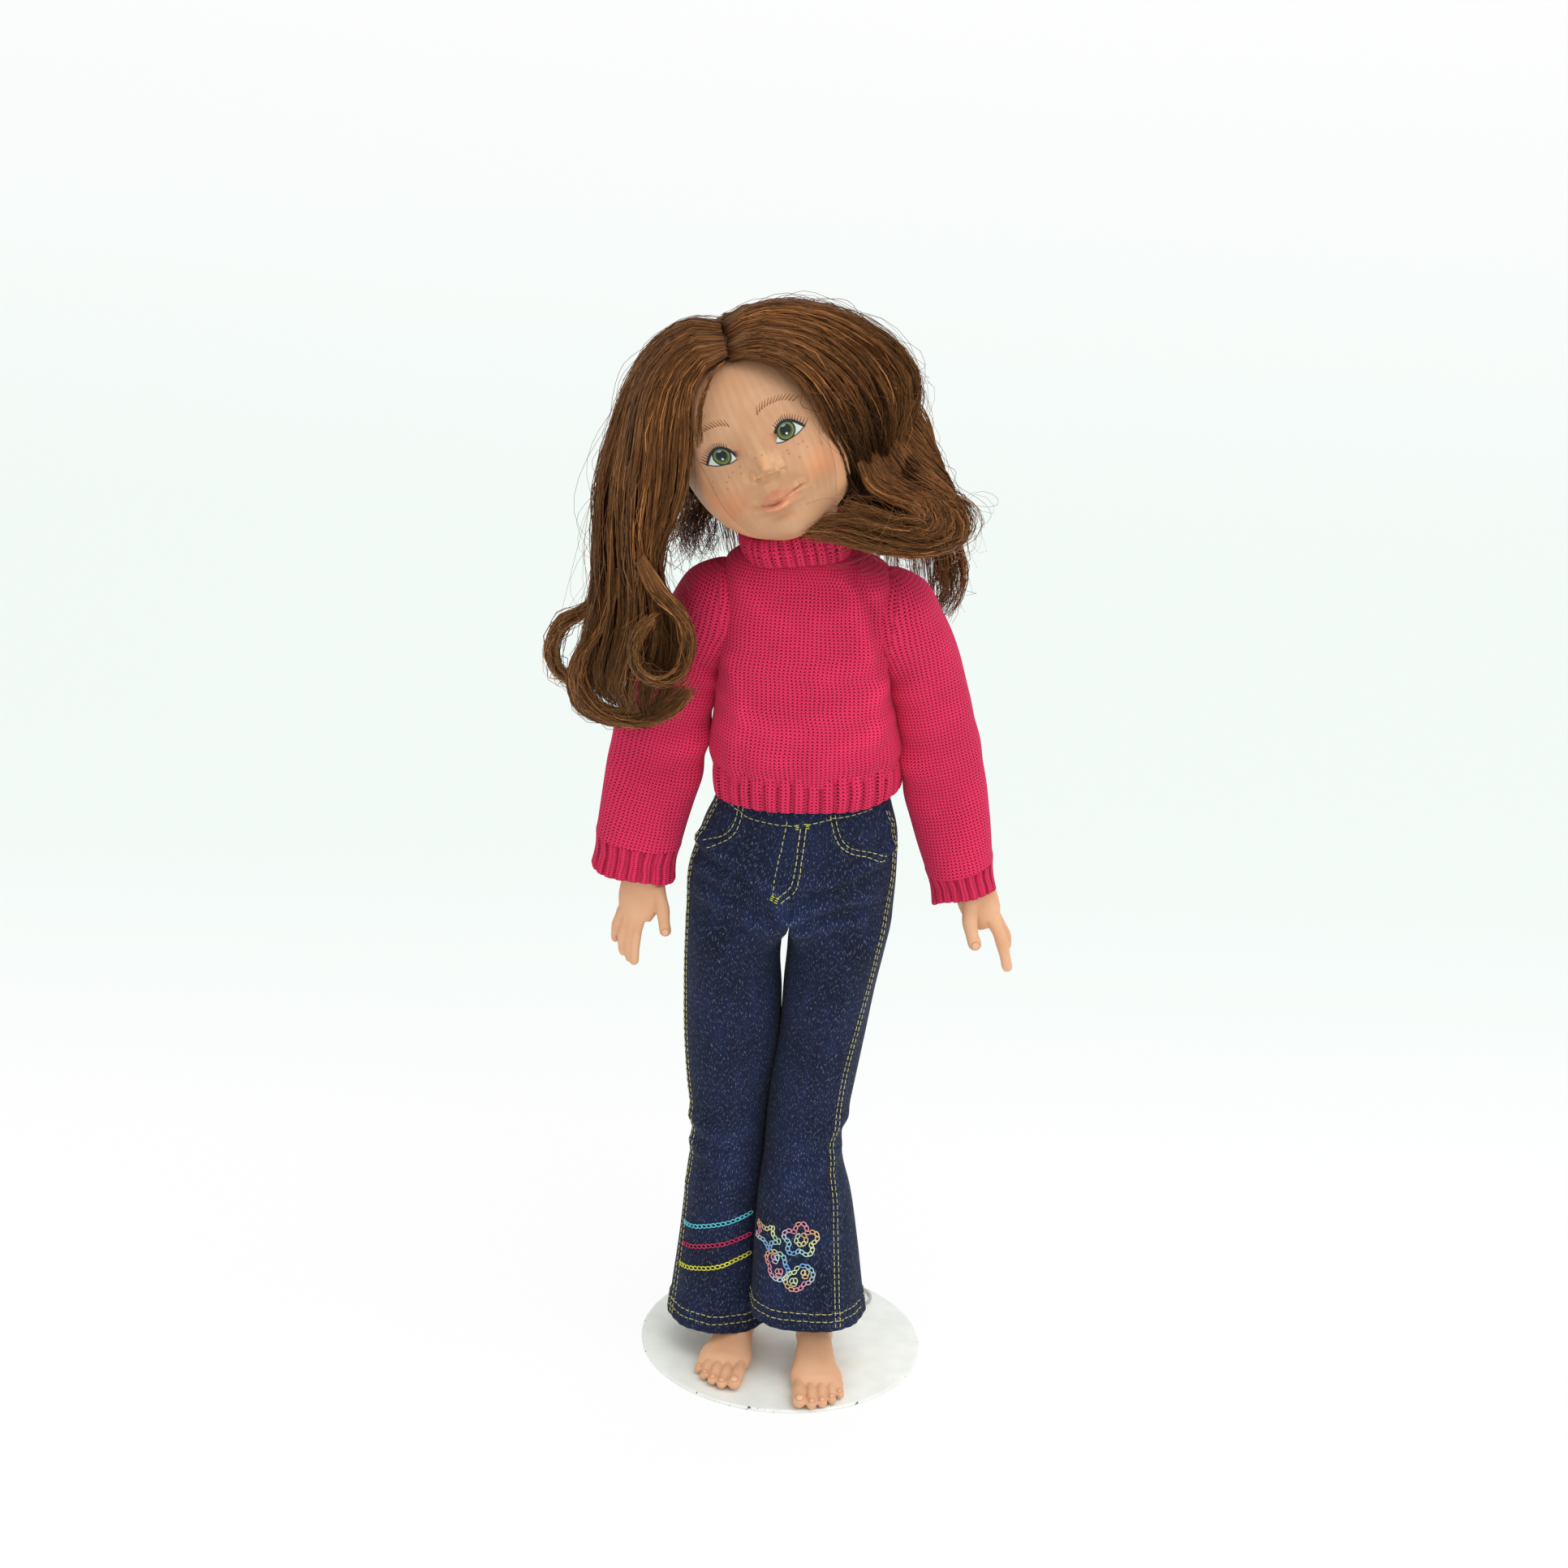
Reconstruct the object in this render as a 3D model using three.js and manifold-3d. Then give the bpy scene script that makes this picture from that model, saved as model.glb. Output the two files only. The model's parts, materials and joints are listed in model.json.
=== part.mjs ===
// A jointed play doll on its display stand: vinyl doll strung with elastic, knitted pullover,
// flared jeans and a long wig. Millimetres, +Z up. The doll faces -Y and its left side is at +X.
// The origin lies on the underside of the base plate, on the doll's midline.
import * as THREE from 'three';
import { mergeVertices } from 'three/addons/utils/BufferGeometryUtils.js';
import Module from 'manifold-3d';

const wasm = await Module();
wasm.setup();

// Fits
const CLEARANCE = 0.4;
const SOCKET_CLEARANCE = 0.9;
const SOLE_GAP = 0.6;
const SEAT_GAP = 0.3;

// Stand
const BASE_RADIUS = 59;
const BASE_THICKNESS = 1.6;
const BASE_CHAMFER = 0.4;
const BASE_CENTRE_X = 6.6;
const BASE_CENTRE_Y = 4;
const UPRIGHT_X = 14;
const UPRIGHT_Y = 33;
const ROD_RADIUS = 1.2;
const UPRIGHT_WALL = 0.9;
const UPRIGHT_TOP = 150;
const ROD_BOTTOM = 92;
const FLANGE_RADIUS = 7;
const FLANGE_HEIGHT = 3;
const ROD_CRANK_BELOW_HEM = 18;
const LOOP_WIRE_RADIUS = 0.6;
const LOOP_REACH = 31;
const LOOP_RADIUS = 8.6;
const CLIP_WIRE_RADIUS = 1.1;
const CLIP_OPENING_DEG = 110;

// Heights of the joints, each above the one before, starting at the soles
const HIP_HEIGHT = 210;
const SHOULDER_ABOVE_HIP = 117;
const HEAD_JOINT_ABOVE_SHOULDER = 43;

// Trunk
const VINYL_WALL = 2.2;
const HIP_SPREAD = 19;
const CROTCH_ABOVE_HIP = -4;
const PELVIS_ABOVE_HIP = 6;
const PELVIS_HALF_WIDTH = 36;
const PELVIS_HALF_DEPTH = 24;
const WAIST_ABOVE_HIP = 50;
const WAIST_HALF_WIDTH = 27;
const WAIST_HALF_DEPTH = 19;
const CHEST_ABOVE_HIP = 86;
const CHEST_HALF_WIDTH = 30;
const CHEST_HALF_DEPTH = 21;
const SHOULDER_HALF_WIDTH = 33;
const SHOULDER_HALF_DEPTH = 17;
const SHOULDER_BOSS_RADIUS = 12.5;
const NECK_RADIUS = 9;
const NECK_BASE_ABOVE_SHOULDER = 24;
const SHOULDER_ROUND_ABOVE_SHOULDER = 12;
const SHOULDER_ROUND_INSET = 6;
const NECK_BALL_RADIUS = 10;
const NECK_BORE_RADIUS = 7.4;

// Stringing
const ELASTIC_RADIUS = 1.5;
const KNOT_RADIUS = 3;
const KNOT_REACH = 12;
const HIP_BAR_RADIUS = 1.3;
const HIP_BAR_HALF_LENGTH = 9;
const HOOK_WIRE_RADIUS = 0.9;
const HOOK_RING_RADIUS = 2.3;
const HOOK_RING_DROP = 4;
const BUTTON_RADIUS = 8;
const BUTTON_THICKNESS = 2;

// Legs
const THIGH_BALL_RADIUS = 16;
const THIGH_RADIUS = 14.6;
const KNEE_ABOVE_SOLE = 103;
const KNEE_RADIUS = 10.5;
const CALF_ABOVE_SOLE = 67;
const CALF_RADIUS = 10.5;
const ANKLE_ABOVE_SOLE = 22;
const ANKLE_RADIUS = 6.5;
const FOOT_HALF_WIDTH = 10;
const FOOT_LENGTH = 57;
const TOE_LENGTH = 12;
const TOE_RADIUS = 3.9;
const INSTEP_HEIGHT = 19;
const HEEL_BEHIND_ANKLE = 13;
const HIP_SWING_DEG = 90;
const THIGH_FULL_ABOVE_KNEE = 60;

// Arms
const UPPER_ARM_RADIUS = 8.4;
const ELBOW_BELOW_SHOULDER = 62;
const FOREARM_RADIUS = 7;
const WRIST_BELOW_SHOULDER = 114;
const ARM_OUT_OF_SHOULDER = 14;
const WRIST_RADIUS = 4.9;
const PALM_LENGTH = 17;
const PALM_HALF_WIDTH = 8;
const PALM_HALF_THICKNESS = 3.6;
const FINGER_RADIUS = 2.1;
const FINGER_LENGTH = 18;
const THUMB_LENGTH = 15;

// Head
const SKULL_HALF_WIDTH = 35;
const SKULL_HALF_DEPTH = 41;
const CHIN_ABOVE_JOINT = 3;
const SKULL_TOP_ABOVE_JOINT = 81;
const NOSE_RADIUS = 5;
const NOSE_ABOVE_JOINT = 31;
const NOSE_PROUD = 5;
const HEAD_LEAN_DEG = -24;
const HEAD_TURN_DEG = -11;

// Wig
const CAP_THICKNESS = 1;
const HAIR_DEPTH = 5;
const CAP_EDGE_ABOVE_JOINT = 24;
const CROWN_EDGE_ABOVE_JOINT = 18;
// Long egg that keeps hair off the face, and the two puffs beside the parting: middle and half sizes
const FACE_OPENING = { middle: [-1, -45, 36], half: [27, 47, 43] };
const CROWN_PUFFS = [
  { middle: [-24, 2, 62], half: [22, 38, 27] },
  { middle: [24, 4, 48], half: [30, 40, 32] },
];

// Pullover
const KNIT_THICKNESS = 1.8;
const RIB_THICKNESS = 2.4;
const HEM_BOTTOM_ABOVE_HIP = 40;
const HEM_BAND_HEIGHT = 14;
const PULLOVER_SETBACK = 1.5;
const PULLOVER_WAIST_EASE = 5;
const PULLOVER_CHEST_EASE = 4.5;
const ARMHOLE_RADIUS = 20;
const COLLAR_BELOW_HEAD_JOINT = 16;
const COLLAR_HEIGHT = 13;
const COLLAR_HALF_WIDTH = 21.5;
const COLLAR_THICKNESS = 6;
const COLLAR_FLATTENING = 1;
const COLLAR_SHIFT = -4;
const COLLAR_SLOPE = 0.28;
const CUFF_HEIGHT = 14;
const CUFF_PAST_WRIST = 4;
const CUFF_INSET = 0.6;
const SLEEVE_HALF_WIDTH = { 1: 13.2, '-1': 15.6 };
const SLEEVE_HALF_DEPTH = { 1: 15, '-1': 13 };

// Jeans
const DENIM_THICKNESS = 1.4;
const WAIST_EASE = 0.6;
const SEAT_HALF_WIDTH = 41.6;
const SEAT_HALF_DEPTH = 28;
const WAISTBAND_HEIGHT = 8;
const SEAT_BELOW_CROTCH = 2;
const FLARE_FOLD = 0.05;
const FLARE_FOLDS = 5;

// Facets round a section
const HEAD_SIDES = 18;
const TRUNK_SIDES = 16;
const LIMB_SIDES = 12;
const FINGER_SIDES = 6;
const CLOTH_SIDES = 24;
const SLEEVE_SIDES = 16;
const WIRE_SIDES = 8;
const ROUND_SIDES = 20;
const PLATE_SIDES = 44;
const EGG_SIDES = 14;

const COLOURS = {
  steel: { color: 0xb9bcc0, roughness: 0.35, metalness: 0.9 },
  enamel: { color: 0xe6e6e2, roughness: 0.35, metalness: 0 },
  vinyl: { color: 0xe3a684, roughness: 0.55, metalness: 0 },
  elastic: { color: 0xf2efe6, roughness: 0.8, metalness: 0 },
  hair: { color: 0x4a2a15, roughness: 0.4, metalness: 0 },
  net: { color: 0x2b1a10, roughness: 0.9, metalness: 0 },
  knit: { color: 0xc0134f, roughness: 0.95, metalness: 0 },
  denim: { color: 0x1f2a4d, roughness: 0.9, metalness: 0 },
};

// Places that several pieces share
const baseTop = BASE_THICKNESS;
const soleLevel = baseTop + SOLE_GAP;
const hipLevel = soleLevel + HIP_HEIGHT;
const shoulderLevel = hipLevel + SHOULDER_ABOVE_HIP;
const headJointLevel = shoulderLevel + HEAD_JOINT_ABOVE_SHOULDER;
const waistLevel = hipLevel + WAIST_ABOVE_HIP;
const hemBottomLevel = hipLevel + HEM_BOTTOM_ABOVE_HIP;
const hemTopLevel = hemBottomLevel + HEM_BAND_HEIGHT;
const seatBottomLevel = hipLevel + CROTCH_ABOVE_HIP - SEAT_BELOW_CROTCH;
const collarBottomLevel = headJointLevel - COLLAR_BELOW_HEAD_JOINT;

// Turns a closed three.js geometry into one with shared vertices and faces pointing out.
function closed(geometry) {
  const bare = new THREE.BufferGeometry();
  bare.setAttribute('position', geometry.getAttribute('position').clone());
  if (geometry.index) bare.setIndex(geometry.index.clone());
  const merged = mergeVertices(bare, 1e-4);
  const place = merged.getAttribute('position');
  const index = Array.from(merged.index.array);
  const corners = [new THREE.Vector3(), new THREE.Vector3(), new THREE.Vector3()];
  const kept = [];
  let volume = 0;
  for (let i = 0; i < index.length; i += 3) {
    const [a, b, c] = index.slice(i, i + 3);
    if (a === b || b === c || c === a) continue;
    kept.push(a, b, c);
    corners[0].fromBufferAttribute(place, a);
    corners[1].fromBufferAttribute(place, b);
    corners[2].fromBufferAttribute(place, c);
    volume += corners[0].dot(corners[1].cross(corners[2]));
  }
  if (volume < 0) kept.reverse();
  merged.setIndex(kept);
  return merged;
}

function solid(geometry) {
  const shape = closed(geometry);
  return new wasm.Manifold(new wasm.Mesh({
    numProp: 3,
    vertProperties: new Float32Array(shape.getAttribute('position').array),
    triVerts: new Uint32Array(shape.index.array),
  }));
}

function geometryOf(body) {
  const mesh = body.getMesh();
  const geometry = new THREE.BufferGeometry();
  geometry.setAttribute('position', new THREE.BufferAttribute(mesh.vertProperties.slice(), mesh.numProp));
  geometry.setIndex(new THREE.BufferAttribute(mesh.triVerts.slice(), 1));
  return geometry;
}

function joined(bodies) {
  return bodies.reduce((all, body) => all.add(body));
}

// The skin through a row of rings with equally many points, closed by a fan at each end.
function loft(rings) {
  const count = rings[0].length;
  const points = rings.flat();
  const index = [];
  for (let r = 0; r + 1 < rings.length; r += 1) {
    for (let i = 0; i < count; i += 1) {
      const a = r * count + i;
      const b = r * count + (i + 1) % count;
      index.push(a, b, a + count, b, b + count, a + count);
    }
  }
  const first = points.length;
  const last = first + 1;
  const middle = (ring) => ring.reduce((sum, p) => sum.add(p), new THREE.Vector3()).divideScalar(count);
  points.push(middle(rings[0]), middle(rings[rings.length - 1]));
  const start = (rings.length - 1) * count;
  for (let i = 0; i < count; i += 1) {
    const next = (i + 1) % count;
    index.push(first, next, i, last, start + i, start + next);
  }
  const geometry = new THREE.BufferGeometry().setFromPoints(points);
  geometry.setIndex(index);
  return closed(geometry);
}

// A ring of points round a centre, with half sizes along two directions. Boxiness 2 gives an
// ellipse, and more squares its corners.
function ring(centre, across, along, halfAcross, halfAlong, count, boxiness = 2) {
  const squared = (value) => Math.sign(value) * Math.abs(value) ** (2 / boxiness);
  return Array.from({ length: count }, (_, i) => {
    const angle = (i / count) * 2 * Math.PI;
    return centre.clone()
      .addScaledVector(across, halfAcross * squared(Math.cos(angle)))
      .addScaledVector(along, halfAlong * squared(Math.sin(angle)));
  });
}

const X_AXIS = new THREE.Vector3(1, 0, 0);
const Y_AXIS = new THREE.Vector3(0, 1, 0);
const Z_AXIS = new THREE.Vector3(0, 0, 1);

function levelRing(x, y, z, halfWidth, halfDepth, count, boxiness = 2) {
  return ring(new THREE.Vector3(x, y, z), X_AXIS, Y_AXIS, halfWidth, halfDepth, count, boxiness);
}

// A ring of a sleeve or an arm, set by its inner and outer edge in the front view and its half depth.
function edgeRing(inner, outer, y, halfDepth, count) {
  const from = new THREE.Vector3(inner[0], y, inner[1]);
  const to = new THREE.Vector3(outer[0], y, outer[1]);
  const across = to.clone().sub(from).normalize();
  const half = from.distanceTo(to) / 2;
  return ring(from.add(to).divideScalar(2), across, Y_AXIS, half, halfDepth, count);
}

// A lock or finger: rings square to a path, each with its own half width and half thickness.
// The half width lies along the given flat direction as nearly as the path allows.
function lock(path, sizes, flat, count) {
  const curve = new THREE.CatmullRomCurve3(path.map((p) => new THREE.Vector3(...p)));
  const rings = path.map((_, i) => {
    const share = i / (path.length - 1);
    const tangent = curve.getTangent(share);
    const thin = new THREE.Vector3().crossVectors(tangent, flat).normalize();
    const wide = new THREE.Vector3().crossVectors(thin, tangent).normalize();
    return ring(curve.getPoint(share), wide, thin, sizes[i][0], sizes[i][1], count);
  });
  return loft(rings);
}

function tube(points, radius, sides, steps) {
  const section = new THREE.Shape().absarc(0, 0, radius, 0, 2 * Math.PI);
  const stops = points.map((p) => new THREE.Vector3(...p));
  const path = new THREE.CatmullRomCurve3(stops, false, 'centripetal');
  const settings = { steps, extrudePath: path, curveSegments: sides / 2, bevelEnabled: false };
  return closed(new THREE.ExtrudeGeometry(section, settings));
}

// A turned piece with its axis along +Z, from profile points of radius and height.
function turned(profile, sides) {
  const points = profile.map(([radius, height]) => new THREE.Vector2(radius, height));
  const lathe = new THREE.LatheGeometry(points, sides);
  return closed(lathe.rotateX(Math.PI / 2));
}

function rodAlongX(fromX, toX, y, z, radius, sides) {
  const rod = new THREE.CylinderGeometry(radius, radius, Math.abs(toX - fromX), sides);
  return rod.rotateZ(Math.PI / 2).translate((fromX + toX) / 2, y, z);
}

function ball(x, y, z, radius, sides) {
  const round = new THREE.SphereGeometry(radius, sides, Math.round(sides / 2));
  return round.rotateX(Math.PI / 2).translate(x, y, z);
}

function egg(middle, half, grow, sides) {
  const unit = new THREE.SphereGeometry(1, sides, Math.round(sides * 0.6));
  const [x, y, z] = half.map((size) => size + grow);
  return unit.rotateX(Math.PI / 2).scale(x, y, z).translate(...middle);
}

function piece(name, geometry, colour) {
  const mesh = new THREE.Mesh(geometry, new THREE.MeshStandardMaterial(COLOURS[colour]));
  mesh.name = name;
  return mesh;
}

// Everything above a level, as a block larger than the doll is tall.
function aboveLevel(level) {
  const size = 2 * (headJointLevel + SKULL_TOP_ABOVE_JOINT);
  return solid(new THREE.BoxGeometry(size, size, size).translate(0, 0, level + size / 2));
}

// Eases a value through a list of [place, value] pairs.
function through(pairs, place) {
  if (place <= pairs[0][0]) return pairs[0][1];
  for (let i = 0; i + 1 < pairs.length; i += 1) {
    const [from, low] = pairs[i];
    const [to, high] = pairs[i + 1];
    const share = THREE.MathUtils.smoothstep(place, from, to);
    if (place <= to) return THREE.MathUtils.lerp(low, high, share);
  }
  return pairs[pairs.length - 1][1];
}

// Trunk: half width and half depth at a height above the hip axis.
function trunkHalfWidth(above) {
  return through([
    [CROTCH_ABOVE_HIP, PELVIS_HALF_WIDTH * 0.8],
    [PELVIS_ABOVE_HIP, PELVIS_HALF_WIDTH],
    [WAIST_ABOVE_HIP, WAIST_HALF_WIDTH],
    [CHEST_ABOVE_HIP, CHEST_HALF_WIDTH],
    [SHOULDER_ABOVE_HIP, SHOULDER_HALF_WIDTH - 2],
    [SHOULDER_ABOVE_HIP + SHOULDER_ROUND_ABOVE_SHOULDER, SHOULDER_HALF_WIDTH - SHOULDER_ROUND_INSET],
    [SHOULDER_ABOVE_HIP + NECK_BASE_ABOVE_SHOULDER, NECK_RADIUS],
  ], above);
}

function trunkHalfDepth(above) {
  return through([
    [CROTCH_ABOVE_HIP, PELVIS_HALF_DEPTH * 0.8],
    [PELVIS_ABOVE_HIP, PELVIS_HALF_DEPTH],
    [WAIST_ABOVE_HIP, WAIST_HALF_DEPTH],
    [CHEST_ABOVE_HIP, CHEST_HALF_DEPTH],
    [SHOULDER_ABOVE_HIP, SHOULDER_HALF_DEPTH],
    [SHOULDER_ABOVE_HIP + NECK_BASE_ABOVE_SHOULDER, NECK_RADIUS],
  ], above);
}

function trunkRings(shrink, from, to, steps) {
  return Array.from({ length: steps + 1 }, (_, i) => {
    const above = THREE.MathUtils.lerp(from, to, i / steps);
    const halfWidth = trunkHalfWidth(above) - shrink;
    const halfDepth = trunkHalfDepth(above) - shrink;
    return levelRing(0, 0, hipLevel + above, halfWidth, halfDepth, TRUNK_SIDES);
  });
}

// Leg shape: centre line and radius at a height above the sole, for one side (+1 left, -1 right).
const KNEE_X = { 1: 12, '-1': -20.5 };
const CALF_X = { 1: 15, '-1': -19.5 };
const ANKLE_X = { 1: 20.5, '-1': -12.5 };
const ANKLE_Y = { 1: -11, '-1': -1 };
const FOOT_TURN_DEG = { 1: 4, '-1': -16 };

function legX(side, above) {
  return through([
    [ANKLE_ABOVE_SOLE, ANKLE_X[side]],
    [CALF_ABOVE_SOLE, CALF_X[side]],
    [KNEE_ABOVE_SOLE, KNEE_X[side]],
    [HIP_HEIGHT, side * HIP_SPREAD],
  ], above);
}

function legY(side, above) {
  return THREE.MathUtils.lerp(ANKLE_Y[side], 0, THREE.MathUtils.clamp(above / HIP_HEIGHT, 0, 1));
}

function legRadius(above) {
  return through([
    [ANKLE_ABOVE_SOLE, ANKLE_RADIUS],
    [CALF_ABOVE_SOLE, CALF_RADIUS],
    [KNEE_ABOVE_SOLE, KNEE_RADIUS],
    [KNEE_ABOVE_SOLE + THIGH_FULL_ABOVE_KNEE, THIGH_RADIUS],
  ], above);
}

function shank(side) {
  const between = (from, to, share) => THREE.MathUtils.lerp(from, to, share);
  const levels = [
    between(0, ANKLE_ABOVE_SOLE, 0.4), between(0, ANKLE_ABOVE_SOLE, 0.7), ANKLE_ABOVE_SOLE,
    between(ANKLE_ABOVE_SOLE, CALF_ABOVE_SOLE, 0.3), between(ANKLE_ABOVE_SOLE, CALF_ABOVE_SOLE, 0.6),
    CALF_ABOVE_SOLE, between(CALF_ABOVE_SOLE, KNEE_ABOVE_SOLE, 0.5), KNEE_ABOVE_SOLE,
    between(KNEE_ABOVE_SOLE, HIP_HEIGHT, 0.2), between(KNEE_ABOVE_SOLE, HIP_HEIGHT, 0.44),
    between(KNEE_ABOVE_SOLE, HIP_HEIGHT, 0.72), HIP_HEIGHT,
  ];
  return loft(levels.map((above) => {
    const radius = legRadius(above);
    return levelRing(legX(side, above), legY(side, above), soleLevel + above, radius, radius, LIMB_SIDES);
  }));
}

// The top of a leg, swung forward by each of several angles, to clear the trunk.
function thighSweep(side) {
  const steps = 6;
  const bodies = [];
  const hip = new THREE.Vector3(side * HIP_SPREAD, 0, hipLevel);
  for (let i = 0; i <= steps; i += 1) {
    const reach = 60;
    const radius = THIGH_RADIUS + 3 * SOCKET_CLEARANCE;
    const thigh = new THREE.CylinderGeometry(radius, radius, reach, LIMB_SIDES);
    thigh.rotateX(Math.PI / 2).translate(0, 0, -reach / 2);
    thigh.rotateX(-THREE.MathUtils.degToRad((HIP_SWING_DEG * i) / steps));
    bodies.push(solid(thigh.translate(hip.x, hip.y, hip.z)));
  }
  bodies.push(solid(ball(hip.x, hip.y, hip.z, THIGH_BALL_RADIUS + SOCKET_CLEARANCE, TRUNK_SIDES)));
  return joined(bodies);
}

function trunkShell() {
  const neckTop = HEAD_JOINT_ABOVE_SHOULDER + SHOULDER_ABOVE_HIP;
  const outer = loft([
    ...trunkRings(0, CROTCH_ABOVE_HIP, SHOULDER_ABOVE_HIP + NECK_BASE_ABOVE_SHOULDER, 12),
    levelRing(0, 0, hipLevel + neckTop - 4, NECK_RADIUS, NECK_RADIUS, TRUNK_SIDES),
  ]);
  const bossGeometry = rodAlongX(
    -SHOULDER_HALF_WIDTH, SHOULDER_HALF_WIDTH, 0, shoulderLevel, SHOULDER_BOSS_RADIUS, TRUNK_SIDES,
  );
  const neckBall = ball(0, 0, headJointLevel, NECK_BALL_RADIUS, TRUNK_SIDES);
  let shell = joined([solid(outer), solid(bossGeometry), solid(neckBall)]);
  const floor = THIGH_BALL_RADIUS + SOCKET_CLEARANCE + VINYL_WALL;
  const hollow = loft([
    ...trunkRings(VINYL_WALL, floor, SHOULDER_ABOVE_HIP + 10, 7),
    levelRing(0, 0, hipLevel + SHOULDER_ABOVE_HIP + 18, NECK_BORE_RADIUS, NECK_BORE_RADIUS, TRUNK_SIDES),
  ]);
  shell = shell.subtract(solid(hollow));
  const boreTop = headJointLevel + NECK_BALL_RADIUS + 1;
  const bore = turned([
    [0, shoulderLevel + 14],
    [NECK_BORE_RADIUS, shoulderLevel + 14],
    [NECK_BORE_RADIUS, boreTop],
    [0, boreTop],
  ], 20);
  shell = shell.subtract(solid(bore));
  const armBore = rodAlongX(
    -SHOULDER_HALF_WIDTH - 1, SHOULDER_HALF_WIDTH + 1, 0, shoulderLevel, ELASTIC_RADIUS + CLEARANCE, 12,
  );
  shell = shell.subtract(solid(armBore));
  for (const side of [1, -1]) {
    shell = shell.subtract(thighSweep(side));
    const pass = tube(legElasticRun(side), ELASTIC_RADIUS + 2 * CLEARANCE, 8, 11);
    shell = shell.subtract(solid(pass));
  }
  return geometryOf(shell);
}

// The leg elastic runs from each hip bar up to the ring of the neck hook.
function legElasticRun(side) {
  const loopTop = hipLevel + HIP_BAR_RADIUS + 2 * CLEARANCE + ELASTIC_RADIUS;
  const passY = 3 * ELASTIC_RADIUS;
  return [
    [side * HIP_SPREAD, 0, loopTop],
    [side * HIP_SPREAD, 0, hipLevel + THIGH_BALL_RADIUS + 4],
    [side * HIP_SPREAD * 0.7, 0, waistLevel],
    [side * HIP_SPREAD * 0.35, passY, hipLevel + CHEST_ABOVE_HIP],
    [side * NECK_BORE_RADIUS * 0.35, passY, shoulderLevel + 12],
    [side * ELASTIC_RADIUS * 0.6, 0, headJointLevel - HOOK_RING_DROP - 9],
  ];
}

function legElastic() {
  const loopRadius = HIP_BAR_RADIUS + 2 * CLEARANCE + ELASTIC_RADIUS;
  const bodies = [];
  for (const side of [1, -1]) {
    bodies.push(solid(tube(legElasticRun(side), ELASTIC_RADIUS, 6, 11)));
    const eye = new THREE.TorusGeometry(loopRadius, ELASTIC_RADIUS, 6, 12);
    bodies.push(solid(eye.rotateY(Math.PI / 2).translate(side * HIP_SPREAD, 0, hipLevel)));
  }
  return geometryOf(joined(bodies));
}

function armElastic() {
  const reach = SHOULDER_HALF_WIDTH + KNOT_REACH;
  const cord = solid(rodAlongX(-reach, reach, 0, shoulderLevel, ELASTIC_RADIUS, 10));
  const knots = [1, -1].map((side) => solid(ball(side * reach, 0, shoulderLevel, KNOT_RADIUS, 12)));
  return geometryOf(joined([cord, ...knots]));
}

// A foot, in its own frame: ankle axis at the origin, toes towards -Y, sole at zero height.
function foot(side) {
  const toeRoot = FOOT_LENGTH - HEEL_BEHIND_ANKLE - TOE_LENGTH;
  const stations = [
    [HEEL_BEHIND_ANKLE, FOOT_HALF_WIDTH * 0.35, INSTEP_HEIGHT * 0.42],
    [HEEL_BEHIND_ANKLE * 0.77, FOOT_HALF_WIDTH * 0.72, INSTEP_HEIGHT * 0.74],
    [HEEL_BEHIND_ANKLE * 0.3, FOOT_HALF_WIDTH * 0.8, INSTEP_HEIGHT],
    [-toeRoot * 0.19, FOOT_HALF_WIDTH * 0.85, INSTEP_HEIGHT],
    [-toeRoot * 0.5, FOOT_HALF_WIDTH * 0.92, INSTEP_HEIGHT * 0.74],
    [-toeRoot * 0.8, FOOT_HALF_WIDTH, INSTEP_HEIGHT * 0.5],
    [-toeRoot, FOOT_HALF_WIDTH * 0.96, INSTEP_HEIGHT * 0.37],
  ];
  const sole = loft(stations.map(([y, half, height]) => ring(
    new THREE.Vector3(0, y, height / 2), X_AXIS, Z_AXIS, half, height / 2, LIMB_SIDES,
  )));
  const bodies = [solid(sole)];
  const toes = 5;
  for (let i = 0; i < toes; i += 1) {
    const across = FOOT_HALF_WIDTH * (0.68 - 0.36 * i);
    const size = TOE_RADIUS * (1 - 0.11 * i + (i === 0 ? 0.08 : 0));
    const reach = toeRoot + TOE_LENGTH * (0.42 - 0.075 * i * i);
    const half = [size * 0.86, size * 1.9, size * 0.95];
    bodies.push(solid(egg([-side * across, -reach, size * 0.95], half, 0, FINGER_SIDES + 2)));
  }
  return joined(bodies).intersect(aboveLevel(0));
}

function leg(side) {
  const placedFoot = foot(side).rotate([0, 0, FOOT_TURN_DEG[side]])
    .translate([ANKLE_X[side], ANKLE_Y[side], soleLevel]);
  const hipX = side * HIP_SPREAD;
  const bodies = [
    solid(shank(side)),
    solid(ball(hipX, 0, hipLevel, THIGH_BALL_RADIUS, TRUNK_SIDES)),
    placedFoot,
  ];
  const slotWidth = 2 * (ELASTIC_RADIUS + 2 * CLEARANCE);
  const eyeOuter = HIP_BAR_RADIUS + 2 * CLEARANCE + 2 * ELASTIC_RADIUS + CLEARANCE;
  const slotReach = THIGH_BALL_RADIUS + 4;
  const slot = new THREE.BoxGeometry(slotWidth, eyeOuter + slotReach, eyeOuter + slotReach);
  slot.translate(hipX, (slotReach - eyeOuter) / 2, hipLevel + (slotReach - eyeOuter) / 2);
  const barHole = rodAlongX(
    hipX - HIP_BAR_HALF_LENGTH - CLEARANCE, hipX + HIP_BAR_HALF_LENGTH + CLEARANCE,
    0, hipLevel, HIP_BAR_RADIUS + CLEARANCE, 10,
  );
  return geometryOf(joined(bodies).subtract(solid(slot)).subtract(solid(barHole)));
}

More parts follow.
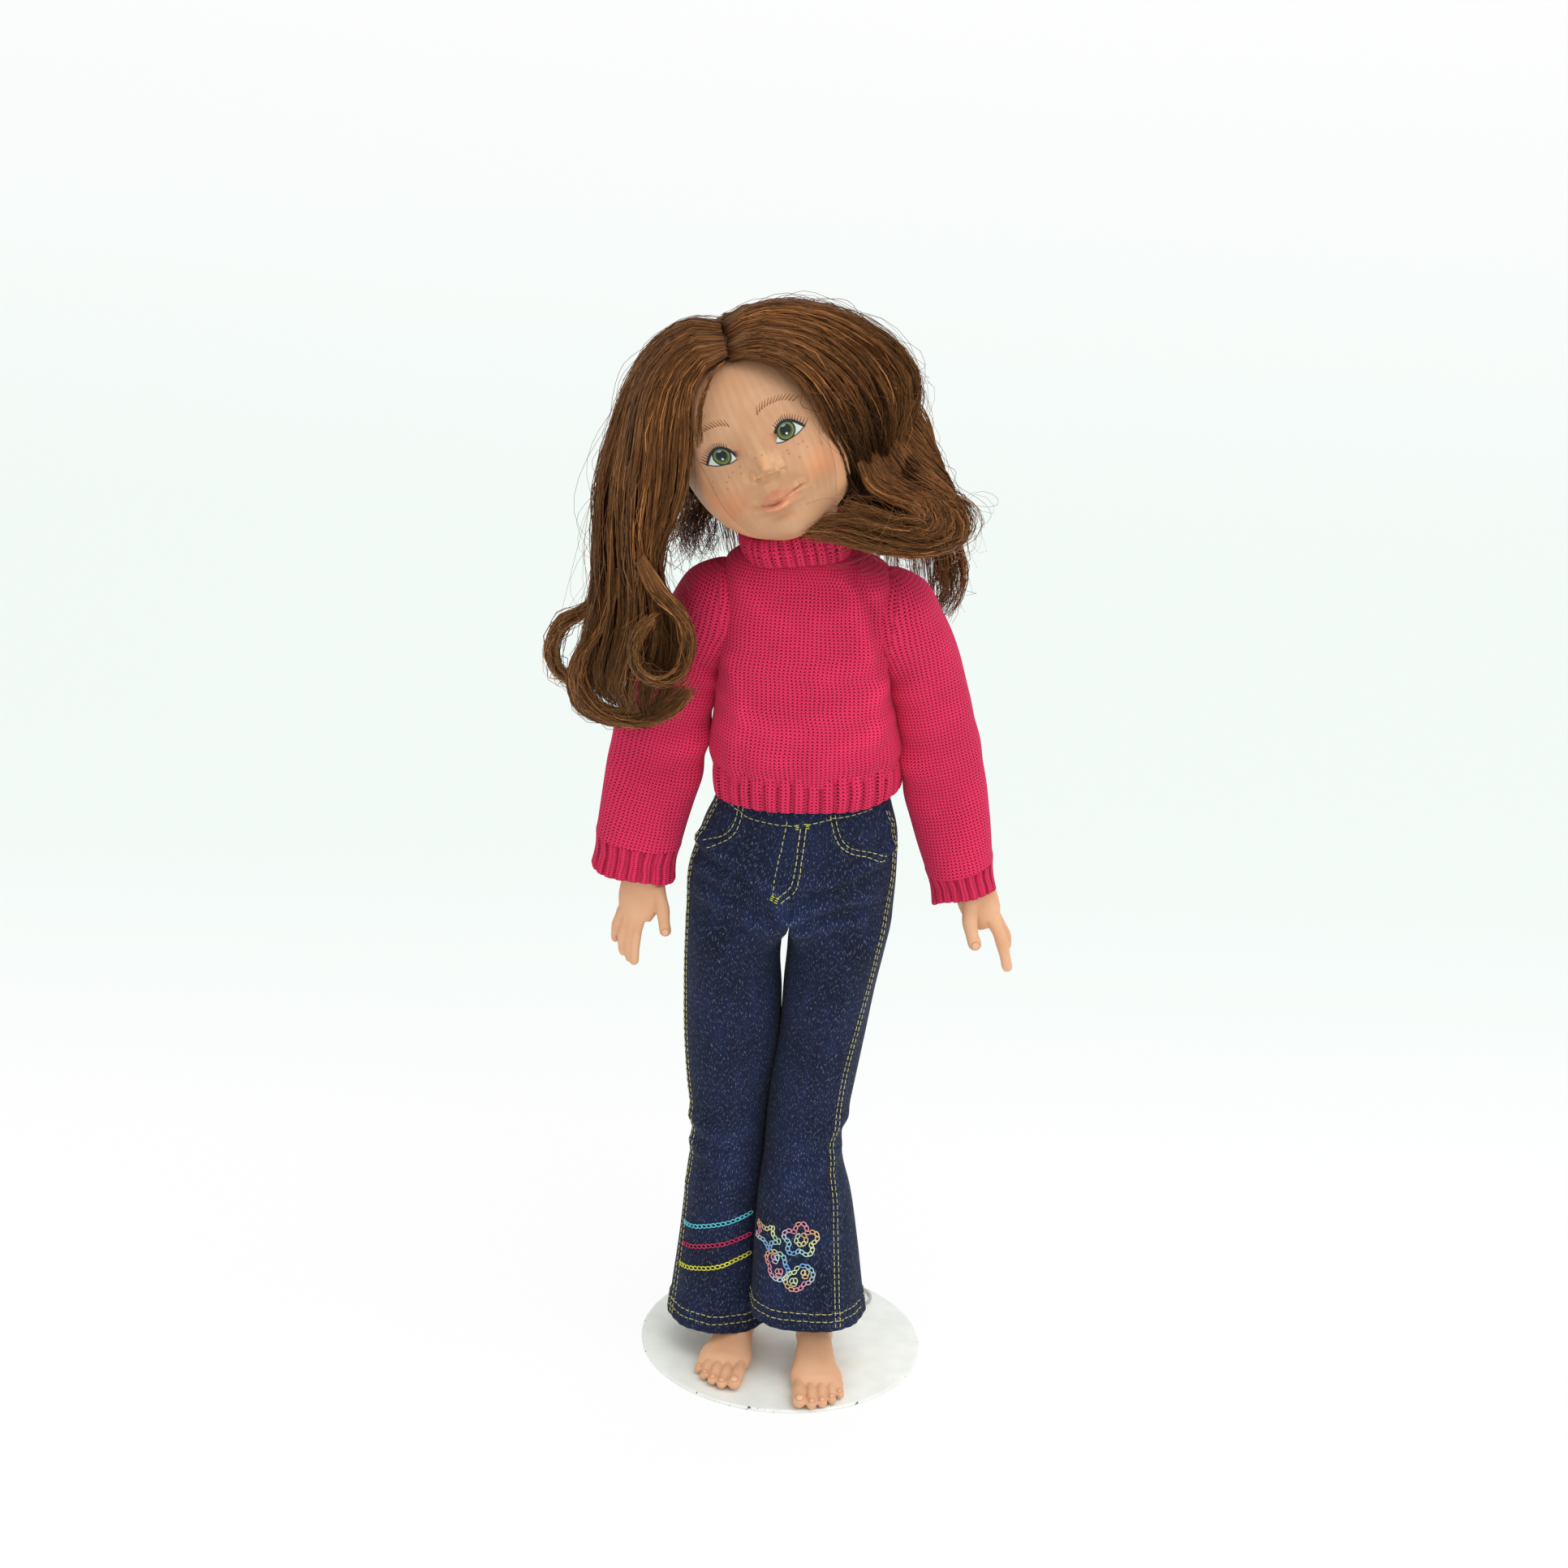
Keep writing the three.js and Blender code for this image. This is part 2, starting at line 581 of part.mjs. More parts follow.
// Arm and sleeve edges in the front view, measured from the shoulder: outwards from the trunk's
// shoulder face and up from the shoulder axis. Each arm hangs a little away from the body.
const ARM_SPREAD = { 1: 0.235, '-1': 0.155 };
const FACE_GAP = CLEARANCE;
const SHOULDER_CAP_END = 14;

function armCentre(side, below) {
  const out = through([
    [0, ARM_OUT_OF_SHOULDER * 0.5],
    [SHOULDER_CAP_END, ARM_OUT_OF_SHOULDER * 0.82],
    [ELBOW_BELOW_SHOULDER, ARM_OUT_OF_SHOULDER],
    [WRIST_BELOW_SHOULDER, ARM_OUT_OF_SHOULDER],
  ], below);
  return out + ARM_SPREAD[side] * Math.max(0, below - 4);
}

function armY(below) {
  return through([[0, 0], [ELBOW_BELOW_SHOULDER, 0], [WRIST_BELOW_SHOULDER, -5]], below);
}

function armRadius(below) {
  return through([
    [SHOULDER_CAP_END, UPPER_ARM_RADIUS * 1.14],
    [ELBOW_BELOW_SHOULDER, UPPER_ARM_RADIUS * 0.93],
    [ELBOW_BELOW_SHOULDER * 1.22, FOREARM_RADIUS],
    [WRIST_BELOW_SHOULDER, WRIST_RADIUS],
  ], below);
}

// Places a point of the front view, outwards and up from the shoulder, on one side of the doll.
function atShoulder(side, out, up) {
  return [side * (SHOULDER_HALF_WIDTH + out), shoulderLevel + up];
}

function armRings(side, count) {
  const boss = SHOULDER_BOSS_RADIUS;
  const rings = [
    edgeRing(atShoulder(side, FACE_GAP, -boss), atShoulder(side, FACE_GAP, boss), 0, boss, count),
    edgeRing(atShoulder(side, 1.6, -boss), atShoulder(side, 8, boss * 0.8), 0, boss * 0.95, count),
    edgeRing(atShoulder(side, 2.4, -boss - 1), atShoulder(side, 17, 0), 0, boss * 0.86, count),
  ];
  const upper = [0.32, 0.61, 1].map((share) => share * ELBOW_BELOW_SHOULDER);
  const fore = [0.7, 0.85, 1].map((share) => share * WRIST_BELOW_SHOULDER);
  for (const below of [...upper, ...fore]) {
    const middle = armCentre(side, below);
    const radius = armRadius(below);
    const tilt = radius * ARM_SPREAD[side];
    rings.push(edgeRing(
      atShoulder(side, middle - radius, -below - tilt),
      atShoulder(side, middle + radius, -below + tilt),
      armY(below), radius, count,
    ));
  }
  return rings;
}

// A hand, in its own frame: wrist at the origin, fingers towards -Z, back of the hand towards -Y,
// thumb towards -X.
function hand(bends) {
  const palm = lock(
    [[0, 0, 3], [0, -0.3, -4], [0, -0.6, -10], [0, -0.6, -PALM_LENGTH]],
    [
      [WRIST_RADIUS * 0.95, WRIST_RADIUS * 0.9],
      [PALM_HALF_WIDTH * 0.8, PALM_HALF_THICKNESS + 0.6],
      [PALM_HALF_WIDTH, PALM_HALF_THICKNESS],
      [PALM_HALF_WIDTH * 0.94, PALM_HALF_THICKNESS * 0.8],
    ],
    X_AXIS, LIMB_SIDES,
  );
  const bodies = [solid(palm)];
  bends.forEach((bend, i) => {
    const root = -PALM_HALF_WIDTH * 0.74 + i * PALM_HALF_WIDTH * 0.48;
    const length = FINGER_LENGTH * [0.92, 1, 0.95, 0.78][i];
    const radius = FINGER_RADIUS * [1, 1.02, 0.98, 0.86][i];
    const path = [0, 0.35, 0.7, 1].map((share) => [
      root + bend.spread * length * share,
      -0.5 + bend.curl * length * share * share,
      -PALM_LENGTH + 2.5 - length * share,
    ]);
    const sizes = [1, 1, 0.92, 0.5].map((share) => [radius * share, radius * share]);
    bodies.push(solid(lock(path, sizes, X_AXIS, FINGER_SIDES)));
  });
  const thumbRoot = -PALM_HALF_WIDTH * 0.7;
  const thumb = lock(
    [0, 0.35, 0.7, 1].map((share) => [
      thumbRoot - THUMB_LENGTH * (0.5 * share + 0.05), 1.2 * share, -5 - THUMB_LENGTH * 0.86 * share,
    ]),
    [1.25, 1.15, 1.05, 0.55].map((share) => [FINGER_RADIUS * share, FINGER_RADIUS * share]),
    X_AXIS, FINGER_SIDES,
  );
  bodies.push(solid(thumb));
  return joined(bodies);
}

const HAND_POSES = {
  1: {
    tiltDeg: -24,
    turnDeg: -38,
    bends: [
      { spread: 0, curl: 0.12 }, { spread: 0, curl: 0.3 },
      { spread: 0, curl: 0.42 }, { spread: 0, curl: 0.5 },
    ],
  },
  '-1': {
    tiltDeg: -4,
    turnDeg: 8,
    bends: [
      { spread: -0.04, curl: 0.12 }, { spread: 0.05, curl: 0.06 },
      { spread: 0.2, curl: 0.2 }, { spread: 0.32, curl: 0.26 },
    ],
  },
};

function arm(side) {
  const pose = HAND_POSES[side];
  const [wristX, wristZ] = atShoulder(side, armCentre(side, WRIST_BELOW_SHOULDER), -WRIST_BELOW_SHOULDER);
  let palm = hand(pose.bends);
  if (side < 0) palm = palm.mirror([1, 0, 0]);
  palm = palm.rotate([0, 0, pose.turnDeg]).rotate([0, side * pose.tiltDeg, 0])
    .translate([wristX, armY(WRIST_BELOW_SHOULDER), wristZ]);
  const whole = solid(loft(armRings(side, LIMB_SIDES))).add(palm);
  const reach = SHOULDER_HALF_WIDTH + KNOT_REACH;
  const bore = rodAlongX(
    side * (SHOULDER_HALF_WIDTH - 1), side * reach, 0, shoulderLevel, ELASTIC_RADIUS + CLEARANCE, 12,
  );
  const pocket = ball(side * reach, 0, shoulderLevel, KNOT_RADIUS + CLEARANCE, 14);
  return geometryOf(whole.subtract(solid(bore)).subtract(solid(pocket)));
}

// Sleeve: inner and outer edge and half depth, from the armhole to the cuff.
function sleeveStations(side) {
  const spread = ARM_SPREAD[side];
  const wide = SLEEVE_HALF_WIDTH[side];
  const deep = SLEEVE_HALF_DEPTH[side];
  const armhole = ARMHOLE_RADIUS;
  const gap = FACE_GAP + CLEARANCE;
  const stations = [
    [[gap, -armhole], [gap, armhole], armhole],
    [[gap + 1, -armhole - 1], [12, armhole * 0.78], armhole * 0.98],
    [[gap + 2, -armhole - 3], [21, armhole * 0.1], armhole * 0.92],
  ];
  for (const share of [0.33, 0.52, 0.71, 0.9, 1]) {
    const below = share * cuffTop();
    const ease = 1.5 * (1 - share);
    const middle = armCentre(side, below) + ease;
    const tilt = wide * spread * 0.9;
    const pinch = 1 - 0.04 * Math.cos(share * 5 * Math.PI);
    stations.push([
      [middle - wide * pinch, -below - tilt], [middle + wide * pinch, -below + tilt], deep * pinch,
    ]);
  }
  return stations;
}

function cuffTop() {
  return WRIST_BELOW_SHOULDER - CUFF_HEIGHT + CUFF_PAST_WRIST;
}

function sleeveSolid(side, grow, extend) {
  const stations = sleeveStations(side);
  const last = stations.length - 1;
  const rings = stations.map(([inner, outer, deep], i) => {
    const across = Math.hypot(outer[0] - inner[0], outer[1] - inner[1]);
    const shift = grow / across;
    const lift = i === 0 ? -extend : 0;
    const drop = i === last ? extend : 0;
    const from = [
      inner[0] - (outer[0] - inner[0]) * shift + lift, inner[1] - (outer[1] - inner[1]) * shift - drop,
    ];
    const to = [
      outer[0] + (outer[0] - inner[0]) * shift + lift, outer[1] + (outer[1] - inner[1]) * shift - drop,
    ];
    const y = armY(Math.max(0, -(inner[1] + outer[1]) / 2));
    return edgeRing(atShoulder(side, ...from), atShoulder(side, ...to), y, deep + grow, SLEEVE_SIDES);
  });
  return solid(loft(rings));
}

function sleeve(side) {
  return geometryOf(sleeveSolid(side, 0, 0).subtract(sleeveSolid(side, -KNIT_THICKNESS, 1)));
}

function cuff(side) {
  const stations = sleeveStations(side);
  const [inner, outer, deep] = stations[stations.length - 1];
  const spread = ARM_SPREAD[side];
  const band = (shrink, from, to) => loft([from, to].map((down) => {
    const shift = down * spread;
    const half = (outer[0] - inner[0]) / 2 - shrink;
    const middle = (outer[0] + inner[0]) / 2 + shift;
    const slope = (outer[1] - inner[1]) / (outer[0] - inner[0]);
    const centre = (outer[1] + inner[1]) / 2 - down;
    return edgeRing(
      atShoulder(side, middle - half, centre - half * slope),
      atShoulder(side, middle + half, centre + half * slope),
      armY(WRIST_BELOW_SHOULDER), deep - shrink, SLEEVE_SIDES,
    );
  }));
  const outside = solid(band(CUFF_INSET, CLEARANCE, CUFF_HEIGHT));
  const inside = solid(band(CUFF_INSET + RIB_THICKNESS, -CLEARANCE, CUFF_HEIGHT + CLEARANCE));
  return geometryOf(outside.subtract(inside));
}

// Pullover body: outer half width and half depth, following the trunk with room for what is under it.
function pulloverRings(shrink, dropTop, fromLevel, toLevel) {
  const stack = DENIM_THICKNESS + WAIST_EASE + 2 * CLEARANCE + 2 * CLIP_WIRE_RADIUS + KNIT_THICKNESS;
  const waistWidth = WAIST_HALF_WIDTH + stack + PULLOVER_WAIST_EASE - 1.8;
  const waistDepth = WAIST_HALF_DEPTH + stack + PULLOVER_WAIST_EASE - 1.8;
  const chestDepth = CHEST_HALF_DEPTH + KNIT_THICKNESS + PULLOVER_CHEST_EASE;
  const side = SHOULDER_HALF_WIDTH + CLEARANCE / 2;
  const armpit = shoulderLevel - ARMHOLE_RADIUS;
  const top = shoulderLevel + ARMHOLE_RADIUS;
  const neckWidth = NECK_RADIUS + KNIT_THICKNESS + 10;
  const neckDepth = NECK_RADIUS + KNIT_THICKNESS + 7;
  const stations = [
    [hemBottomLevel, waistWidth, waistDepth, 2.3],
    [hemTopLevel, waistWidth + 0.8, waistDepth + 0.6, 2.3],
    [hemTopLevel + 12, waistWidth + 0.6, waistDepth + 0.6, 2.4],
    [armpit - 18, side + 2.6, chestDepth + 1, 2.7],
    [armpit - 9, side + 1.2, chestDepth + 0.5, 3],
    [armpit, side + 0.2, chestDepth, 3.6],
    [shoulderLevel, side, chestDepth - 2.5, 4.4],
    [shoulderLevel + 14, side, chestDepth - 7, 4.4],
    [top + 1, side, neckDepth + 1, 3],
    [top + 4, side - 6, neckDepth, 2.4],
    [collarBottomLevel - CLEARANCE, neckWidth, neckDepth, 2],
  ];
  const inRange = stations.filter(([z]) => z >= fromLevel - 1e-6 && z <= toLevel + 1e-6);
  const setback = (z) => through([[hemTopLevel, PULLOVER_SETBACK], [top, 0]], z);
  return inRange.map(([z, halfWidth, halfDepth, boxiness]) => {
    const fall = z > shoulderLevel ? dropTop : 0;
    return levelRing(0, setback(z), z - fall, halfWidth - shrink, halfDepth - shrink, CLOTH_SIDES, boxiness);
  });
}

function raised(points, height) {
  return points.map((p) => p.clone().add(new THREE.Vector3(0, 0, height)));
}

// A shell open at both ends: the outer rings less the inner rings, which run past each end.
function openShell(outer, inner) {
  const past = 3;
  const cut = [raised(inner[0], -past), ...inner, raised(inner[inner.length - 1], past)];
  return solid(loft(outer)).subtract(solid(loft(cut)));
}

function pulloverBody() {
  const from = hemTopLevel;
  const to = collarBottomLevel;
  const outer = pulloverRings(0, 0, from, to);
  outer[0] = raised(outer[0], CLEARANCE);
  const inner = pulloverRings(KNIT_THICKNESS, KNIT_THICKNESS, from, to);
  let shell = openShell(outer, inner);
  const boss = SHOULDER_HALF_WIDTH + KNIT_THICKNESS;
  const armRoom = rodAlongX(-boss, boss, 0, shoulderLevel, SHOULDER_BOSS_RADIUS + CLEARANCE, TRUNK_SIDES);
  shell = shell.subtract(solid(armRoom));
  for (const side of [1, -1]) {
    const edge = SHOULDER_HALF_WIDTH - KNIT_THICKNESS - CLEARANCE;
    const reach = 40;
    const hole = rodAlongX(
      side * edge, side * (edge + reach), 0, shoulderLevel, ARMHOLE_RADIUS + CLEARANCE, CLOTH_SIDES,
    );
    shell = shell.subtract(solid(hole));
  }
  return geometryOf(shell);
}

function pulloverHem() {
  const outer = pulloverRings(-0.3, 0, hemBottomLevel, hemTopLevel);
  const inner = pulloverRings(RIB_THICKNESS - 0.3, 0, hemBottomLevel, hemTopLevel);
  return geometryOf(openShell(outer, inner));
}

// The rolled collar is cut by the leaning head, which presses it down on one side.
function collar() {
  const rings = (shrink, past) => [0, 0.5, 1].map((share, i) => {
    const bulge = [0, 0.8, -0.4][i] - shrink;
    const z = collarBottomLevel + share * COLLAR_HEIGHT + (i - 1) * past;
    const centre = new THREE.Vector3(COLLAR_SHIFT * (0.4 + 0.6 * share), 0, z);
    const across = new THREE.Vector3(1, 0, COLLAR_SLOPE * share);
    const halfWidth = COLLAR_HALF_WIDTH + bulge;
    return ring(centre, across, Y_AXIS, halfWidth, halfWidth - COLLAR_FLATTENING, CLOTH_SIDES);
  });
  const shell = solid(loft(rings(0, 0))).subtract(solid(loft(rings(COLLAR_THICKNESS, 3))));
  return geometryOf(shell.subtract(headInPlace(CLEARANCE)));
}

// Jeans: each leg is set by its inner and outer edge in the front view, the Y of its middle,
// its half depth and how far it is turned about the vertical.
function jeansStations(side) {
  const top = seatBottomLevel - CLEARANCE;
  return {
    1: [
      [18.5, -6.7, 39.8, -14, 20, 0],
      [50, -6, 34, -11, 19, 0],
      [80, -5.3, 28.5, -8, 18.5, 0],
      [104, -4.8, 26.1, -6, 18, 0],
      [125, -3.5, 28.5, -4, 19, 0],
      [157, -2, 34.5, -2, 22, 0],
      [182, -0.4, 38.4, -1, 25, 0],
      [top, CLEARANCE, SEAT_HALF_WIDTH, 0, SEAT_HALF_DEPTH - 0.5, 0],
    ],
    '-1': [
      [17.4, -40.6, -2.4, 3.2, 22, 22],
      [50, -38, -5, 3, 20, 14],
      [80, -35.8, -6.5, 2, 18.5, 6],
      [104, -36, -6, 1, 18, 0],
      [125, -38.5, -4.8, 1, 19, 0],
      [157, -41, -3.2, 0, 22, 0],
      [182, -41.5, -1.5, 0, 25, 0],
      [top, -SEAT_HALF_WIDTH, -CLEARANCE, 0, SEAT_HALF_DEPTH - 0.5, 0],
    ],
  }[side];
}

function jeansLeg(side) {
  const count = CLOTH_SIDES;
  const stations = jeansStations(side);
  const rings = (shrink) => stations.map(([z, from, to, y, deep, turnDeg]) => {
    const fold = FLARE_FOLD * THREE.MathUtils.clamp((KNEE_ABOVE_SOLE - z) / KNEE_ABOVE_SOLE, 0, 1);
    const centre = new THREE.Vector3((from + to) / 2, y, z);
    const turn = THREE.MathUtils.degToRad(turnDeg);
    return levelRing(0, 0, 0, (to - from) / 2 - shrink, deep - shrink, count).map((p, i) => {
      const wave = 1 - fold + fold * Math.cos((i / count) * 2 * Math.PI * FLARE_FOLDS);
      return p.multiplyScalar(wave).applyAxisAngle(Z_AXIS, turn).add(centre);
    });
  });
  return geometryOf(openShell(rings(0), rings(DENIM_THICKNESS)));
}

function waistLineHalf(extra) {
  return [WAIST_HALF_WIDTH + WAIST_EASE + extra, WAIST_HALF_DEPTH + WAIST_EASE + extra];
}

function seatStations() {
  const topLevel = waistLevel - WAISTBAND_HEIGHT / 2 - CLEARANCE;
  const [waistWidth, waistDepth] = waistLineHalf(DENIM_THICKNESS);
  return [
    [seatBottomLevel, SEAT_HALF_WIDTH, SEAT_HALF_DEPTH],
    [hipLevel + PELVIS_ABOVE_HIP, SEAT_HALF_WIDTH, SEAT_HALF_DEPTH],
    [hipLevel + 20, SEAT_HALF_WIDTH - 2, SEAT_HALF_DEPTH - 0.6],
    [hipLevel + 34, waistWidth + 5, waistDepth + 4],
    [topLevel, waistWidth + 1, waistDepth + 1],
  ];
}

function jeansSeat() {
  const rings = (shrink) => seatStations().map(([z, halfWidth, halfDepth]) => levelRing(
    0, 0, z, halfWidth - shrink, halfDepth - shrink, CLOTH_SIDES,
  ));
  return geometryOf(openShell(rings(0), rings(DENIM_THICKNESS)));
}

// How far back the seat's outside lies at a height and a distance from the midline.
function seatBack(level, x) {
  const stations = seatStations();
  const last = stations[stations.length - 1];
  const next = Math.max(1, stations.findIndex(([z]) => z >= level));
  const [from, to] = level > last[0] ? [last, last] : [stations[next - 1], stations[next]];
  const share = to[0] > from[0] ? (level - from[0]) / (to[0] - from[0]) : 0;
  const halfWidth = THREE.MathUtils.lerp(from[1], to[1], share);
  const halfDepth = THREE.MathUtils.lerp(from[2], to[2], share);
  return halfDepth * Math.sqrt(1 - (x / halfWidth) ** 2);
}

function waistband() {
  const rings = (extra) => [-1, 1].map((end) => {
    const [halfWidth, halfDepth] = waistLineHalf(extra);
    return levelRing(0, 0, waistLevel + end * (WAISTBAND_HEIGHT / 2), halfWidth, halfDepth, CLOTH_SIDES);
  });
  return geometryOf(openShell(rings(DENIM_THICKNESS), rings(0)));
}

// Stand
function basePlate() {
  const plate = turned([
    [0, 0],
    [BASE_RADIUS - BASE_CHAMFER, 0],
    [BASE_RADIUS, BASE_CHAMFER],
    [BASE_RADIUS, BASE_THICKNESS - BASE_CHAMFER],
    [BASE_RADIUS - BASE_CHAMFER, BASE_THICKNESS],
    [0, BASE_THICKNESS],
  ], PLATE_SIDES);
  return plate.translate(BASE_CENTRE_X, BASE_CENTRE_Y, 0);
}

function pipe(outerRadius, innerRadius, bottom, top) {
  return turned([
    [innerRadius, bottom], [outerRadius, bottom], [outerRadius, top],
    [innerRadius, top], [innerRadius, bottom],
  ], ROUND_SIDES);
}

const uprightBore = ROD_RADIUS + CLEARANCE;
const uprightRadius = uprightBore + UPRIGHT_WALL;
const flangeBottom = baseTop + SEAT_GAP;

function flange() {
  const top = flangeBottom + FLANGE_HEIGHT;
  const ringPiece = pipe(FLANGE_RADIUS, uprightRadius + CLEARANCE, flangeBottom, top);
  return ringPiece.translate(UPRIGHT_X, UPRIGHT_Y, 0);
}

function uprightTube() {
  return pipe(uprightRadius, uprightBore, flangeBottom, UPRIGHT_TOP).translate(UPRIGHT_X, UPRIGHT_Y, 0);
}

// The wire foot lies on the plate as a long loop that starts and ends at the flange.
function footLoop() {
  const level = flangeBottom + LOOP_WIRE_RADIUS;
  const start = UPRIGHT_X + FLANGE_RADIUS + CLEARANCE + LOOP_WIRE_RADIUS;
  const end = UPRIGHT_X + LOOP_REACH - LOOP_RADIUS;
  const middle = UPRIGHT_Y + LOOP_RADIUS * 0.9;
  const points = [[start, UPRIGHT_Y - 1.2, level], [(start + end) / 2, UPRIGHT_Y - 0.6, level]];
  const turns = 8;
  for (let i = 0; i <= turns; i += 1) {
    const angle = THREE.MathUtils.degToRad(-80 + (240 * i) / turns);
    points.push([end + LOOP_RADIUS * Math.cos(angle), middle + LOOP_RADIUS * Math.sin(angle), level]);
  }
  points.push([start, UPRIGHT_Y + 2.4, level]);
  return tube(points, LOOP_WIRE_RADIUS, 6, 26);
}

function clipHalf() {
  return waistLineHalf(DENIM_THICKNESS + CLEARANCE + CLIP_WIRE_RADIUS);
}

function clipAt(angleDeg) {
  const [halfWidth, halfDepth] = clipHalf();
  const angle = THREE.MathUtils.degToRad(angleDeg);
  return [halfWidth * Math.sin(angle), halfDepth * Math.cos(angle), waistLevel];
}

function waistClip() {
  const points = [];
  const steps = 16;
  const end = 180 - CLIP_OPENING_DEG / 2;
  for (let i = 0; i <= steps; i += 1) points.push(clipAt(-end + (2 * end * i) / steps));
  return tube(points, CLIP_WIRE_RADIUS, WIRE_SIDES, 22);
}

// The rod stands in the upright tube, cranks in over the seat of the jeans and ends below the clip wire.
function clipRod() {
  const [halfWidth, halfDepth] = clipHalf();
  const clipY = halfDepth * Math.sqrt(1 - (UPRIGHT_X / halfWidth) ** 2);
  const endLevel = waistLevel - CLIP_WIRE_RADIUS - SEAT_GAP;
  const over = (level) => [UPRIGHT_X, seatBack(level, UPRIGHT_X) + 2 * CLEARANCE + ROD_RADIUS, level];
  return tube([
    [UPRIGHT_X, UPRIGHT_Y, ROD_BOTTOM],
    [UPRIGHT_X, UPRIGHT_Y, UPRIGHT_TOP],
    [UPRIGHT_X, UPRIGHT_Y, hemBottomLevel - ROD_CRANK_BELOW_HEM - 4],
    [UPRIGHT_X, UPRIGHT_Y - 1, hemBottomLevel - ROD_CRANK_BELOW_HEM],
    over(hemBottomLevel - 3),
    over(hemBottomLevel + 2),
    over(waistLevel - WAISTBAND_HEIGHT / 2 - 1),
    [UPRIGHT_X, clipY + CLEARANCE, endLevel],
  ], ROD_RADIUS, WIRE_SIDES, 32);
}

// Head, in its own frame: the neck joint at the origin, the face towards -Y.
function headRings(grow, sides) {
  const height = SKULL_TOP_ABOVE_JOINT - CHIN_ABOVE_JOINT;
  const stations = [
    [0, 0.22, 0.2, -24], [0.04, 0.46, 0.46, -15], [0.11, 0.68, 0.66, -10], [0.21, 0.85, 0.82, -5],
    [0.33, 0.95, 0.93, -1.5], [0.47, 1, 0.99, 0.5], [0.62, 1, 1.01, 2], [0.76, 0.93, 0.95, 3],
    [0.88, 0.74, 0.78, 4], [0.96, 0.45, 0.5, 4], [1, 0.14, 0.17, 4],
  ];
  return stations.map(([share, wide, deep, y], i) => {
    const end = i === 0 ? -grow : 0;
    const top = i === stations.length - 1 ? grow : 0;
    const z = CHIN_ABOVE_JOINT + share * height + end + top;
    return levelRing(0, y, z, SKULL_HALF_WIDTH * wide + grow, SKULL_HALF_DEPTH * deep + grow, sides);
  });
}

const headPlace = new THREE.Matrix4()
  .makeTranslation(0, 0, headJointLevel)
  .multiply(new THREE.Matrix4().makeRotationY(THREE.MathUtils.degToRad(HEAD_LEAN_DEG)))
  .multiply(new THREE.Matrix4().makeRotationZ(THREE.MathUtils.degToRad(HEAD_TURN_DEG)));

function headInPlace(grow) {
  return solid(loft(headRings(grow, HEAD_SIDES)).applyMatrix4(headPlace));
}

function headShell() {
  const socket = NECK_BALL_RADIUS + CLEARANCE;
  const outer = solid(loft(headRings(0, HEAD_SIDES)));
  const noseDepth = NOSE_RADIUS + NOSE_PROUD / 3;
  const noseY = -SKULL_HALF_DEPTH - NOSE_PROUD + noseDepth;
  const nose = solid(egg([0, noseY, NOSE_ABOVE_JOINT], [NOSE_RADIUS, noseDepth, NOSE_RADIUS], 0, LIMB_SIDES));
  const hollow = solid(loft(headRings(-VINYL_WALL, HEAD_SIDES)));
  const cup = solid(ball(0, 0, 0, socket + VINYL_WALL, TRUNK_SIDES)).intersect(outer);
  const shell = outer.add(nose).subtract(hollow).add(cup).subtract(solid(ball(0, 0, 0, socket, TRUNK_SIDES)));
  const holeTop = socket + VINYL_WALL + 2;
  const hole = turned([[0, 0], [HOOK_WIRE_RADIUS + 2, 0], [HOOK_WIRE_RADIUS + 2, holeTop], [0, holeTop]], 16);
  return geometryOf(shell.subtract(solid(hole)));
}

const buttonBottom = NECK_BALL_RADIUS + CLEARANCE + VINYL_WALL + CLEARANCE;

// The hook hangs from the button inside the head and holds the leg elastic in the neck.
function neckHook() {
  const ringTop = -HOOK_RING_DROP + HOOK_RING_RADIUS;
  const shankTop = buttonBottom - CLEARANCE * 0.75;
  const wire = solid(tube([[0, 0, ringTop], [0, 0, shankTop / 2], [0, 0, shankTop]], HOOK_WIRE_RADIUS, 8, 4));
  const eye = new THREE.TorusGeometry(HOOK_RING_RADIUS, HOOK_WIRE_RADIUS, 8, 16);
  return geometryOf(wire.add(solid(eye.rotateX(Math.PI / 2).translate(0, 0, -HOOK_RING_DROP))));
}

function neckButton() {
  const top = buttonBottom + BUTTON_THICKNESS;
  return turned([[0, buttonBottom], [BUTTON_RADIUS, buttonBottom], [BUTTON_RADIUS, top], [0, top]], 20);
}

// The face stays clear of the cap and the crown hair inside this long egg.
function faceOpening(extra) {
  return solid(egg(FACE_OPENING.middle, FACE_OPENING.half, extra, HEAD_SIDES));
}

const capInner = CLEARANCE;
const capOuter = capInner + CAP_THICKNESS;
const crownInner = capOuter + CLEARANCE;

function wigCap() {
  const inside = solid(loft(headRings(capInner, HEAD_SIDES)));
  const cap = solid(loft(headRings(capOuter, HEAD_SIDES))).subtract(inside);
  return geometryOf(cap.subtract(faceOpening(3 * CAP_THICKNESS)).intersect(aboveLevel(CAP_EDGE_ABOVE_JOINT)));
}

function crownSolid(grow) {
  return joined([
    solid(loft(headRings(crownInner + HAIR_DEPTH + grow, HEAD_SIDES))),
    ...CROWN_PUFFS.map(({ middle, half }) => solid(egg(middle, half, grow, EGG_SIDES))),
  ]);
}

function hairCrown() {
  const crown = crownSolid(0).subtract(solid(loft(headRings(crownInner, HEAD_SIDES))));
  return geometryOf(crown.subtract(faceOpening(0)).intersect(aboveLevel(CROWN_EDGE_ABOVE_JOINT)));
}

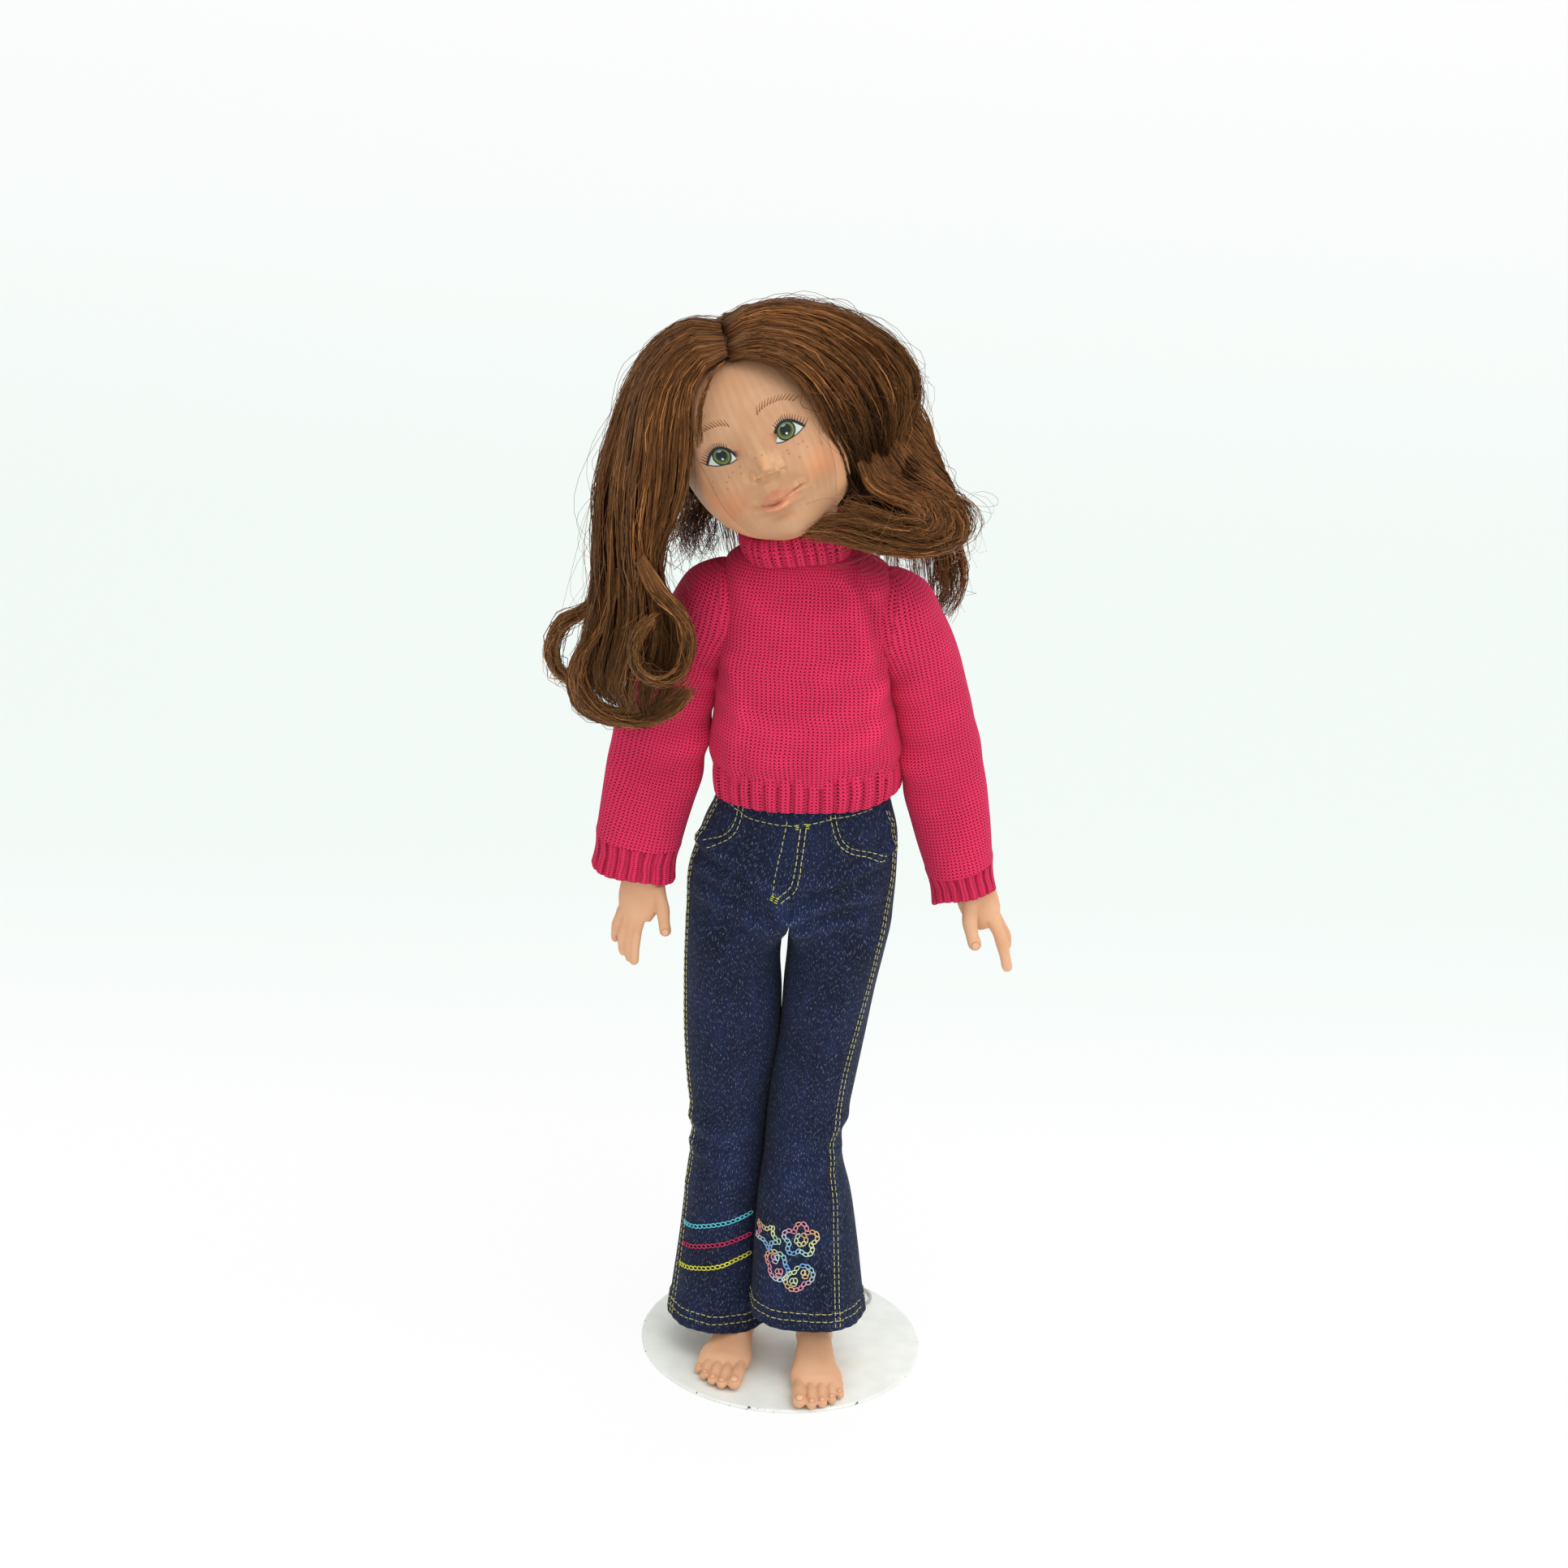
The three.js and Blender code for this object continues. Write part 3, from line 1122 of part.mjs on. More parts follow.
// The loose hair hangs in the doll's own frame: middle line, and half width and half thickness there.
const LOCKS = {
  hair_right_fall: {
    path: [[-52, 0, 434], [-58, -4, 412], [-64, -10, 386], [-68, -16, 361], [-64, -22, 338], [-61, -26, 314],
      [-62, -27, 296], [-63, -26, 284]],
    sizes: [[10, 9], [15, 11], [17, 11], [16, 10], [18, 10], [22, 11], [19, 10], [9, 6]],
  },
  hair_left_side: {
    path: [[30, 4, 424], [32, 1, 408], [33, -5, 392], [37, -12, 378], [41, -18, 367]],
    sizes: [[9, 10], [14, 12], [17, 12], [18, 11], [13, 8]],
  },
  hair_back: {
    path: [[-8, 36, 412], [-4, 41, 388], [4, 41, 364], [11, 39, 344], [16, 36, 326]],
    sizes: [[34, 7], [42, 9], [44, 9], [42, 8], [34, 5]],
  },
  hair_right_curl: {
    path: [[-74, -20, 352], [-88, -16, 338], [-96, -14, 318], [-95, -17, 300], [-86, -22, 288],
      [-72, -26, 283]],
    sizes: [[5, 5], [6, 5], [6, 5], [6, 5], [5.5, 4.5], [4, 4]],
  },
  hair_left_flip: {
    path: [[3, -31, 369], [18, -31, 365], [36, -28, 364], [52, -22, 368], [62, -16, 375], [66, -12, 384]],
    sizes: [[1.6, 1.4], [4, 3], [7, 6], [8.6, 7], [7, 5], [3, 2.4]],
  },
};

function lockSolid(name, grow, flat) {
  const sizes = LOCKS[name].sizes.map((half) => half.map((size) => size + grow));
  return solid(lock(LOCKS[name].path, sizes, flat, SLEEVE_SIDES));
}

function largest(body) {
  const parts = body.decompose();
  parts.sort((a, b) => b.volume() - a.volume());
  return geometryOf(parts[0]);
}

// A lock is cut where it lies on the crown, the head, the clothes and the locks under it.
function hangingHair(name, flat, under) {
  const crown = geometryOf(crownSolid(CLEARANCE)).applyMatrix4(headPlace);
  let body = lockSolid(name, 0, flat).subtract(solid(crown)).subtract(headInPlace(CLEARANCE));
  for (const side of [1, -1]) body = body.subtract(sleeveSolid(side, CLEARANCE, CLEARANCE));
  const shoulders = loft(pulloverRings(-CLEARANCE, 0, hemTopLevel, collarBottomLevel));
  body = body.subtract(solid(shoulders));
  for (const lower of under) body = body.subtract(lockSolid(lower, CLEARANCE, X_AXIS));
  return largest(body);
}

function stand() {
  const group = new THREE.Group();
  group.add(
    piece('base_plate', basePlate(), 'enamel'),
    piece('tube_flange', flange(), 'steel'),
    piece('upright_tube', uprightTube(), 'steel'),
    piece('foot_loop', footLoop(), 'steel'),
    piece('clip_rod', clipRod(), 'steel'),
    piece('waist_clip', waistClip(), 'steel'),
  );
  return group;
}

function trunk() {
  const group = new THREE.Group();
  group.add(
    piece('trunk_shell', trunkShell(), 'vinyl'),
    piece('arm_elastic', armElastic(), 'elastic'),
    piece('leg_elastic', legElastic(), 'elastic'),
    piece('pullover_body', pulloverBody(), 'knit'),
    piece('pullover_hem', pulloverHem(), 'knit'),
    piece('pullover_collar', collar(), 'knit'),
    piece('jeans_seat', jeansSeat(), 'denim'),
    piece('jeans_waistband', waistband(), 'denim'),
  );
  return group;
}

function limbs(side, word) {
  const group = new THREE.Group();
  const hipX = side * HIP_SPREAD;
  const bar = rodAlongX(
    hipX - HIP_BAR_HALF_LENGTH, hipX + HIP_BAR_HALF_LENGTH, 0, hipLevel, HIP_BAR_RADIUS, 10,
  );
  group.add(
    piece(`arm_${word}`, arm(side), 'vinyl'),
    piece(`sleeve_${word}`, sleeve(side), 'knit'),
    piece(`cuff_${word}`, cuff(side), 'knit'),
    piece(`leg_${word}`, leg(side), 'vinyl'),
    piece(`hip_bar_${word}`, closed(bar), 'steel'),
    piece(`jeans_leg_${word}`, jeansLeg(side), 'denim'),
  );
  return group;
}

function head() {
  const joint = new THREE.Group();
  joint.position.z = headJointLevel;
  joint.rotation.y = THREE.MathUtils.degToRad(HEAD_LEAN_DEG);
  joint.add(piece('neck_hook', neckHook(), 'steel'), piece('neck_button', neckButton(), 'vinyl'));
  const skull = new THREE.Group();
  skull.rotation.z = THREE.MathUtils.degToRad(HEAD_TURN_DEG);
  skull.add(
    piece('head_shell', headShell(), 'vinyl'),
    piece('wig_cap', wigCap(), 'net'),
    piece('hair_crown', hairCrown(), 'hair'),
  );
  joint.add(skull);
  return joint;
}

function looseHair() {
  const group = new THREE.Group();
  for (const name of ['hair_right_fall', 'hair_left_side', 'hair_back']) {
    group.add(piece(name, hangingHair(name, X_AXIS, []), 'hair'));
  }
  group.add(
    piece('hair_right_curl', hangingHair('hair_right_curl', Y_AXIS, ['hair_right_fall']), 'hair'),
    piece('hair_left_flip', hangingHair('hair_left_flip', Z_AXIS, ['hair_left_side']), 'hair'),
  );
  return group;
}

const doll = new THREE.Group();
doll.add(stand(), trunk(), limbs(1, 'left'), limbs(-1, 'right'), head(), looseHair());

export default doll;
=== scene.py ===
# %% [markdown]
# # Dressing a jointed play doll
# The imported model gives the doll's real pieces, where they sit and what each one rides on.
# This lesson gives them their looks: vinyl skin, a knitted pullover, embroidered jeans and a long wig.
# Each new piece is a formula on a grid of numbers, so its shape can be read from its function.

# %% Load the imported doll
import json

import bpy
import numpy as np
from mathutils import Matrix, Vector
from numpy import cos, pi, sin


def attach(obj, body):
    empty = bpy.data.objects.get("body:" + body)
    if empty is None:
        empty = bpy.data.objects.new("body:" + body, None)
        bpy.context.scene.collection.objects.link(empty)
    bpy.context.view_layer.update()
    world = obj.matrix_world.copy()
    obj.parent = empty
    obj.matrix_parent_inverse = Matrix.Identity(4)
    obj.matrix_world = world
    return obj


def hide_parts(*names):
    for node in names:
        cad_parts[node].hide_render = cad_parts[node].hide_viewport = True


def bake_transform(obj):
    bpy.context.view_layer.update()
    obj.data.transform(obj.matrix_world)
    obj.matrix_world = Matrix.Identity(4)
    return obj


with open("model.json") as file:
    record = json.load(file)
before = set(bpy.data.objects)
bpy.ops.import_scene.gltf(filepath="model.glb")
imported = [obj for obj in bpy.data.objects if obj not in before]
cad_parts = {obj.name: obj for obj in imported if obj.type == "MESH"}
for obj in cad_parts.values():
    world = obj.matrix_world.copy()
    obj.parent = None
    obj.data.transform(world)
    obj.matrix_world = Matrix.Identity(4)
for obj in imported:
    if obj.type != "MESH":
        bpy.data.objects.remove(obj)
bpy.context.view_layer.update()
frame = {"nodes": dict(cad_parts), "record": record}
MM = 0.001
LEFT, RIGHT = 1, -1
WORD = {LEFT: "left", RIGHT: "right"}
chance = np.random.default_rng(7)

# %% [markdown]
# ## Curves and skins
# Almost every piece below is a skin: rows of points that run along the piece, with columns round it.
# Two tools do most of the work. `flow` draws a smooth curve through a few chosen values,
# and `skin` turns a grid of points into faces, closes its ends if asked and turns its faces outwards.

# %% Curves through chosen values
def flow(knots, values, at):
    """Smooth curve through values at knots: cubic pieces whose slope at a knot follows its neighbours."""
    knots, values, at = (np.asarray(numbers, float) for numbers in (knots, values, at))
    slopes = np.gradient(values, knots, axis=0)
    i = np.clip(np.searchsorted(knots, at, side="right") - 1, 0, len(knots) - 2)
    step = knots[i + 1] - knots[i]
    t = np.clip((at - knots[i]) / step, 0, 1)
    if values.ndim > 1:
        step, t = step[..., None], t[..., None]
    start = (2 * t**3 - 3 * t**2 + 1) * values[i] + (t**3 - 2 * t**2 + t) * step * slopes[i]
    return start + (3 * t**2 - 2 * t**3) * values[i + 1] + (t**3 - t**2) * step * slopes[i + 1]


def table_at(table, at):
    """The other columns of a table, each a smooth curve over its first column, read at places in that."""
    table = np.asarray(table, float)
    return [flow(table[:, 0], column, at) for column in table.T[1:]]


def eased(low, high, at):
    """0 below low, 1 above high, and the eased step 3t^2 - 2t^3 between them."""
    t = np.clip((np.asarray(at, float) - low) / (high - low), 0, 1)
    return t * t * (3 - 2 * t)


def boxed(wave, boxiness):
    """A sine or cosine raised to 2 / boxiness with its sign kept: 2 gives an ellipse, more squares it."""
    return np.sign(wave) * np.abs(wave) ** (2 / boxiness)


def bump(x, z, middle, spread):
    """A round hill of height 1 at middle, falling as exp(-distance^2), with the distance in spreads."""
    return np.exp(-(((x - middle[0]) / spread[0]) ** 2) - ((z - middle[1]) / spread[1]) ** 2)


def hill(at, middle, spread):
    """1 at the middle, falling as exp(-distance^2), with the distance in spreads."""
    return np.exp(-(((at - middle) / spread) ** 2))


def unit(vectors):
    """Vectors divided by their lengths."""
    return vectors / np.maximum(np.linalg.norm(vectors, axis=-1, keepdims=True), 1e-9)


def full_turn(count):
    """Angles that cut a full turn into equal parts, without its end."""
    return np.linspace(0, 2 * pi, count, endpoint=False)


def signed(angle):
    """The same angle between minus and plus half a turn."""
    return (angle + pi) % (2 * pi) - pi


def travelled(line):
    """How far each point of a line is from its start, measured along the line."""
    return np.concatenate([[0], np.cumsum(np.linalg.norm(np.diff(line, axis=0), axis=1))])


def read_along(at, run, rows):
    """Every column of rows, known at the distances run, read at other distances."""
    return np.stack([np.interp(at, run, column) for column in rows.T], -1)


def shaded(level):
    """A grey tint for each point from its level, fully counted."""
    tint = np.ones((*level.shape, 4))
    tint[..., :3] = level[..., None]
    return tint


# %% Skins from grids
def mesh_parts(points, quads, quad_uv, tris, tri_uv, tint, flip=False):
    """The arrays of one mesh, with all its faces turned over if flip is set."""
    if flip:
        quads, quad_uv = quads[:, ::-1], quad_uv[:, ::-1]
        tris, tri_uv = tris[:, ::-1], tri_uv[:, ::-1]
    faces = {"quads": quads, "quad_uv": quad_uv, "tris": tris, "tri_uv": tri_uv}
    return {"points": points, "tint": tint, **faces}


def inward(points, quads, inside):
    """Whether faces look towards the points inside them, by the sum over all faces."""
    corner = points[quads]
    normal = np.cross(corner[:, 2] - corner[:, 0], corner[:, 3] - corner[:, 1])
    return np.sum(normal * (corner.mean(axis=1) - inside)) < 0


def skin(points, around=True, caps=(False, False), uv=None, tint=None, keep=None, flip=None):
    """Faces over a grid of points (rows, columns, 3).

    around joins the last column to the first, caps closes the first and last row with a fan to its
    middle, uv is in millimetres with one more column where the skin goes around, tint is a colour for
    each point, and keep says which of the grid's faces stay. Faces turn away from the middle of their row
    unless flip is set.
    """
    rows, columns = points.shape[:2]
    across = columns if around else columns - 1
    r, c = np.meshgrid(np.arange(rows - 1), np.arange(across), indexing="ij")
    this, following = r * columns + c, r * columns + (c + 1) % columns
    quads = np.stack([this, following, following + columns, this + columns], -1)
    if uv is None:
        u = np.linspace(0, 1, across + 1)[None, :].repeat(rows, 0)
        uv = np.stack([u, np.linspace(0, 1, rows)[:, None].repeat(across + 1, 1)], -1)
    quad_uv = np.stack([uv[r, c], uv[r, c + 1], uv[r + 1, c + 1], uv[r + 1, c]], -2)
    if keep is not None:
        quads, quad_uv = quads[keep], quad_uv[keep]
    quads, quad_uv = quads.reshape(-1, 4), quad_uv.reshape(-1, 4, 2)
    flat = points.reshape(-1, 3)
    colours = np.ones((len(flat), 4)) if tint is None else tint.reshape(-1, 4)
    if flip is None:
        flip = inward(flat, quads, points.mean(axis=1)[quads[:, 0] // columns])
    tris, tri_uv = np.zeros((0, 3), int), np.zeros((0, 3, 2))
    for row, wanted in zip((0, rows - 1), caps):
        if not wanted:
            continue
        ring = row * columns + np.arange(columns)
        fan = np.stack([ring, np.roll(ring, -1), np.full(columns, len(flat))], -1)
        fan = fan[:, ::-1] if row == 0 else fan
        flat = np.vstack([flat, flat[ring].mean(axis=0)])
        colours = np.vstack([colours, colours[ring].mean(axis=0)])
        tris = np.vstack([tris, fan])
        tri_uv = np.vstack([tri_uv, np.tile(uv[row, 0], (columns, 3, 1))])
    return mesh_parts(flat, quads, quad_uv, tris, tri_uv, colours, flip)


def piece(name, skins, material):
    """One mesh object from skins in millimetres, with its UV map, tint attribute and material."""
    offsets = np.cumsum([0] + [len(s["points"]) for s in skins[:-1]])
    quads = np.concatenate([s["quads"] + o for s, o in zip(skins, offsets)])
    tris = np.concatenate([s["tris"] + o for s, o in zip(skins, offsets)])
    mesh = bpy.data.meshes.new(name)
    points = np.concatenate([s["points"] for s in skins]) * MM
    mesh.vertices.add(len(points))
    mesh.vertices.foreach_set("co", points.astype(np.float32).ravel())
    mesh.loops.add(4 * len(quads) + 3 * len(tris))
    corners = np.concatenate([quads.ravel(), tris.ravel()])
    mesh.loops.foreach_set("vertex_index", corners.astype(np.int32))
    mesh.polygons.add(len(quads) + len(tris))
    starts = np.concatenate([4 * np.arange(len(quads)), 4 * len(quads) + 3 * np.arange(len(tris))])
    mesh.polygons.foreach_set("loop_start", starts.astype(np.int32))
    mesh.polygons.foreach_set("use_smooth", np.ones(len(starts), bool))
    uv = np.concatenate([s[kind].reshape(-1, 2) for kind in ("quad_uv", "tri_uv") for s in skins])
    mesh.uv_layers.new(name="cut").data.foreach_set("uv", uv.astype(np.float32).ravel())
    tint = np.concatenate([s["tint"] for s in skins])
    held = mesh.attributes.new("tint", "FLOAT_COLOR", "POINT")
    held.data.foreach_set("color", tint.astype(np.float32).ravel())
    mesh.update(calc_edges=True)
    mesh.validate()
    mesh.materials.append(material)
    made = bpy.data.objects.new(name, mesh)
    bpy.context.scene.collection.objects.link(made)
    print(f"{name}: {2 * len(quads) + len(tris)} triangles")
    return made


def tube(path, radius, sides, flat=None, tint=None):
    """A closed tube: circles of the given radii carried along a path. flat, if given, is the second
    radius of an ellipse.

    The section's first axis is kept square to the path and as near to +X as it can be.
    """
    tangent = unit(np.gradient(path, axis=0))
    side = np.array([1.0, 0.0, 0.0]) - tangent * tangent[:, :1]
    side = unit(np.where(np.linalg.norm(side, axis=1, keepdims=True) < 0.2, [[0.0, 1.0, 0.0]], side))
    third = np.cross(tangent, side)
    angle = full_turn(sides)
    deep = radius if flat is None else flat
    ring = side[:, None] * cos(angle)[None, :, None] * radius[:, None, None]
    ring = ring + third[:, None] * sin(angle)[None, :, None] * deep[:, None, None]
    colours = None if tint is None else np.broadcast_to(tint, (len(path), sides, 4))
    return skin(path[:, None] + ring, caps=(True, True), tint=colours)


# %% [markdown]
# ## Colours and shader nodes
# Colours are written as the sRGB hex values that a paint program shows. Shaders work in linear light, so one
# function converts them. One more function adds a node with its settings and links, which keeps every
# material below a short list of what it is made of.

# %% Colour and node helpers
def hex_colour(text):
    """sRGB hex to linear RGBA: c / 12.92 below 0.04045, else ((c + 0.055) / 1.055) ** 2.4."""
    c = np.array([int(text[i : i + 2], 16) for i in (1, 3, 5)]) / 255
    linear = np.where(c <= 0.04045, c / 12.92, ((c + 0.055) / 1.055) ** 2.4)
    return (*linear.tolist(), 1.0)


def wire(tree, node, inputs):
    """Gives a node its inputs: each socket takes a value, or a link from another node's output."""
    for key, value in dict(inputs).items():
        if isinstance(value, bpy.types.NodeSocket):
            tree.links.new(value, node.inputs[key])
        else:
            node.inputs[key].default_value = value


def add(tree, kind, inputs=(), **settings):
    """Adds one node. settings are its properties, inputs maps a socket to a value or to another output."""
    made = tree.nodes.new(kind)
    for key, value in settings.items():
        setattr(made, key, value)
    wire(tree, made, inputs)
    return made


def finish(name):
    """A new material with an empty tree, its surface shader and that shader's tree."""
    material = bpy.data.materials.new(name)
    material.use_nodes = True
    tree = material.node_tree
    tree.nodes.clear()
    shader = add(tree, "ShaderNodeBsdfPrincipled")
    add(tree, "ShaderNodeOutputMaterial", {"Surface": shader.outputs[0]})
    return material, tree, shader


# %% [markdown]
# The words below each add one node and give back its output, so that a material reads like a recipe.

# %% Words for nodes
def cloth_place(tree):
    """Place on the cloth, in millimetres, from the mesh's UV map."""
    return add(tree, "ShaderNodeUVMap", uv_map="cut").outputs[0]


def solid_place(tree):
    """Place in the piece itself, in metres."""
    return add(tree, "ShaderNodeTexCoord").outputs["Object"]


def mapped(tree, place, scale, turn=(0, 0, 0)):
    """A place that is scaled and then turned."""
    return add(tree, "ShaderNodeMapping", {0: place, "Rotation": turn, "Scale": scale}).outputs[0]


def noise(tree, place, scale, detail, rough=0.5):
    """Clouds of about 0 to 1, each 1 / scale across."""
    inputs = {0: place, "Scale": scale, "Detail": detail, "Roughness": rough}
    return add(tree, "ShaderNodeTexNoise", inputs).outputs[0]


def parts(tree, vector):
    """The X, Y and Z of a vector."""
    return add(tree, "ShaderNodeSeparateXYZ", {0: vector}).outputs


def sums(tree, operation, *values):
    """One arithmetic step on numbers."""
    return add(tree, "ShaderNodeMath", enumerate(values), operation=operation).outputs[0]


def ranged(tree, value, low, high, start=0.0, stop=1.0, curve="LINEAR"):
    """A value from low to high, moved to start to stop and held there outside."""
    inputs = {0: value, 1: low, 2: high, 3: start, 4: stop}
    return add(tree, "ShaderNodeMapRange", inputs, interpolation_type=curve).outputs[0]


def mixed(tree, share, first, second, blend="MIX"):
    """Two colours, in hex or from other nodes, mixed by a share."""
    first, second = (hex_colour(c) if isinstance(c, str) else c for c in (first, second))
    inputs = {0: share, 6: first, 7: second}
    return add(tree, "ShaderNodeMix", inputs, data_type="RGBA", blend_type=blend).outputs[2]


def tinted(tree, colour, blend="MULTIPLY"):
    """A colour under the mesh's own tint, whose fourth number says how much of the tint counts."""
    own = add(tree, "ShaderNodeVertexColor", layer_name="tint")
    return mixed(tree, own.outputs[1], colour, own.outputs[0], blend)


def lifted(tree, strength, distance, height):
    """The direction of a surface that stands out by a height, over a distance in millimetres."""
    inputs = {"Strength": strength, "Distance": distance * MM, "Height": height}
    return add(tree, "ShaderNodeBump", inputs).outputs[0]


# %% [markdown]
# ## Denim, piece dyed and rinsed once
# Denim is a twill: indigo warp threads cross white weft threads on a slant, and single white threads show
# through as flecks. The legs are dark and nearly unworn, so the flecks and a soft slubby streak are all the
# eye gets, with a dull, fully rough surface.

# %% Denim
def denim():
    """Indigo that varies with slubs and patches, with white flecks and raised slanted twill lines."""
    material, tree, shader = finish("indigo_twill_denim_rinsed")
    cut = cloth_place(tree)
    # Flecks are 0.4 mm wide and 1.7 mm long, turned to the twill's slant.
    fleck = noise(tree, mapped(tree, cut, (1 / 0.4, 1 / 1.7, 1), (0, 0, 0.25)), 1.0, 1.5, 0.6)
    fleck = ranged(tree, fleck, 0.59, 0.77)
    # Slubs are thicker stretches of warp thread, 0.9 mm wide and 18 mm long.
    slub = noise(tree, mapped(tree, cut, (1 / 0.9, 1 / 18, 1)), 1.0, 2.0)
    # Worn and dark patches are 22 mm wide and 30 mm long.
    patch = noise(tree, mapped(tree, cut, (1 / 22, 1 / 30, 1)), 1.0, 2.0)
    depth = ranged(tree, sums(tree, "ADD", slub, patch), 0.75, 1.25)
    indigo = mixed(tree, depth, "#0b1228", "#172446")
    # Twill lines are 0.8 mm apart here, coarser than the cloth's own so that they show.
    twill = parts(tree, mapped(tree, cut, (1 / 0.8, 1, 1), (0, 0, 0.9)))[0]
    line = sums(tree, "SINE", sums(tree, "MULTIPLY", twill, 2 * pi))
    wire(tree, shader, {
        "Base Color": tinted(tree, mixed(tree, fleck, indigo, "#7f8ba2")),
        "Normal": lifted(tree, 0.35, 0.12, sums(tree, "ADD", line, fleck)),
        "Roughness": 0.88,
        "Sheen Weight": 0.03,
        "Specular IOR Level": 0.25,
    })
    return material


DENIM = denim()
print("made", DENIM.name)

# %% [markdown]
# ## Knitted acrylic yarn, stocking stitch
# Stocking stitch shows columns of small V shapes. Each V is two legs of yarn that lean towards the middle of
# its column, so the height is a row wave whose phase slides with the distance from the column's middle. Fine
# loose fibres catch the light at the edges, which the shader's sheen gives.

# %% Knit
# Width of a stitch column and height of a stitch row, in millimetres.
WALE = 1.7
COURSE = 1.3


def knit(name, deep, bright):
    """Columns of V stitches: a wave in each row that leans with the distance from its column's middle."""
    material, tree, shader = finish(name)
    cut = cloth_place(tree)
    # Hand tension wanders: stitches move by up to about 1 mm over 9 mm.
    wander = add(tree, "ShaderNodeTexNoise", {0: cut, "Scale": 1 / 9, "Detail": 1.0}).outputs[1]
    moved = add(tree, "ShaderNodeVectorMath", {0: wander, 1: (1.2, 1.2, 0)}, operation="MULTIPLY").outputs[0]
    place = parts(tree, add(tree, "ShaderNodeVectorMath", {0: cut, 1: moved}, operation="ADD").outputs[0])
    offset = sums(tree, "PINGPONG", sums(tree, "MULTIPLY", place[0], 1 / WALE), 0.5)
    lean = sums(tree, "MULTIPLY", offset, 1.25)
    row = sums(tree, "MULTIPLY_ADD", place[1], 1 / COURSE, lean)
    wave = sums(tree, "COSINE", sums(tree, "MULTIPLY", row, 2 * pi))
    ridge = ranged(tree, wave, -1.0, 0.7, 0.5, 1.0)
    leg = ranged(tree, offset, 0.0, 0.3, curve="SMOOTHSTEP")
    # The gap between two columns is darkest once in each row, which reads as a line of dots.
    dot = ranged(tree, wave, 0.6, -1.0, 0.1, 1.0)
    gap = sums(tree, "MULTIPLY", sums(tree, "SUBTRACT", 1.0, leg), dot)
    height = sums(tree, "SUBTRACT", ridge, gap)
    # Dye is uneven over about 14 mm, and single fibres are 0.35 mm.
    blotch, fibre = noise(tree, cut, 1 / 14, 3.0), noise(tree, cut, 1 / 0.35, 2.0)
    # Colour follows the stitch height: raised legs are painted lighter and the gaps between columns darker,
    # as painted highlight and shade, over the yarn's own uneven dye and single fibres.
    light = sums(tree, "MULTIPLY_ADD", height, 1.3, fibre)
    light = ranged(tree, sums(tree, "MULTIPLY_ADD", blotch, 0.45, light), 0.7, 1.8)
    wire(tree, shader, {
        "Base Color": tinted(tree, mixed(tree, light, deep, bright)),
        "Normal": lifted(tree, 0.6, 0.3, height),
        "Roughness": 0.95,
        "Specular IOR Level": 0.15,
        "Sheen Weight": 0.22,
        "Sheen Roughness": 0.5,
        "Sheen Tint": hex_colour("#ff7aa8"),
    })
    return material


KNIT = knit("raspberry_acrylic_stocking_stitch", "#620420", "#e6355f")
print("made", KNIT.name)

# %% [markdown]
# ## Rotocast vinyl, matt
# The skin is soft vinyl cast in a hot turning mould and then matted. Light goes a little way in, which takes
# the hardness off shadows, and the gloss is low and slightly uneven. Paint on the face is in the mesh's
# colours, so the same recipe serves for the face, the hands and the feet.

# %% Vinyl
def vinyl(name, light, warm):
    """Matt vinyl between two skin colours, under the mesh's paint, with light that goes 2 mm in."""
    material, tree, shader = finish(name)
    place = solid_place(tree)
    # Slight uneven colour over about 12 mm, and a matting grain of 0.4 mm.
    cloud = noise(tree, place, 1 / (12 * MM), 2.0)
    grain = noise(tree, place, 1 / (0.4 * MM), 1.0)
    bare = mixed(tree, ranged(tree, cloud, 0.3, 0.7), light, warm)
    wire(tree, shader, {
        "Base Color": tinted(tree, bare, "MIX"),
        "Roughness": ranged(tree, cloud, 0.3, 0.7, 0.46, 0.56),
        "Normal": lifted(tree, 0.06, 0.1, grain),
        "Specular IOR Level": 0.35,
        "Subsurface Weight": 0.2,
        "Subsurface Radius": (1.0, 0.4, 0.25),
        "Subsurface Scale": 2.0 * MM,
    })
    return material


# The face's vinyl is mixed darker than the limbs', as painted shade where the hair shades the head.
SHADED_FACE_VINYL = vinyl("rotocast_vinyl_matt_face_painted_shade", "#dba67b", "#d29a70")
LIMB_VINYL = vinyl("rotocast_vinyl_matt_limbs", "#e6b48e", "#dda881")
print("made", SHADED_FACE_VINYL.name, "and", LIMB_VINYL.name)

# %% [markdown]
# ## Metal, enamel and the small stuff
# The base plate is sheet steel under off-white stoving enamel, chipped to dark steel along its rim. Tube,
# rod, clip and hooks are drawn steel wire with fine marks along their length. Elastic is a white braid, the
# wig cap a brown net and the sewing thread a bright spun polyester.

# %% Hard and small finishes
def enamel():
    """Off-white paint with faint smudges, and dark chips where the mesh's tint marks the rim."""
    material, tree, shader = finish("stoving_enamel_on_sheet_steel")
    place = solid_place(tree)
    # Smudges are about 9 mm across and chips 2.6 mm.
    smudge = noise(tree, place, 1 / (9 * MM), 4.0)
    chip = noise(tree, place, 1 / (2.6 * MM), 3.0)
    rim = add(tree, "ShaderNodeVertexColor", layer_name="tint").outputs[0]
    bite = ranged(tree, sums(tree, "MULTIPLY", chip, rim), 0.66, 0.69)
    paint = mixed(tree, ranged(tree, smudge, 0.35, 0.75), "#f5f8f1", "#ebefe8")
    wire(tree, shader, {
        "Base Color": mixed(tree, bite, paint, "#2c2a28"),
        "Roughness": ranged(tree, smudge, 0.3, 0.7, 0.28, 0.42),
    })
    return material


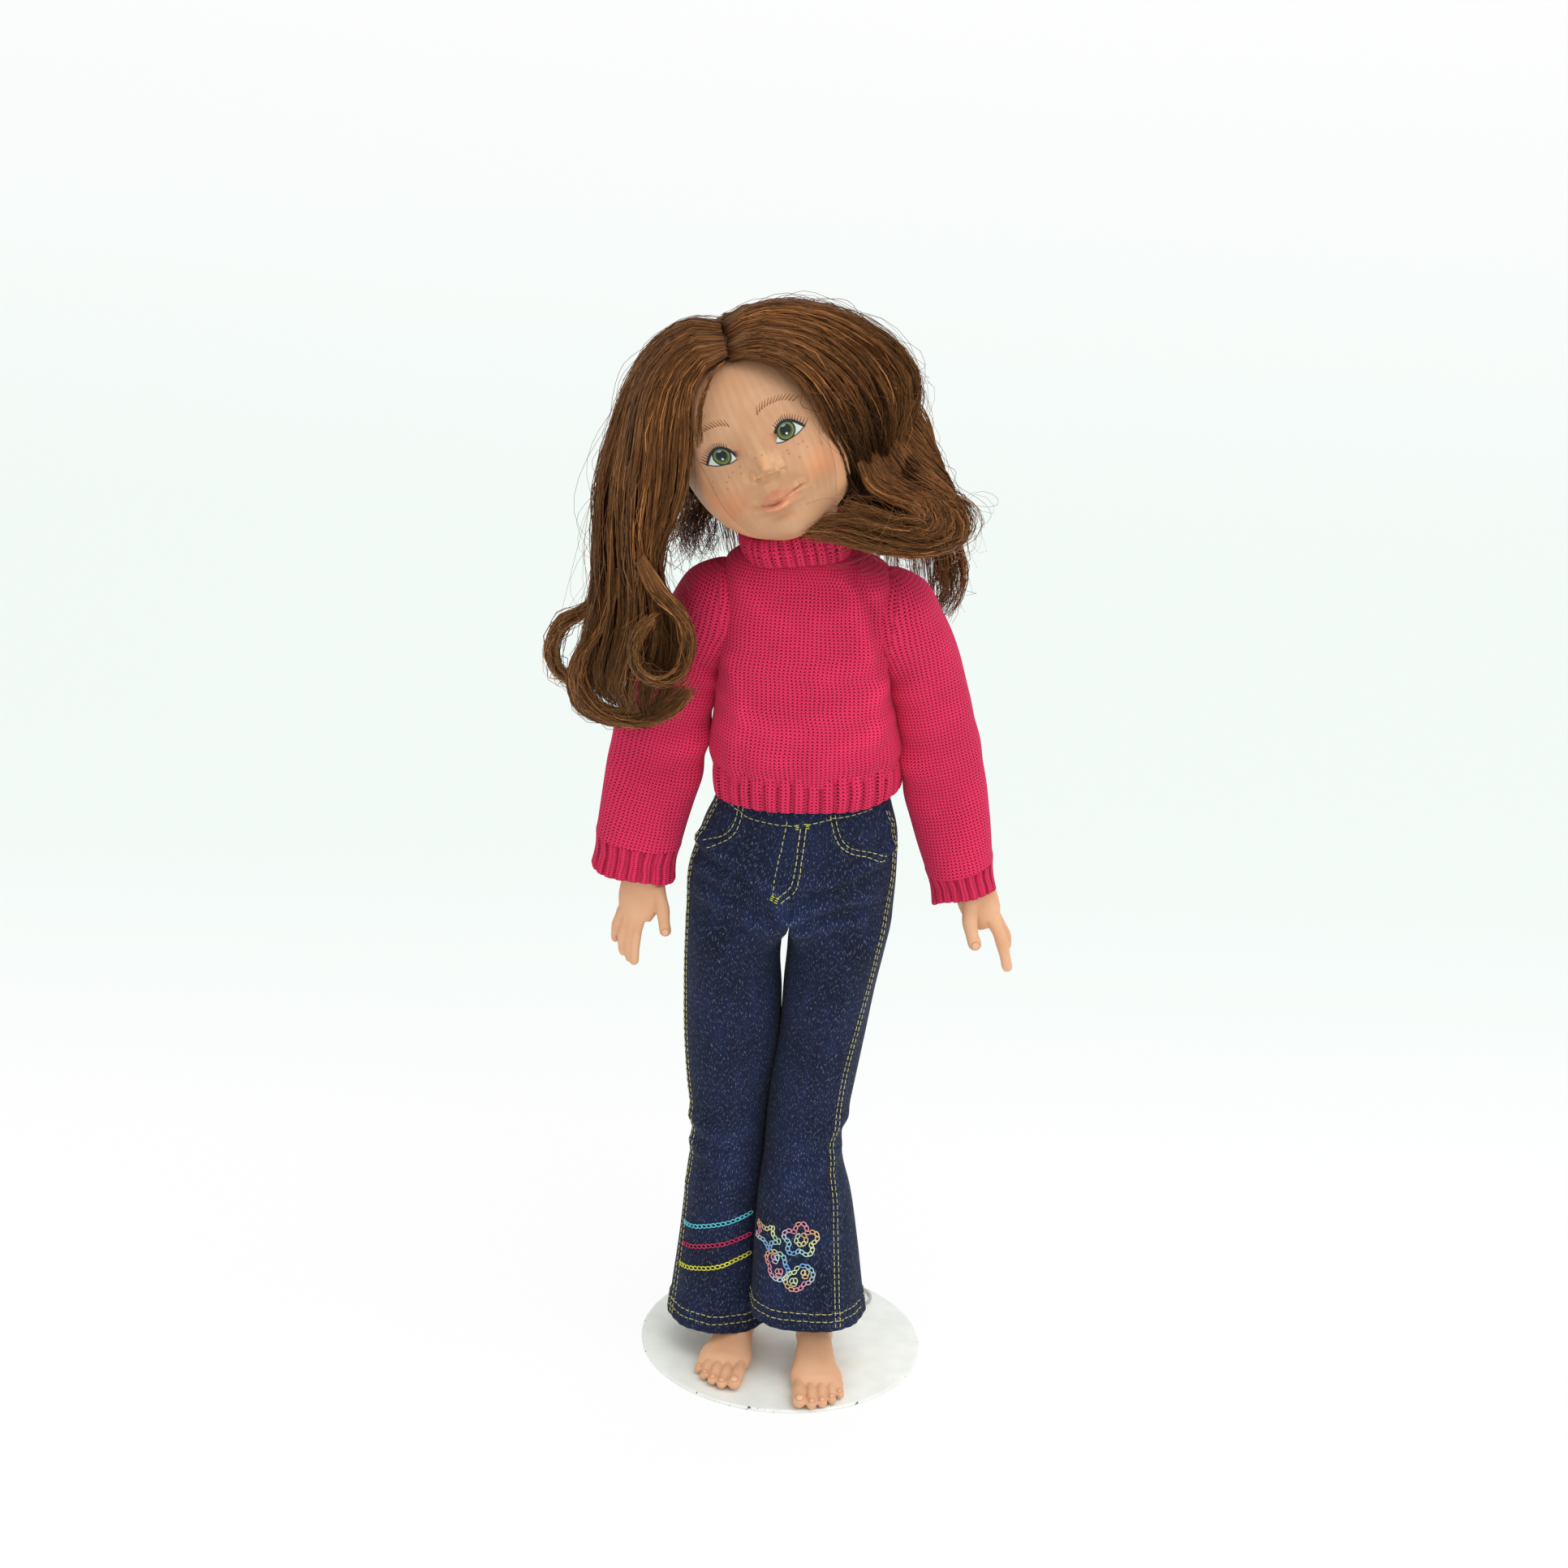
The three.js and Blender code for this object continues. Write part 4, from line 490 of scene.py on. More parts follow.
def drawn_steel():
    """Bright steel with fine drawing marks."""
    material, tree, shader = finish("drawn_steel_wire_bright")
    # Drawing marks are 0.3 mm wide and 12 mm long, along the upright.
    place = mapped(tree, solid_place(tree), (1 / (0.3 * MM), 1 / (0.3 * MM), 1 / (12 * MM)))
    marks = noise(tree, place, 1.0, 2.0)
    wire(tree, shader, {
        "Base Color": mixed(tree, marks, "#c9cbcd", "#aeb1b4"),
        "Roughness": ranged(tree, marks, 0.3, 0.7, 0.24, 0.4),
        "Metallic": 1.0,
    })
    return material


def braid(name, light, dark, spacing, gloss=0.5):
    """Crossing waves with the given spacing in millimetres, for elastic, net and stitching thread."""
    material, tree, shader = finish(name)
    turned = mapped(tree, solid_place(tree), [2 * pi / (spacing * MM)] * 3, (0.7, 0.5, 0.8))
    wave = parts(tree, add(tree, "ShaderNodeVectorMath", {0: turned}, operation="SINE").outputs[0])
    cross = sums(tree, "MULTIPLY", wave[0], wave[1])
    wire(tree, shader, {
        "Base Color": tinted(tree, mixed(tree, ranged(tree, cross, -1.0, 1.0), dark, light)),
        "Normal": lifted(tree, 0.4, 0.2, cross),
        "Roughness": 0.7,
        "Specular IOR Level": gloss,
    })
    return material


ENAMEL, STEEL = enamel(), drawn_steel()
THREAD = braid("spun_polyester_thread", "#ffffff", "#d8d8d8", 0.6)
print("made", ENAMEL.name, STEEL.name, THREAD.name)

# %% [markdown]
# ## Many small copies
# Stitches, chain links, lashes and strands of hair are one small tube repeated many times. Building them one
# object at a time would be slow, so `many` takes an array of copies and makes all their faces at once.

# %% Copies of a small tube
def many(points, tint, loop=False, mark=None):
    """Faces over copies of a small tube, points (copies, rows, columns, 3), with columns that go around.

    loop joins the last row to the first; otherwise both ends close on their middle. tint is one colour for
    each copy or for each of its rows, and mark a number for each copy, kept in the UV map's first place.
    """
    copies, rows, columns = points.shape[:3]
    steps = rows if loop else rows - 1
    base = np.arange(copies)[:, None, None] * rows * columns
    r, c = np.meshgrid(np.arange(steps), np.arange(columns), indexing="ij")
    this, after, following = r * columns, (r + 1) % rows * columns, (c + 1) % columns
    corners = np.stack([this + c, this + following, after + following, after + c], -1)
    quads = (base[..., None] + corners[None]).reshape(-1, 4)
    flat = points.reshape(-1, 3)
    tint = np.broadcast_to(tint if tint.ndim == 3 else tint[:, None], (copies, rows, 4))
    colours = tint[:, :, None].repeat(columns, 2).reshape(-1, 4)
    mark = np.zeros(copies) if mark is None else mark
    along = np.stack([r, r, r + 1, r + 1], -1) / max(rows - 1, 1)
    quad_uv = np.stack(np.broadcast_arrays(mark[:, None, None, None], along[None]), -1).reshape(-1, 4, 2)
    middle = points.mean(axis=2)
    inside = np.broadcast_to(middle[:, :steps, None], (copies, steps, columns, 3)).reshape(-1, 3)
    flip = inward(flat, quads, inside)
    tris, tri_uv = np.zeros((0, 3), int), np.zeros((0, 3, 2))
    if not loop:
        ends = np.concatenate([middle[:, 0], middle[:, -1]])
        first = np.arange(copies)[:, None] * rows * columns + np.arange(columns)
        last = first + (rows - 1) * columns
        hub = len(flat) + np.arange(2 * copies)[:, None] + np.zeros(columns, int)
        start = np.stack([np.roll(first, -1, 1), first, hub[:copies]], -1)
        stop = np.stack([last, np.roll(last, -1, 1), hub[copies:]], -1)
        tris = np.concatenate([start, stop]).reshape(-1, 3)
        flat = np.vstack([flat, ends])
        colours = np.vstack([colours, tint[:, 0], tint[:, -1]])
        share = np.concatenate([np.zeros(copies), np.ones(copies)])
        tri_uv = np.stack([np.tile(mark, 2), share], -1).repeat(3 * columns, 0).reshape(-1, 3, 2)
    return mesh_parts(flat, quads, quad_uv, tris, tri_uv, colours, flip)


def wrapped(paths, across, radius, sides):
    """Rings round paths (copies, rows, 3): across is a section's first axis, radius one or one per ring."""
    tangent = unit(np.gradient(paths, axis=1))
    first = unit(across - tangent * np.sum(across * tangent, -1, keepdims=True))
    second = np.cross(tangent, first)
    angle = full_turn(sides)
    size = np.broadcast_to(radius, paths.shape[:2])[..., None, None]
    ring = first[..., None, :] * cos(angle)[:, None] + second[..., None, :] * sin(angle)[:, None]
    return paths[..., None, :] + ring * size


# %% [markdown]
# ## Floor, camera and light
# The doll stands on white paper that sweeps up behind it. Seen by the camera the paper is a little
# brighter than it is lit, as an overexposed sweep is, yet it keeps the doll's soft shadow. The camera is
# the one that was found from the round base plate: 1.4 m in front, looking 22 degrees down, with the
# picture turned by 3 degrees.

# %% Sweep of white paper
def white_paper():
    """Matt paper that shows camera and shiny things a share of plain light for its own shading."""
    material, tree, shader = finish("matt_white_studio_paper")
    place = solid_place(tree)
    # Paper tooth of 3 mm, and a faint green-blue painted shade in the light the camera sees
    # where the floor bends up behind the doll's legs.
    tooth = noise(tree, place, 1 / (3 * MM), 2.0)
    wire(tree, shader, {
        "Base Color": mixed(tree, tooth, "#f6f8f7", "#fbfcfb"),
        "Roughness": 0.95,
        "Specular IOR Level": 0.1,
    })
    # The glow is painted a little green-blue and dimmer in a band where the floor bends up: painted shade.
    back = parts(tree, place)[1]
    near = ranged(tree, back, 0.1, 0.55, curve="SMOOTHSTEP")
    far = ranged(tree, back, 1.5, 0.95, curve="SMOOTHSTEP")
    glow = mixed(tree, sums(tree, "MULTIPLY", near, far), "#ffffff", "#f3fbf7")
    seen = add(tree, "ShaderNodeLightPath").outputs
    direct = sums(tree, "MAXIMUM", seen["Is Camera Ray"], seen["Is Glossy Ray"])
    direct = sums(tree, "MAXIMUM", direct, seen["Is Transmission Ray"])
    light = add(tree, "ShaderNodeEmission", {0: glow, 1: 1.0})
    share = sums(tree, "MULTIPLY", direct, 0.9)
    both = add(tree, "ShaderNodeMixShader", {0: share, 1: shader.outputs[0], 2: light.outputs[0]})
    output = next(n for n in tree.nodes if n.type == "OUTPUT_MATERIAL")
    wire(tree, output, {0: both.outputs[0]})
    return material


def sweep():
    """A floor that bends up into a wall: flat to the back, then a quarter circle, then straight up."""
    half_width, front, back, bend, top = 3000, -2600, 700, 900, 3200
    turn = np.linspace(0, pi / 2, 24)
    y = np.concatenate([[front, 0], back + bend * sin(turn), [back + bend]])
    z = np.concatenate([[0, 0], bend - bend * cos(turn), [top]])
    x = np.linspace(-half_width, half_width, 13)
    grid = np.stack(np.broadcast_arrays(x[None], y[:, None], z[:, None]), -1)
    return skin(grid, around=False, flip=False)


made = piece("paper_sweep", [sweep()], white_paper())

# %% Camera and lamps
def place_camera():
    """The camera's axes: forward tipped down by the pitch, then right and up turned about it by the roll."""
    pitch, roll = np.radians(22.1), np.radians(3.2)
    frame_px, focal_px, sensor = 1932, 4671, 36
    forward = np.array([0, cos(pitch), -sin(pitch)])
    level, upright = np.array([1, 0, 0]), np.array([0, sin(pitch), cos(pitch)])
    right = cos(roll) * level + sin(roll) * upright
    up = cos(roll) * upright - sin(roll) * level
    data = bpy.data.cameras.new("camera")
    data.sensor_width = sensor
    data.lens = focal_px / frame_px * sensor
    camera = bpy.data.objects.new("camera", data)
    bpy.context.scene.collection.objects.link(camera)
    turn = Matrix(np.stack([right, up, -forward], 1).tolist()).to_4x4()
    camera.matrix_world = Matrix.Translation((-0.005, -1.400, 0.825)) @ turn
    bpy.context.scene.camera = camera


def softbox(name, place, aim, size, watts):
    """A square area lamp at a place, in metres, that faces the aim."""
    data = bpy.data.lights.new(name, "AREA")
    data.energy = watts
    data.size = size
    lamp = bpy.data.objects.new(name, data)
    bpy.context.scene.collection.objects.link(lamp)
    look = (Vector(aim) - Vector(place)).to_track_quat("-Z", "Y")
    lamp.matrix_world = Matrix.Translation(place) @ look.to_matrix().to_4x4()


def surrounding_light(level):
    """An even pale world at the given level, which looks plain white where it is seen directly."""
    world = bpy.data.worlds.new("studio")
    bpy.context.scene.world = world
    world.use_nodes = True
    tree = world.node_tree
    tree.nodes.clear()
    seen = add(tree, "ShaderNodeLightPath").outputs["Is Camera Ray"]
    strength = ranged(tree, seen, 0.0, 1.0, level, 1.0)
    shade = add(tree, "ShaderNodeBackground", {0: hex_colour("#ffffff"), 1: strength})
    add(tree, "ShaderNodeOutputWorld", {0: shade.outputs[0]})


bpy.context.scene.view_settings.view_transform = "Standard"
place_camera()
# Lamps face the doll's hips. Each has a place and a size in metres, and a power in watts.
AIM = (0.0, 0.0, 0.26)
softbox("key", (1.0, -0.75, 1.6), AIM, 2.1, 19)
softbox("fill", (-0.8, -1.5, 0.7), AIM, 1.3, 5)
softbox("top", (0.1, -0.1, 1.8), AIM, 1.3, 9)
surrounding_light(0.52)
print("camera and three soft lamps placed")

# %% [markdown]
# ## The stand
# The base is a pressed disc with a small rolled edge: a profile turned round its centre. The tube, the
# wire foot, the rod and the clip already have their true shape, so they only get their metal.

# %% Base plate
PLATE_CENTRE = (6.6, 4.0)
PLATE_RADIUS = 59.0
PLATE_THICKNESS = 1.6


def base_plate():
    """A disc: a profile along the top, round the rolled edge and back underneath, turned on its axis."""
    edge = np.linspace(pi / 2, -pi / 2, 9)
    half = PLATE_THICKNESS / 2
    top = np.append(np.linspace(0.5, PLATE_RADIUS - 2.6, 40), PLATE_RADIUS - 1.6)
    under = np.linspace(PLATE_RADIUS - 2, 0.5, 12)
    out = np.concatenate([top, PLATE_RADIUS - half + half * cos(edge), under])
    up = np.concatenate([top * 0 + PLATE_THICKNESS, half + half * sin(edge), under * 0])
    turn = full_turn(256)
    x = PLATE_CENTRE[0] + out[:, None] * cos(turn)
    y = PLATE_CENTRE[1] + out[:, None] * sin(turn)
    points = np.stack([x, y, np.broadcast_to(up[:, None], x.shape)], -1)
    rim = eased(PLATE_RADIUS - 3.0, PLATE_RADIUS - 0.4, out)
    return skin(points, caps=(True, True), tint=shaded(rim[:, None] + 0 * x))


made = piece("enamelled_base", [base_plate()], ENAMEL)
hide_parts("base_plate")
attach(made, "stand")

# %% [markdown]
# ## Jeans
# Jeans are sewn from two mirrored halves, one for each leg, joined by the centre seam. So each half is
# one skin: below the crotch it is a tube round the leg, above it half of the seat. The angle round a half
# starts at the outer seam, with the front at a quarter turn, so every seam is a line of constant angle or
# a short curve on the front. Folds are soft ridges that follow lines drawn on the front, which is what
# pulled cloth does between fixed points.

# %% The two legs and the seat
# Columns: height, inner and outer edge in X, middle in Y, half depth.
LEG_SHAPE = {
    LEFT: [[27.5, -7.4, 40.2, -14, 20.5], [38, -7.3, 38.6, -13.5, 20], [57, -7.2, 35.9, -11.5, 19.4],
           [83, -6.2, 31.2, -8.5, 18.8], [97, -4.8, 27.4, -6.6, 18.2], [106, -4.7, 26.6, -5.6, 18],
           [117, -4.4, 28.8, -4.6, 18.6], [134, -3.2, 31.4, -3, 20], [150, -1.4, 33.6, -2.2, 21.5],
           [175, -0.6, 37.0, -1.2, 24.4], [190, 0.2, 39.6, -0.5, 26], [205.8, 0.6, 41.6, 0, 27.5]],
    RIGHT: [[15.5, -40.8, 0.2, 2.0, 21.4], [30, -39.6, -1.6, 2.2, 20.4], [50, -38, -3.4, 2.4, 19.4],
            [80, -36.4, -4.4, 2, 18.5], [104, -35.0, -4.0, 1, 18], [125, -38.0, -3.2, 1, 19],
            [150, -40.4, -1.0, 0.3, 21.4], [168, -41.2, -1.3, 0, 23.2], [182, -41.6, -2.6, 0, 25],
            [205.8, -41.6, -1.0, 0, 27.5]],
}
# Columns: height, half width, half depth, middle in X.
SEAT_SHAPE = [[206.2, 41.6, 28, 0], [218.2, 41.8, 28, 0.2], [232.2, 40, 27.4, 1.8], [240.2, 38.6, 26.6, 2.6],
              [250.2, 35.1, 25, 3.4], [262.2, 31, 23, 4], [267, 30, 22.5, 4]]
CROTCH = 205.0
SEAT_TOP = 265.0
SEAT_SHARE = 0.8 * pi
HEM_DEPTH = 9.0
LEG_BOX, SEAT_BOX = 2.2, 2.1
# Each fold: points (x, z) seen from the front, height and half width of the ridge.
FOLDS = [
    ([(-37, 234.5), (-24, 231.6), (-15.4, 226.8), (-6.2, 219), (-0.9, 209.8)], 2.6, 2.6),
    ([(-37, 224.3), (-26.1, 223.2), (-16, 218.4)], 1.9, 2.4),
    ([(-34, 214), (-22, 212), (-9, 204)], 1.7, 2.8),
    ([(3.3, 224.9), (17.3, 226.4), (30.6, 232), (38, 236)], 2.2, 2.4),
    ([(1.8, 210), (9.8, 214.6), (17.8, 218.1), (32, 219.2)], 2.8, 2.6),
    ([(2.5, 203), (14, 207.5), (28, 208)], 1.9, 2.8),
    ([(20.9, 241.2), (31.4, 245.6), (37.9, 246)], 1.0, 1.9),
    ([(-34, 110), (-22, 105), (-12, 108)], 1.7, 3.4),
    ([(-34, 98), (-24, 94), (-14, 97)], 1.4, 3.4),
    ([(4, 104), (14, 108), (27, 116)], 1.6, 3.4),
    ([(6, 92), (16, 96), (27, 103)], 1.4, 3.4),
    ([(-34, 78), (-24, 84), (-12, 82)], 0.5, 4),
    ([(22, 80), (14, 84), (0, 82)], 0.5, 4),
    ([(-28, 190), (-22, 160), (-20, 130)], 0.5, 5),
    ([(26, 190), (20, 160), (14, 130)], 0.5, 5),
    ([(-16, 90), (-18, 60), (-22, 20)], 0.7, 4.2),
    ([(-30, 88), (-33, 55), (-36, 20)], 0.5, 3.6),
    ([(6, 92), (4, 60), (2, 20)], 0.7, 4.4),
    ([(20, 88), (25, 55), (30, 20)], 0.6, 4),
]
# Sewn edges on the front: the fly's fold and the two pocket mouths, each a small step in the cloth.
FLY_EDGE = [(-2.4, 256), (-2.9, 251.1), (-4.2, 241.2), (-6, 231.6), (-6.9, 223.5), (-6.9, 219.3)]
POCKET_EDGE = {
    LEFT: [(15, 254.5), (16.4, 248.6), (18.6, 243.2), (22.4, 239.6), (30.6, 236.4), (38.6, 233)],
    RIGHT: [(-21.6, 254), (-22.4, 248.6), (-23.8, 244), (-27.2, 239.6), (-32, 236.4), (-36, 234.4)],
}
# The outer seam's angle towards the front, by height: the left leg hangs turned, so its seam shows from
# the front.
SEAM_TURN = {LEFT: ([27, 70, 100, 141, 176, 206, 225, 262], [0.95, 0.82, 0.66, 0.78, 0.62, 0.6, 0.43, 0.5]),
             RIGHT: ([15, 262], [0.3, 0.3])}


def ridge(x, z, line, width):
    """A hill of height 1 along a line of points: exp(-(distance to the line / width)^2)."""
    nearest = np.full(np.shape(x), np.inf)
    for (x0, z0), (x1, z1) in zip(line[:-1], line[1:]):
        dx, dz = x1 - x0, z1 - z0
        t = np.clip(((x - x0) * dx + (z - z0) * dz) / (dx * dx + dz * dz), 0, 1)
        nearest = np.minimum(nearest, (x - x0 - t * dx) ** 2 + (z - z0 - t * dz) ** 2)
    return np.exp(-nearest / width**2)


def folded_relief(x, z, folds):
    """How far cloth stands out at a place seen from the front: the sum of its folds' ridges."""
    return sum(height * ridge(x, z, line, width) for line, height, width in folds)


def jeans(side, angle, z, raised=0.0):
    """Outside of one half of the jeans, at an angle round it and a height.

    The leg is a slightly squared ellipse between its inner and outer edge, which waves a little where it
    flares. The seat is half an ellipse that meets the other half on the centre line. The leg eases into
    the seat just below the crotch, and folds, hems and seams then move the cloth outwards. raised moves
    it further out.
    """
    inner, outer, y, depth = table_at(LEG_SHAPE[side], z)
    flare = eased(100, 16, z)
    wave = 1 + 0.03 * flare * cos(5 * angle + 0.7 * side) + 0.01 * flare * cos(9 * angle + side)
    leg_x = (inner + outer) / 2 + side * (outer - inner) / 2 * boxed(cos(angle), LEG_BOX) * wave
    leg_y = y - depth * boxed(sin(angle), LEG_BOX) * wave
    half, deep, middle = table_at(SEAT_SHAPE, z)
    folded = signed(angle)
    arc = folded * (pi / 2) / SEAT_SHARE
    wall = np.abs(folded) > SEAT_SHARE
    held = np.clip(arc, -pi / 2, pi / 2)
    seat_x = middle + np.where(wall, 0, side * half * boxed(cos(held), SEAT_BOX))
    across = -deep * np.sign(folded) * (pi - np.abs(folded)) / (pi - SEAT_SHARE)
    seat_y = np.where(wall, across, -deep * boxed(sin(arc), SEAT_BOX))
    top = eased(190, 208, z)
    x, y = leg_x * (1 - top) + seat_x * top, leg_y * (1 - top) + seat_y * top
    out = unit(np.stack([x - (inner + outer) / 2 * (1 - top) - middle * top, y * 1.2], -1))
    front = eased(-0.1, 0.35, sin(angle))
    lift = raised + folded_relief(x, z, FOLDS) * front
    behind = eased(0.1, -0.4, sin(angle))
    # Behind, cloth wrinkles across the knee, 100 mm up, and under the seat, 196 mm up.
    lift = lift + behind * (0.8 * cos(0.21 * z + 0.12 * x) * hill(z, 100, 16))
    lift = lift + behind * (0.9 * cos(0.3 * z + 0.1 * np.abs(x)) * hill(z, 196, 12))
    lift = lift - 0.8 * front * ridge(x, z, FLY_EDGE, 1.2)
    lift = lift - 0.9 * front * ridge(x, z, POCKET_EDGE[side], 1.3)
    bottom = LEG_SHAPE[side][0][0]
    hem = eased(bottom + HEM_DEPTH + 0.6, bottom + HEM_DEPTH - 0.6, z)
    lift = lift + 0.45 * hem + 0.18 * hem * cos(26 * angle)
    seam = hill(folded, flow(*SEAM_TURN[side], z), 0.085) * eased(bottom, bottom + 4, z)
    lift = lift + 0.55 * seam + 0.12 * seam * cos(1.6 * z)
    return np.stack([x + out[..., 0] * lift, y + out[..., 1] * lift, np.broadcast_to(z, x.shape)], -1)


def jeans_half(side, rows=184, columns=120):
    """One half as a skin, with the faces of the centre wall left out above the crotch."""
    bottom = LEG_SHAPE[side][0][0]
    z = bottom + (SEAT_TOP - bottom) * np.linspace(0, 1, rows)[:, None]
    angle = full_turn(columns)[None]
    points = jeans(side, angle, z)
    # The hem line dips where the flare folds, so that it isn't a ruled edge.
    points[..., 2] += 0.5 * eased(bottom + 14, bottom, z) * cos(5 * angle + 0.7 * side)
    girth = np.linalg.norm(np.diff(points, axis=1, append=points[:, :1]), axis=-1)
    u = np.concatenate([np.zeros((rows, 1)), np.cumsum(girth, 1)], 1)
    uv = np.stack([u, np.broadcast_to(z, u.shape)], -1)
    folded = signed(angle)
    wall = np.abs(folded) > SEAT_SHARE
    keep = ~(wall & np.roll(wall, -1, 1) & (z[:-1] > CROTCH + 1))
    relief = folded_relief(points[..., 0], points[..., 2], FOLDS)
    # Fold crests are painted lighter, as painted highlight, and the seam and the hem's bottom edge
    # are painted paler.
    fold_highlight_and_pale_seams = 0.9 + 0.18 * relief * eased(-0.1, 0.35, sin(angle))
    fold_highlight_and_pale_seams = fold_highlight_and_pale_seams + 0.25 * (hill(folded, flow(*SEAM_TURN[side], z), 0.1) + eased(bottom + 2, bottom, z))
    return skin(points, uv=uv, tint=shaded(fold_highlight_and_pale_seams), keep=keep)


def hang_from_hip(made):
    """Bakes a piece of the jeans into its place; it gets no parent and does not bend with the leg."""
    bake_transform(made)


for side in (LEFT, RIGHT):
    made = piece(f"jeans_half_{WORD[side]}", [jeans_half(side)], DENIM)
    cloth = made.modifiers.new("cloth", "SOLIDIFY")
    cloth.thickness = 0.8 * MM
    cloth.offset = -1
    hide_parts(f"jeans_leg_{WORD[side]}", *(["jeans_seat"] if side == LEFT else []))
    hang_from_hip(made)

# %% [markdown]
# ## Topstitching
# Yellow thread runs in double rows along the outer seams, hems, pockets and fly. Every stitch is a short
# bead of thread whose ends dive into the cloth, laid at equal steps along a line on the denim. A line
# that is drawn as seen from the front is first carried onto the cloth by finding, at each height, the
# angle that has the wanted X.

# %% Lines on the jeans
THREAD_RADIUS = 0.2
STITCH = 1.9
STITCH_GAP = 0.8
GOLD = hex_colour("#d6cf86")
LEMON = hex_colour("#e6ee3c")


def along(line, spacing):
    """Points at equal steps along a line of points."""
    length = travelled(line)
    return read_along(np.arange(0, length[-1], spacing), length, line)


def softened(line, steps=40):
    """A smooth curve through the points of a line, by their distance along it."""
    length = travelled(line)
    return flow(length, line, np.linspace(0, length[-1], steps))


def beside(line, distance):
    """A line in the plane moved sideways, to its left, by a distance."""
    way = unit(np.gradient(line, axis=0))
    return line + distance * np.stack([-way[:, 1], way[:, 0]], -1)


def angle_at(side, x, z, back):
    """The angle on one half of the jeans that has X = x at the height z, on the front or on the back."""
    sweep_angle = np.linspace(-0.02, 1.0, 260) * pi * (-1 if back else 1)
    shown = jeans(side, sweep_angle[None], z[:, None])[..., 0] * side
    nearest = np.abs(shown - side * x[:, None]).argmin(1)
    return sweep_angle[nearest]


def on_jeans(side, angle, z, raised):
    """Points of the jeans with the direction that points out of the cloth there."""
    around = jeans(side, angle + 0.02, z) - jeans(side, angle - 0.02, z)
    upward = jeans(side, angle, z + 0.5) - jeans(side, angle, z - 0.5)
    return jeans(side, angle, z, raised), unit(np.cross(around, upward)) * (-side)


def thread_beads(points, normals, colour=GOLD, length=STITCH):
    """Short beads of thread on a dense line of points: each stitch takes the points within its own length."""
    run = travelled(points)
    starts = np.arange(STITCH_GAP, run[-1] - length, length + STITCH_GAP)
    if len(starts) == 0:
        starts = np.array([0.0])
    at = starts[:, None] + length * np.array([0, 0.22, 0.78, 1.0])
    out = unit(read_along(at, run, normals))
    dive = THREAD_RADIUS * np.array([-0.5, 0.55, 0.55, -0.5])
    paths = read_along(at, run, points) + out * dive[None, :, None]
    rings = wrapped(paths, out, THREAD_RADIUS * np.array([0.75, 1.0, 1.0, 0.75]), 5)
    shade = np.clip(chance.normal(1, 0.1, len(paths)), 0.7, 1.2)[:, None] * np.array(colour)[None, :3]
    return many(rings, tint=np.concatenate([shade, np.ones((len(paths), 1))], 1))


def line_on_half(side, line, back):
    """Points and normals of what one half holds of a line (x, z) seen from the front or the back."""
    dense = along(softened(line, 60), 0.3)
    beyond = side * (dense[:, 0] - table_at(SEAT_SHAPE, dense[:, 1])[2]) > 0
    dense = dense[beyond | (dense[:, 1] < CROTCH - 15)]
    if len(dense) < 8:
        return None
    angle = angle_at(side, dense[:, 0], dense[:, 1], back)
    angle = np.convolve(np.pad(angle, 4, mode="edge"), np.ones(9) / 9, mode="valid")
    return on_jeans(side, angle, dense[:, 1], 0.05)


def seam_line(side, line, back=False, **bead):
    """Stitches along a line (x, z) drawn as seen from the front or the back, as far as this half holds it."""
    held = line_on_half(side, line, back)
    return [] if held is None else [thread_beads(*held, **bead)]


def angle_line(side, angle, z):
    """Stitches along a line given by angles and heights."""
    points, normals = on_jeans(side, angle, z, 0.05)
    run = travelled(points)
    even = np.arange(0, run[-1], 0.3)
    return thread_beads(read_along(even, run, points), unit(read_along(even, run, normals)))


# %% Seams, hems, pockets and fly
FLY_INNER = [(2.6, 249), (1.6, 236), (1.1, 229.5), (-0.7, 223.2), (-5.6, 219.2)]
FLY_OUTER = [(4.7, 249), (3.6, 236), (3.1, 228.2), (1.0, 221.3), (-4.2, 217.2)]
WAIST_SEAM = [(-31, 255.6), (-27.7, 253.7), (-21.1, 250.4), (-8.2, 249), (-3.1, 248.8), (5, 250),
              (15.6, 252.4), (24.4, 253.5), (31, 254.5)]
BARTACKS = [[(-0.6, 248.4), (6.2, 249.6)], [(-8.8, 220), (-2.6, 217.8)]]
BACK_POCKET = [(-11, 240), (-10, 224), (-18, 219), (-27, 224), (-28, 240), (-11, 240)]


def leg_stitches(side):
    """Two rows of stitches beside the outer seam, up to the waist, and two round the hem."""
    bottom = LEG_SHAPE[side][0][0]
    z = np.linspace(bottom + 1, 252, 400)
    turn, girth = flow(*SEAM_TURN[side], z), flow([bottom, 104, 206, 262], [19, 15, 24, 22], z)
    rows = [angle_line(side, turn + shift / girth, z) for shift in (0.9, 2.6)]
    ring = np.linspace(0.2, 2 * pi + 0.05, 500)
    dip = 0.8 * cos(5 * ring + 0.7 * side)
    return rows + [angle_line(side, ring, bottom + up + dip * 0.3) for up in (4.6, 8.0)]


def seat_stitches(side):
    """The pocket mouth in a double row, and on the back a patch pocket and the yoke seam."""
    mouth = softened(POCKET_EDGE[side])
    rows = sum((seam_line(side, beside(mouth, -side * shift)) for shift in (-0.6, 1.3)), [])
    pocket = [(side * abs(x), z) for x, z in BACK_POCKET]
    rows = rows + sum((seam_line(side, [a, b], back=True) for a, b in zip(pocket[:-1], pocket[1:])), [])
    yoke = [(side * 2, 243), (side * 18, 246), (side * 35, 249)]
    return rows + seam_line(side, yoke, back=True)


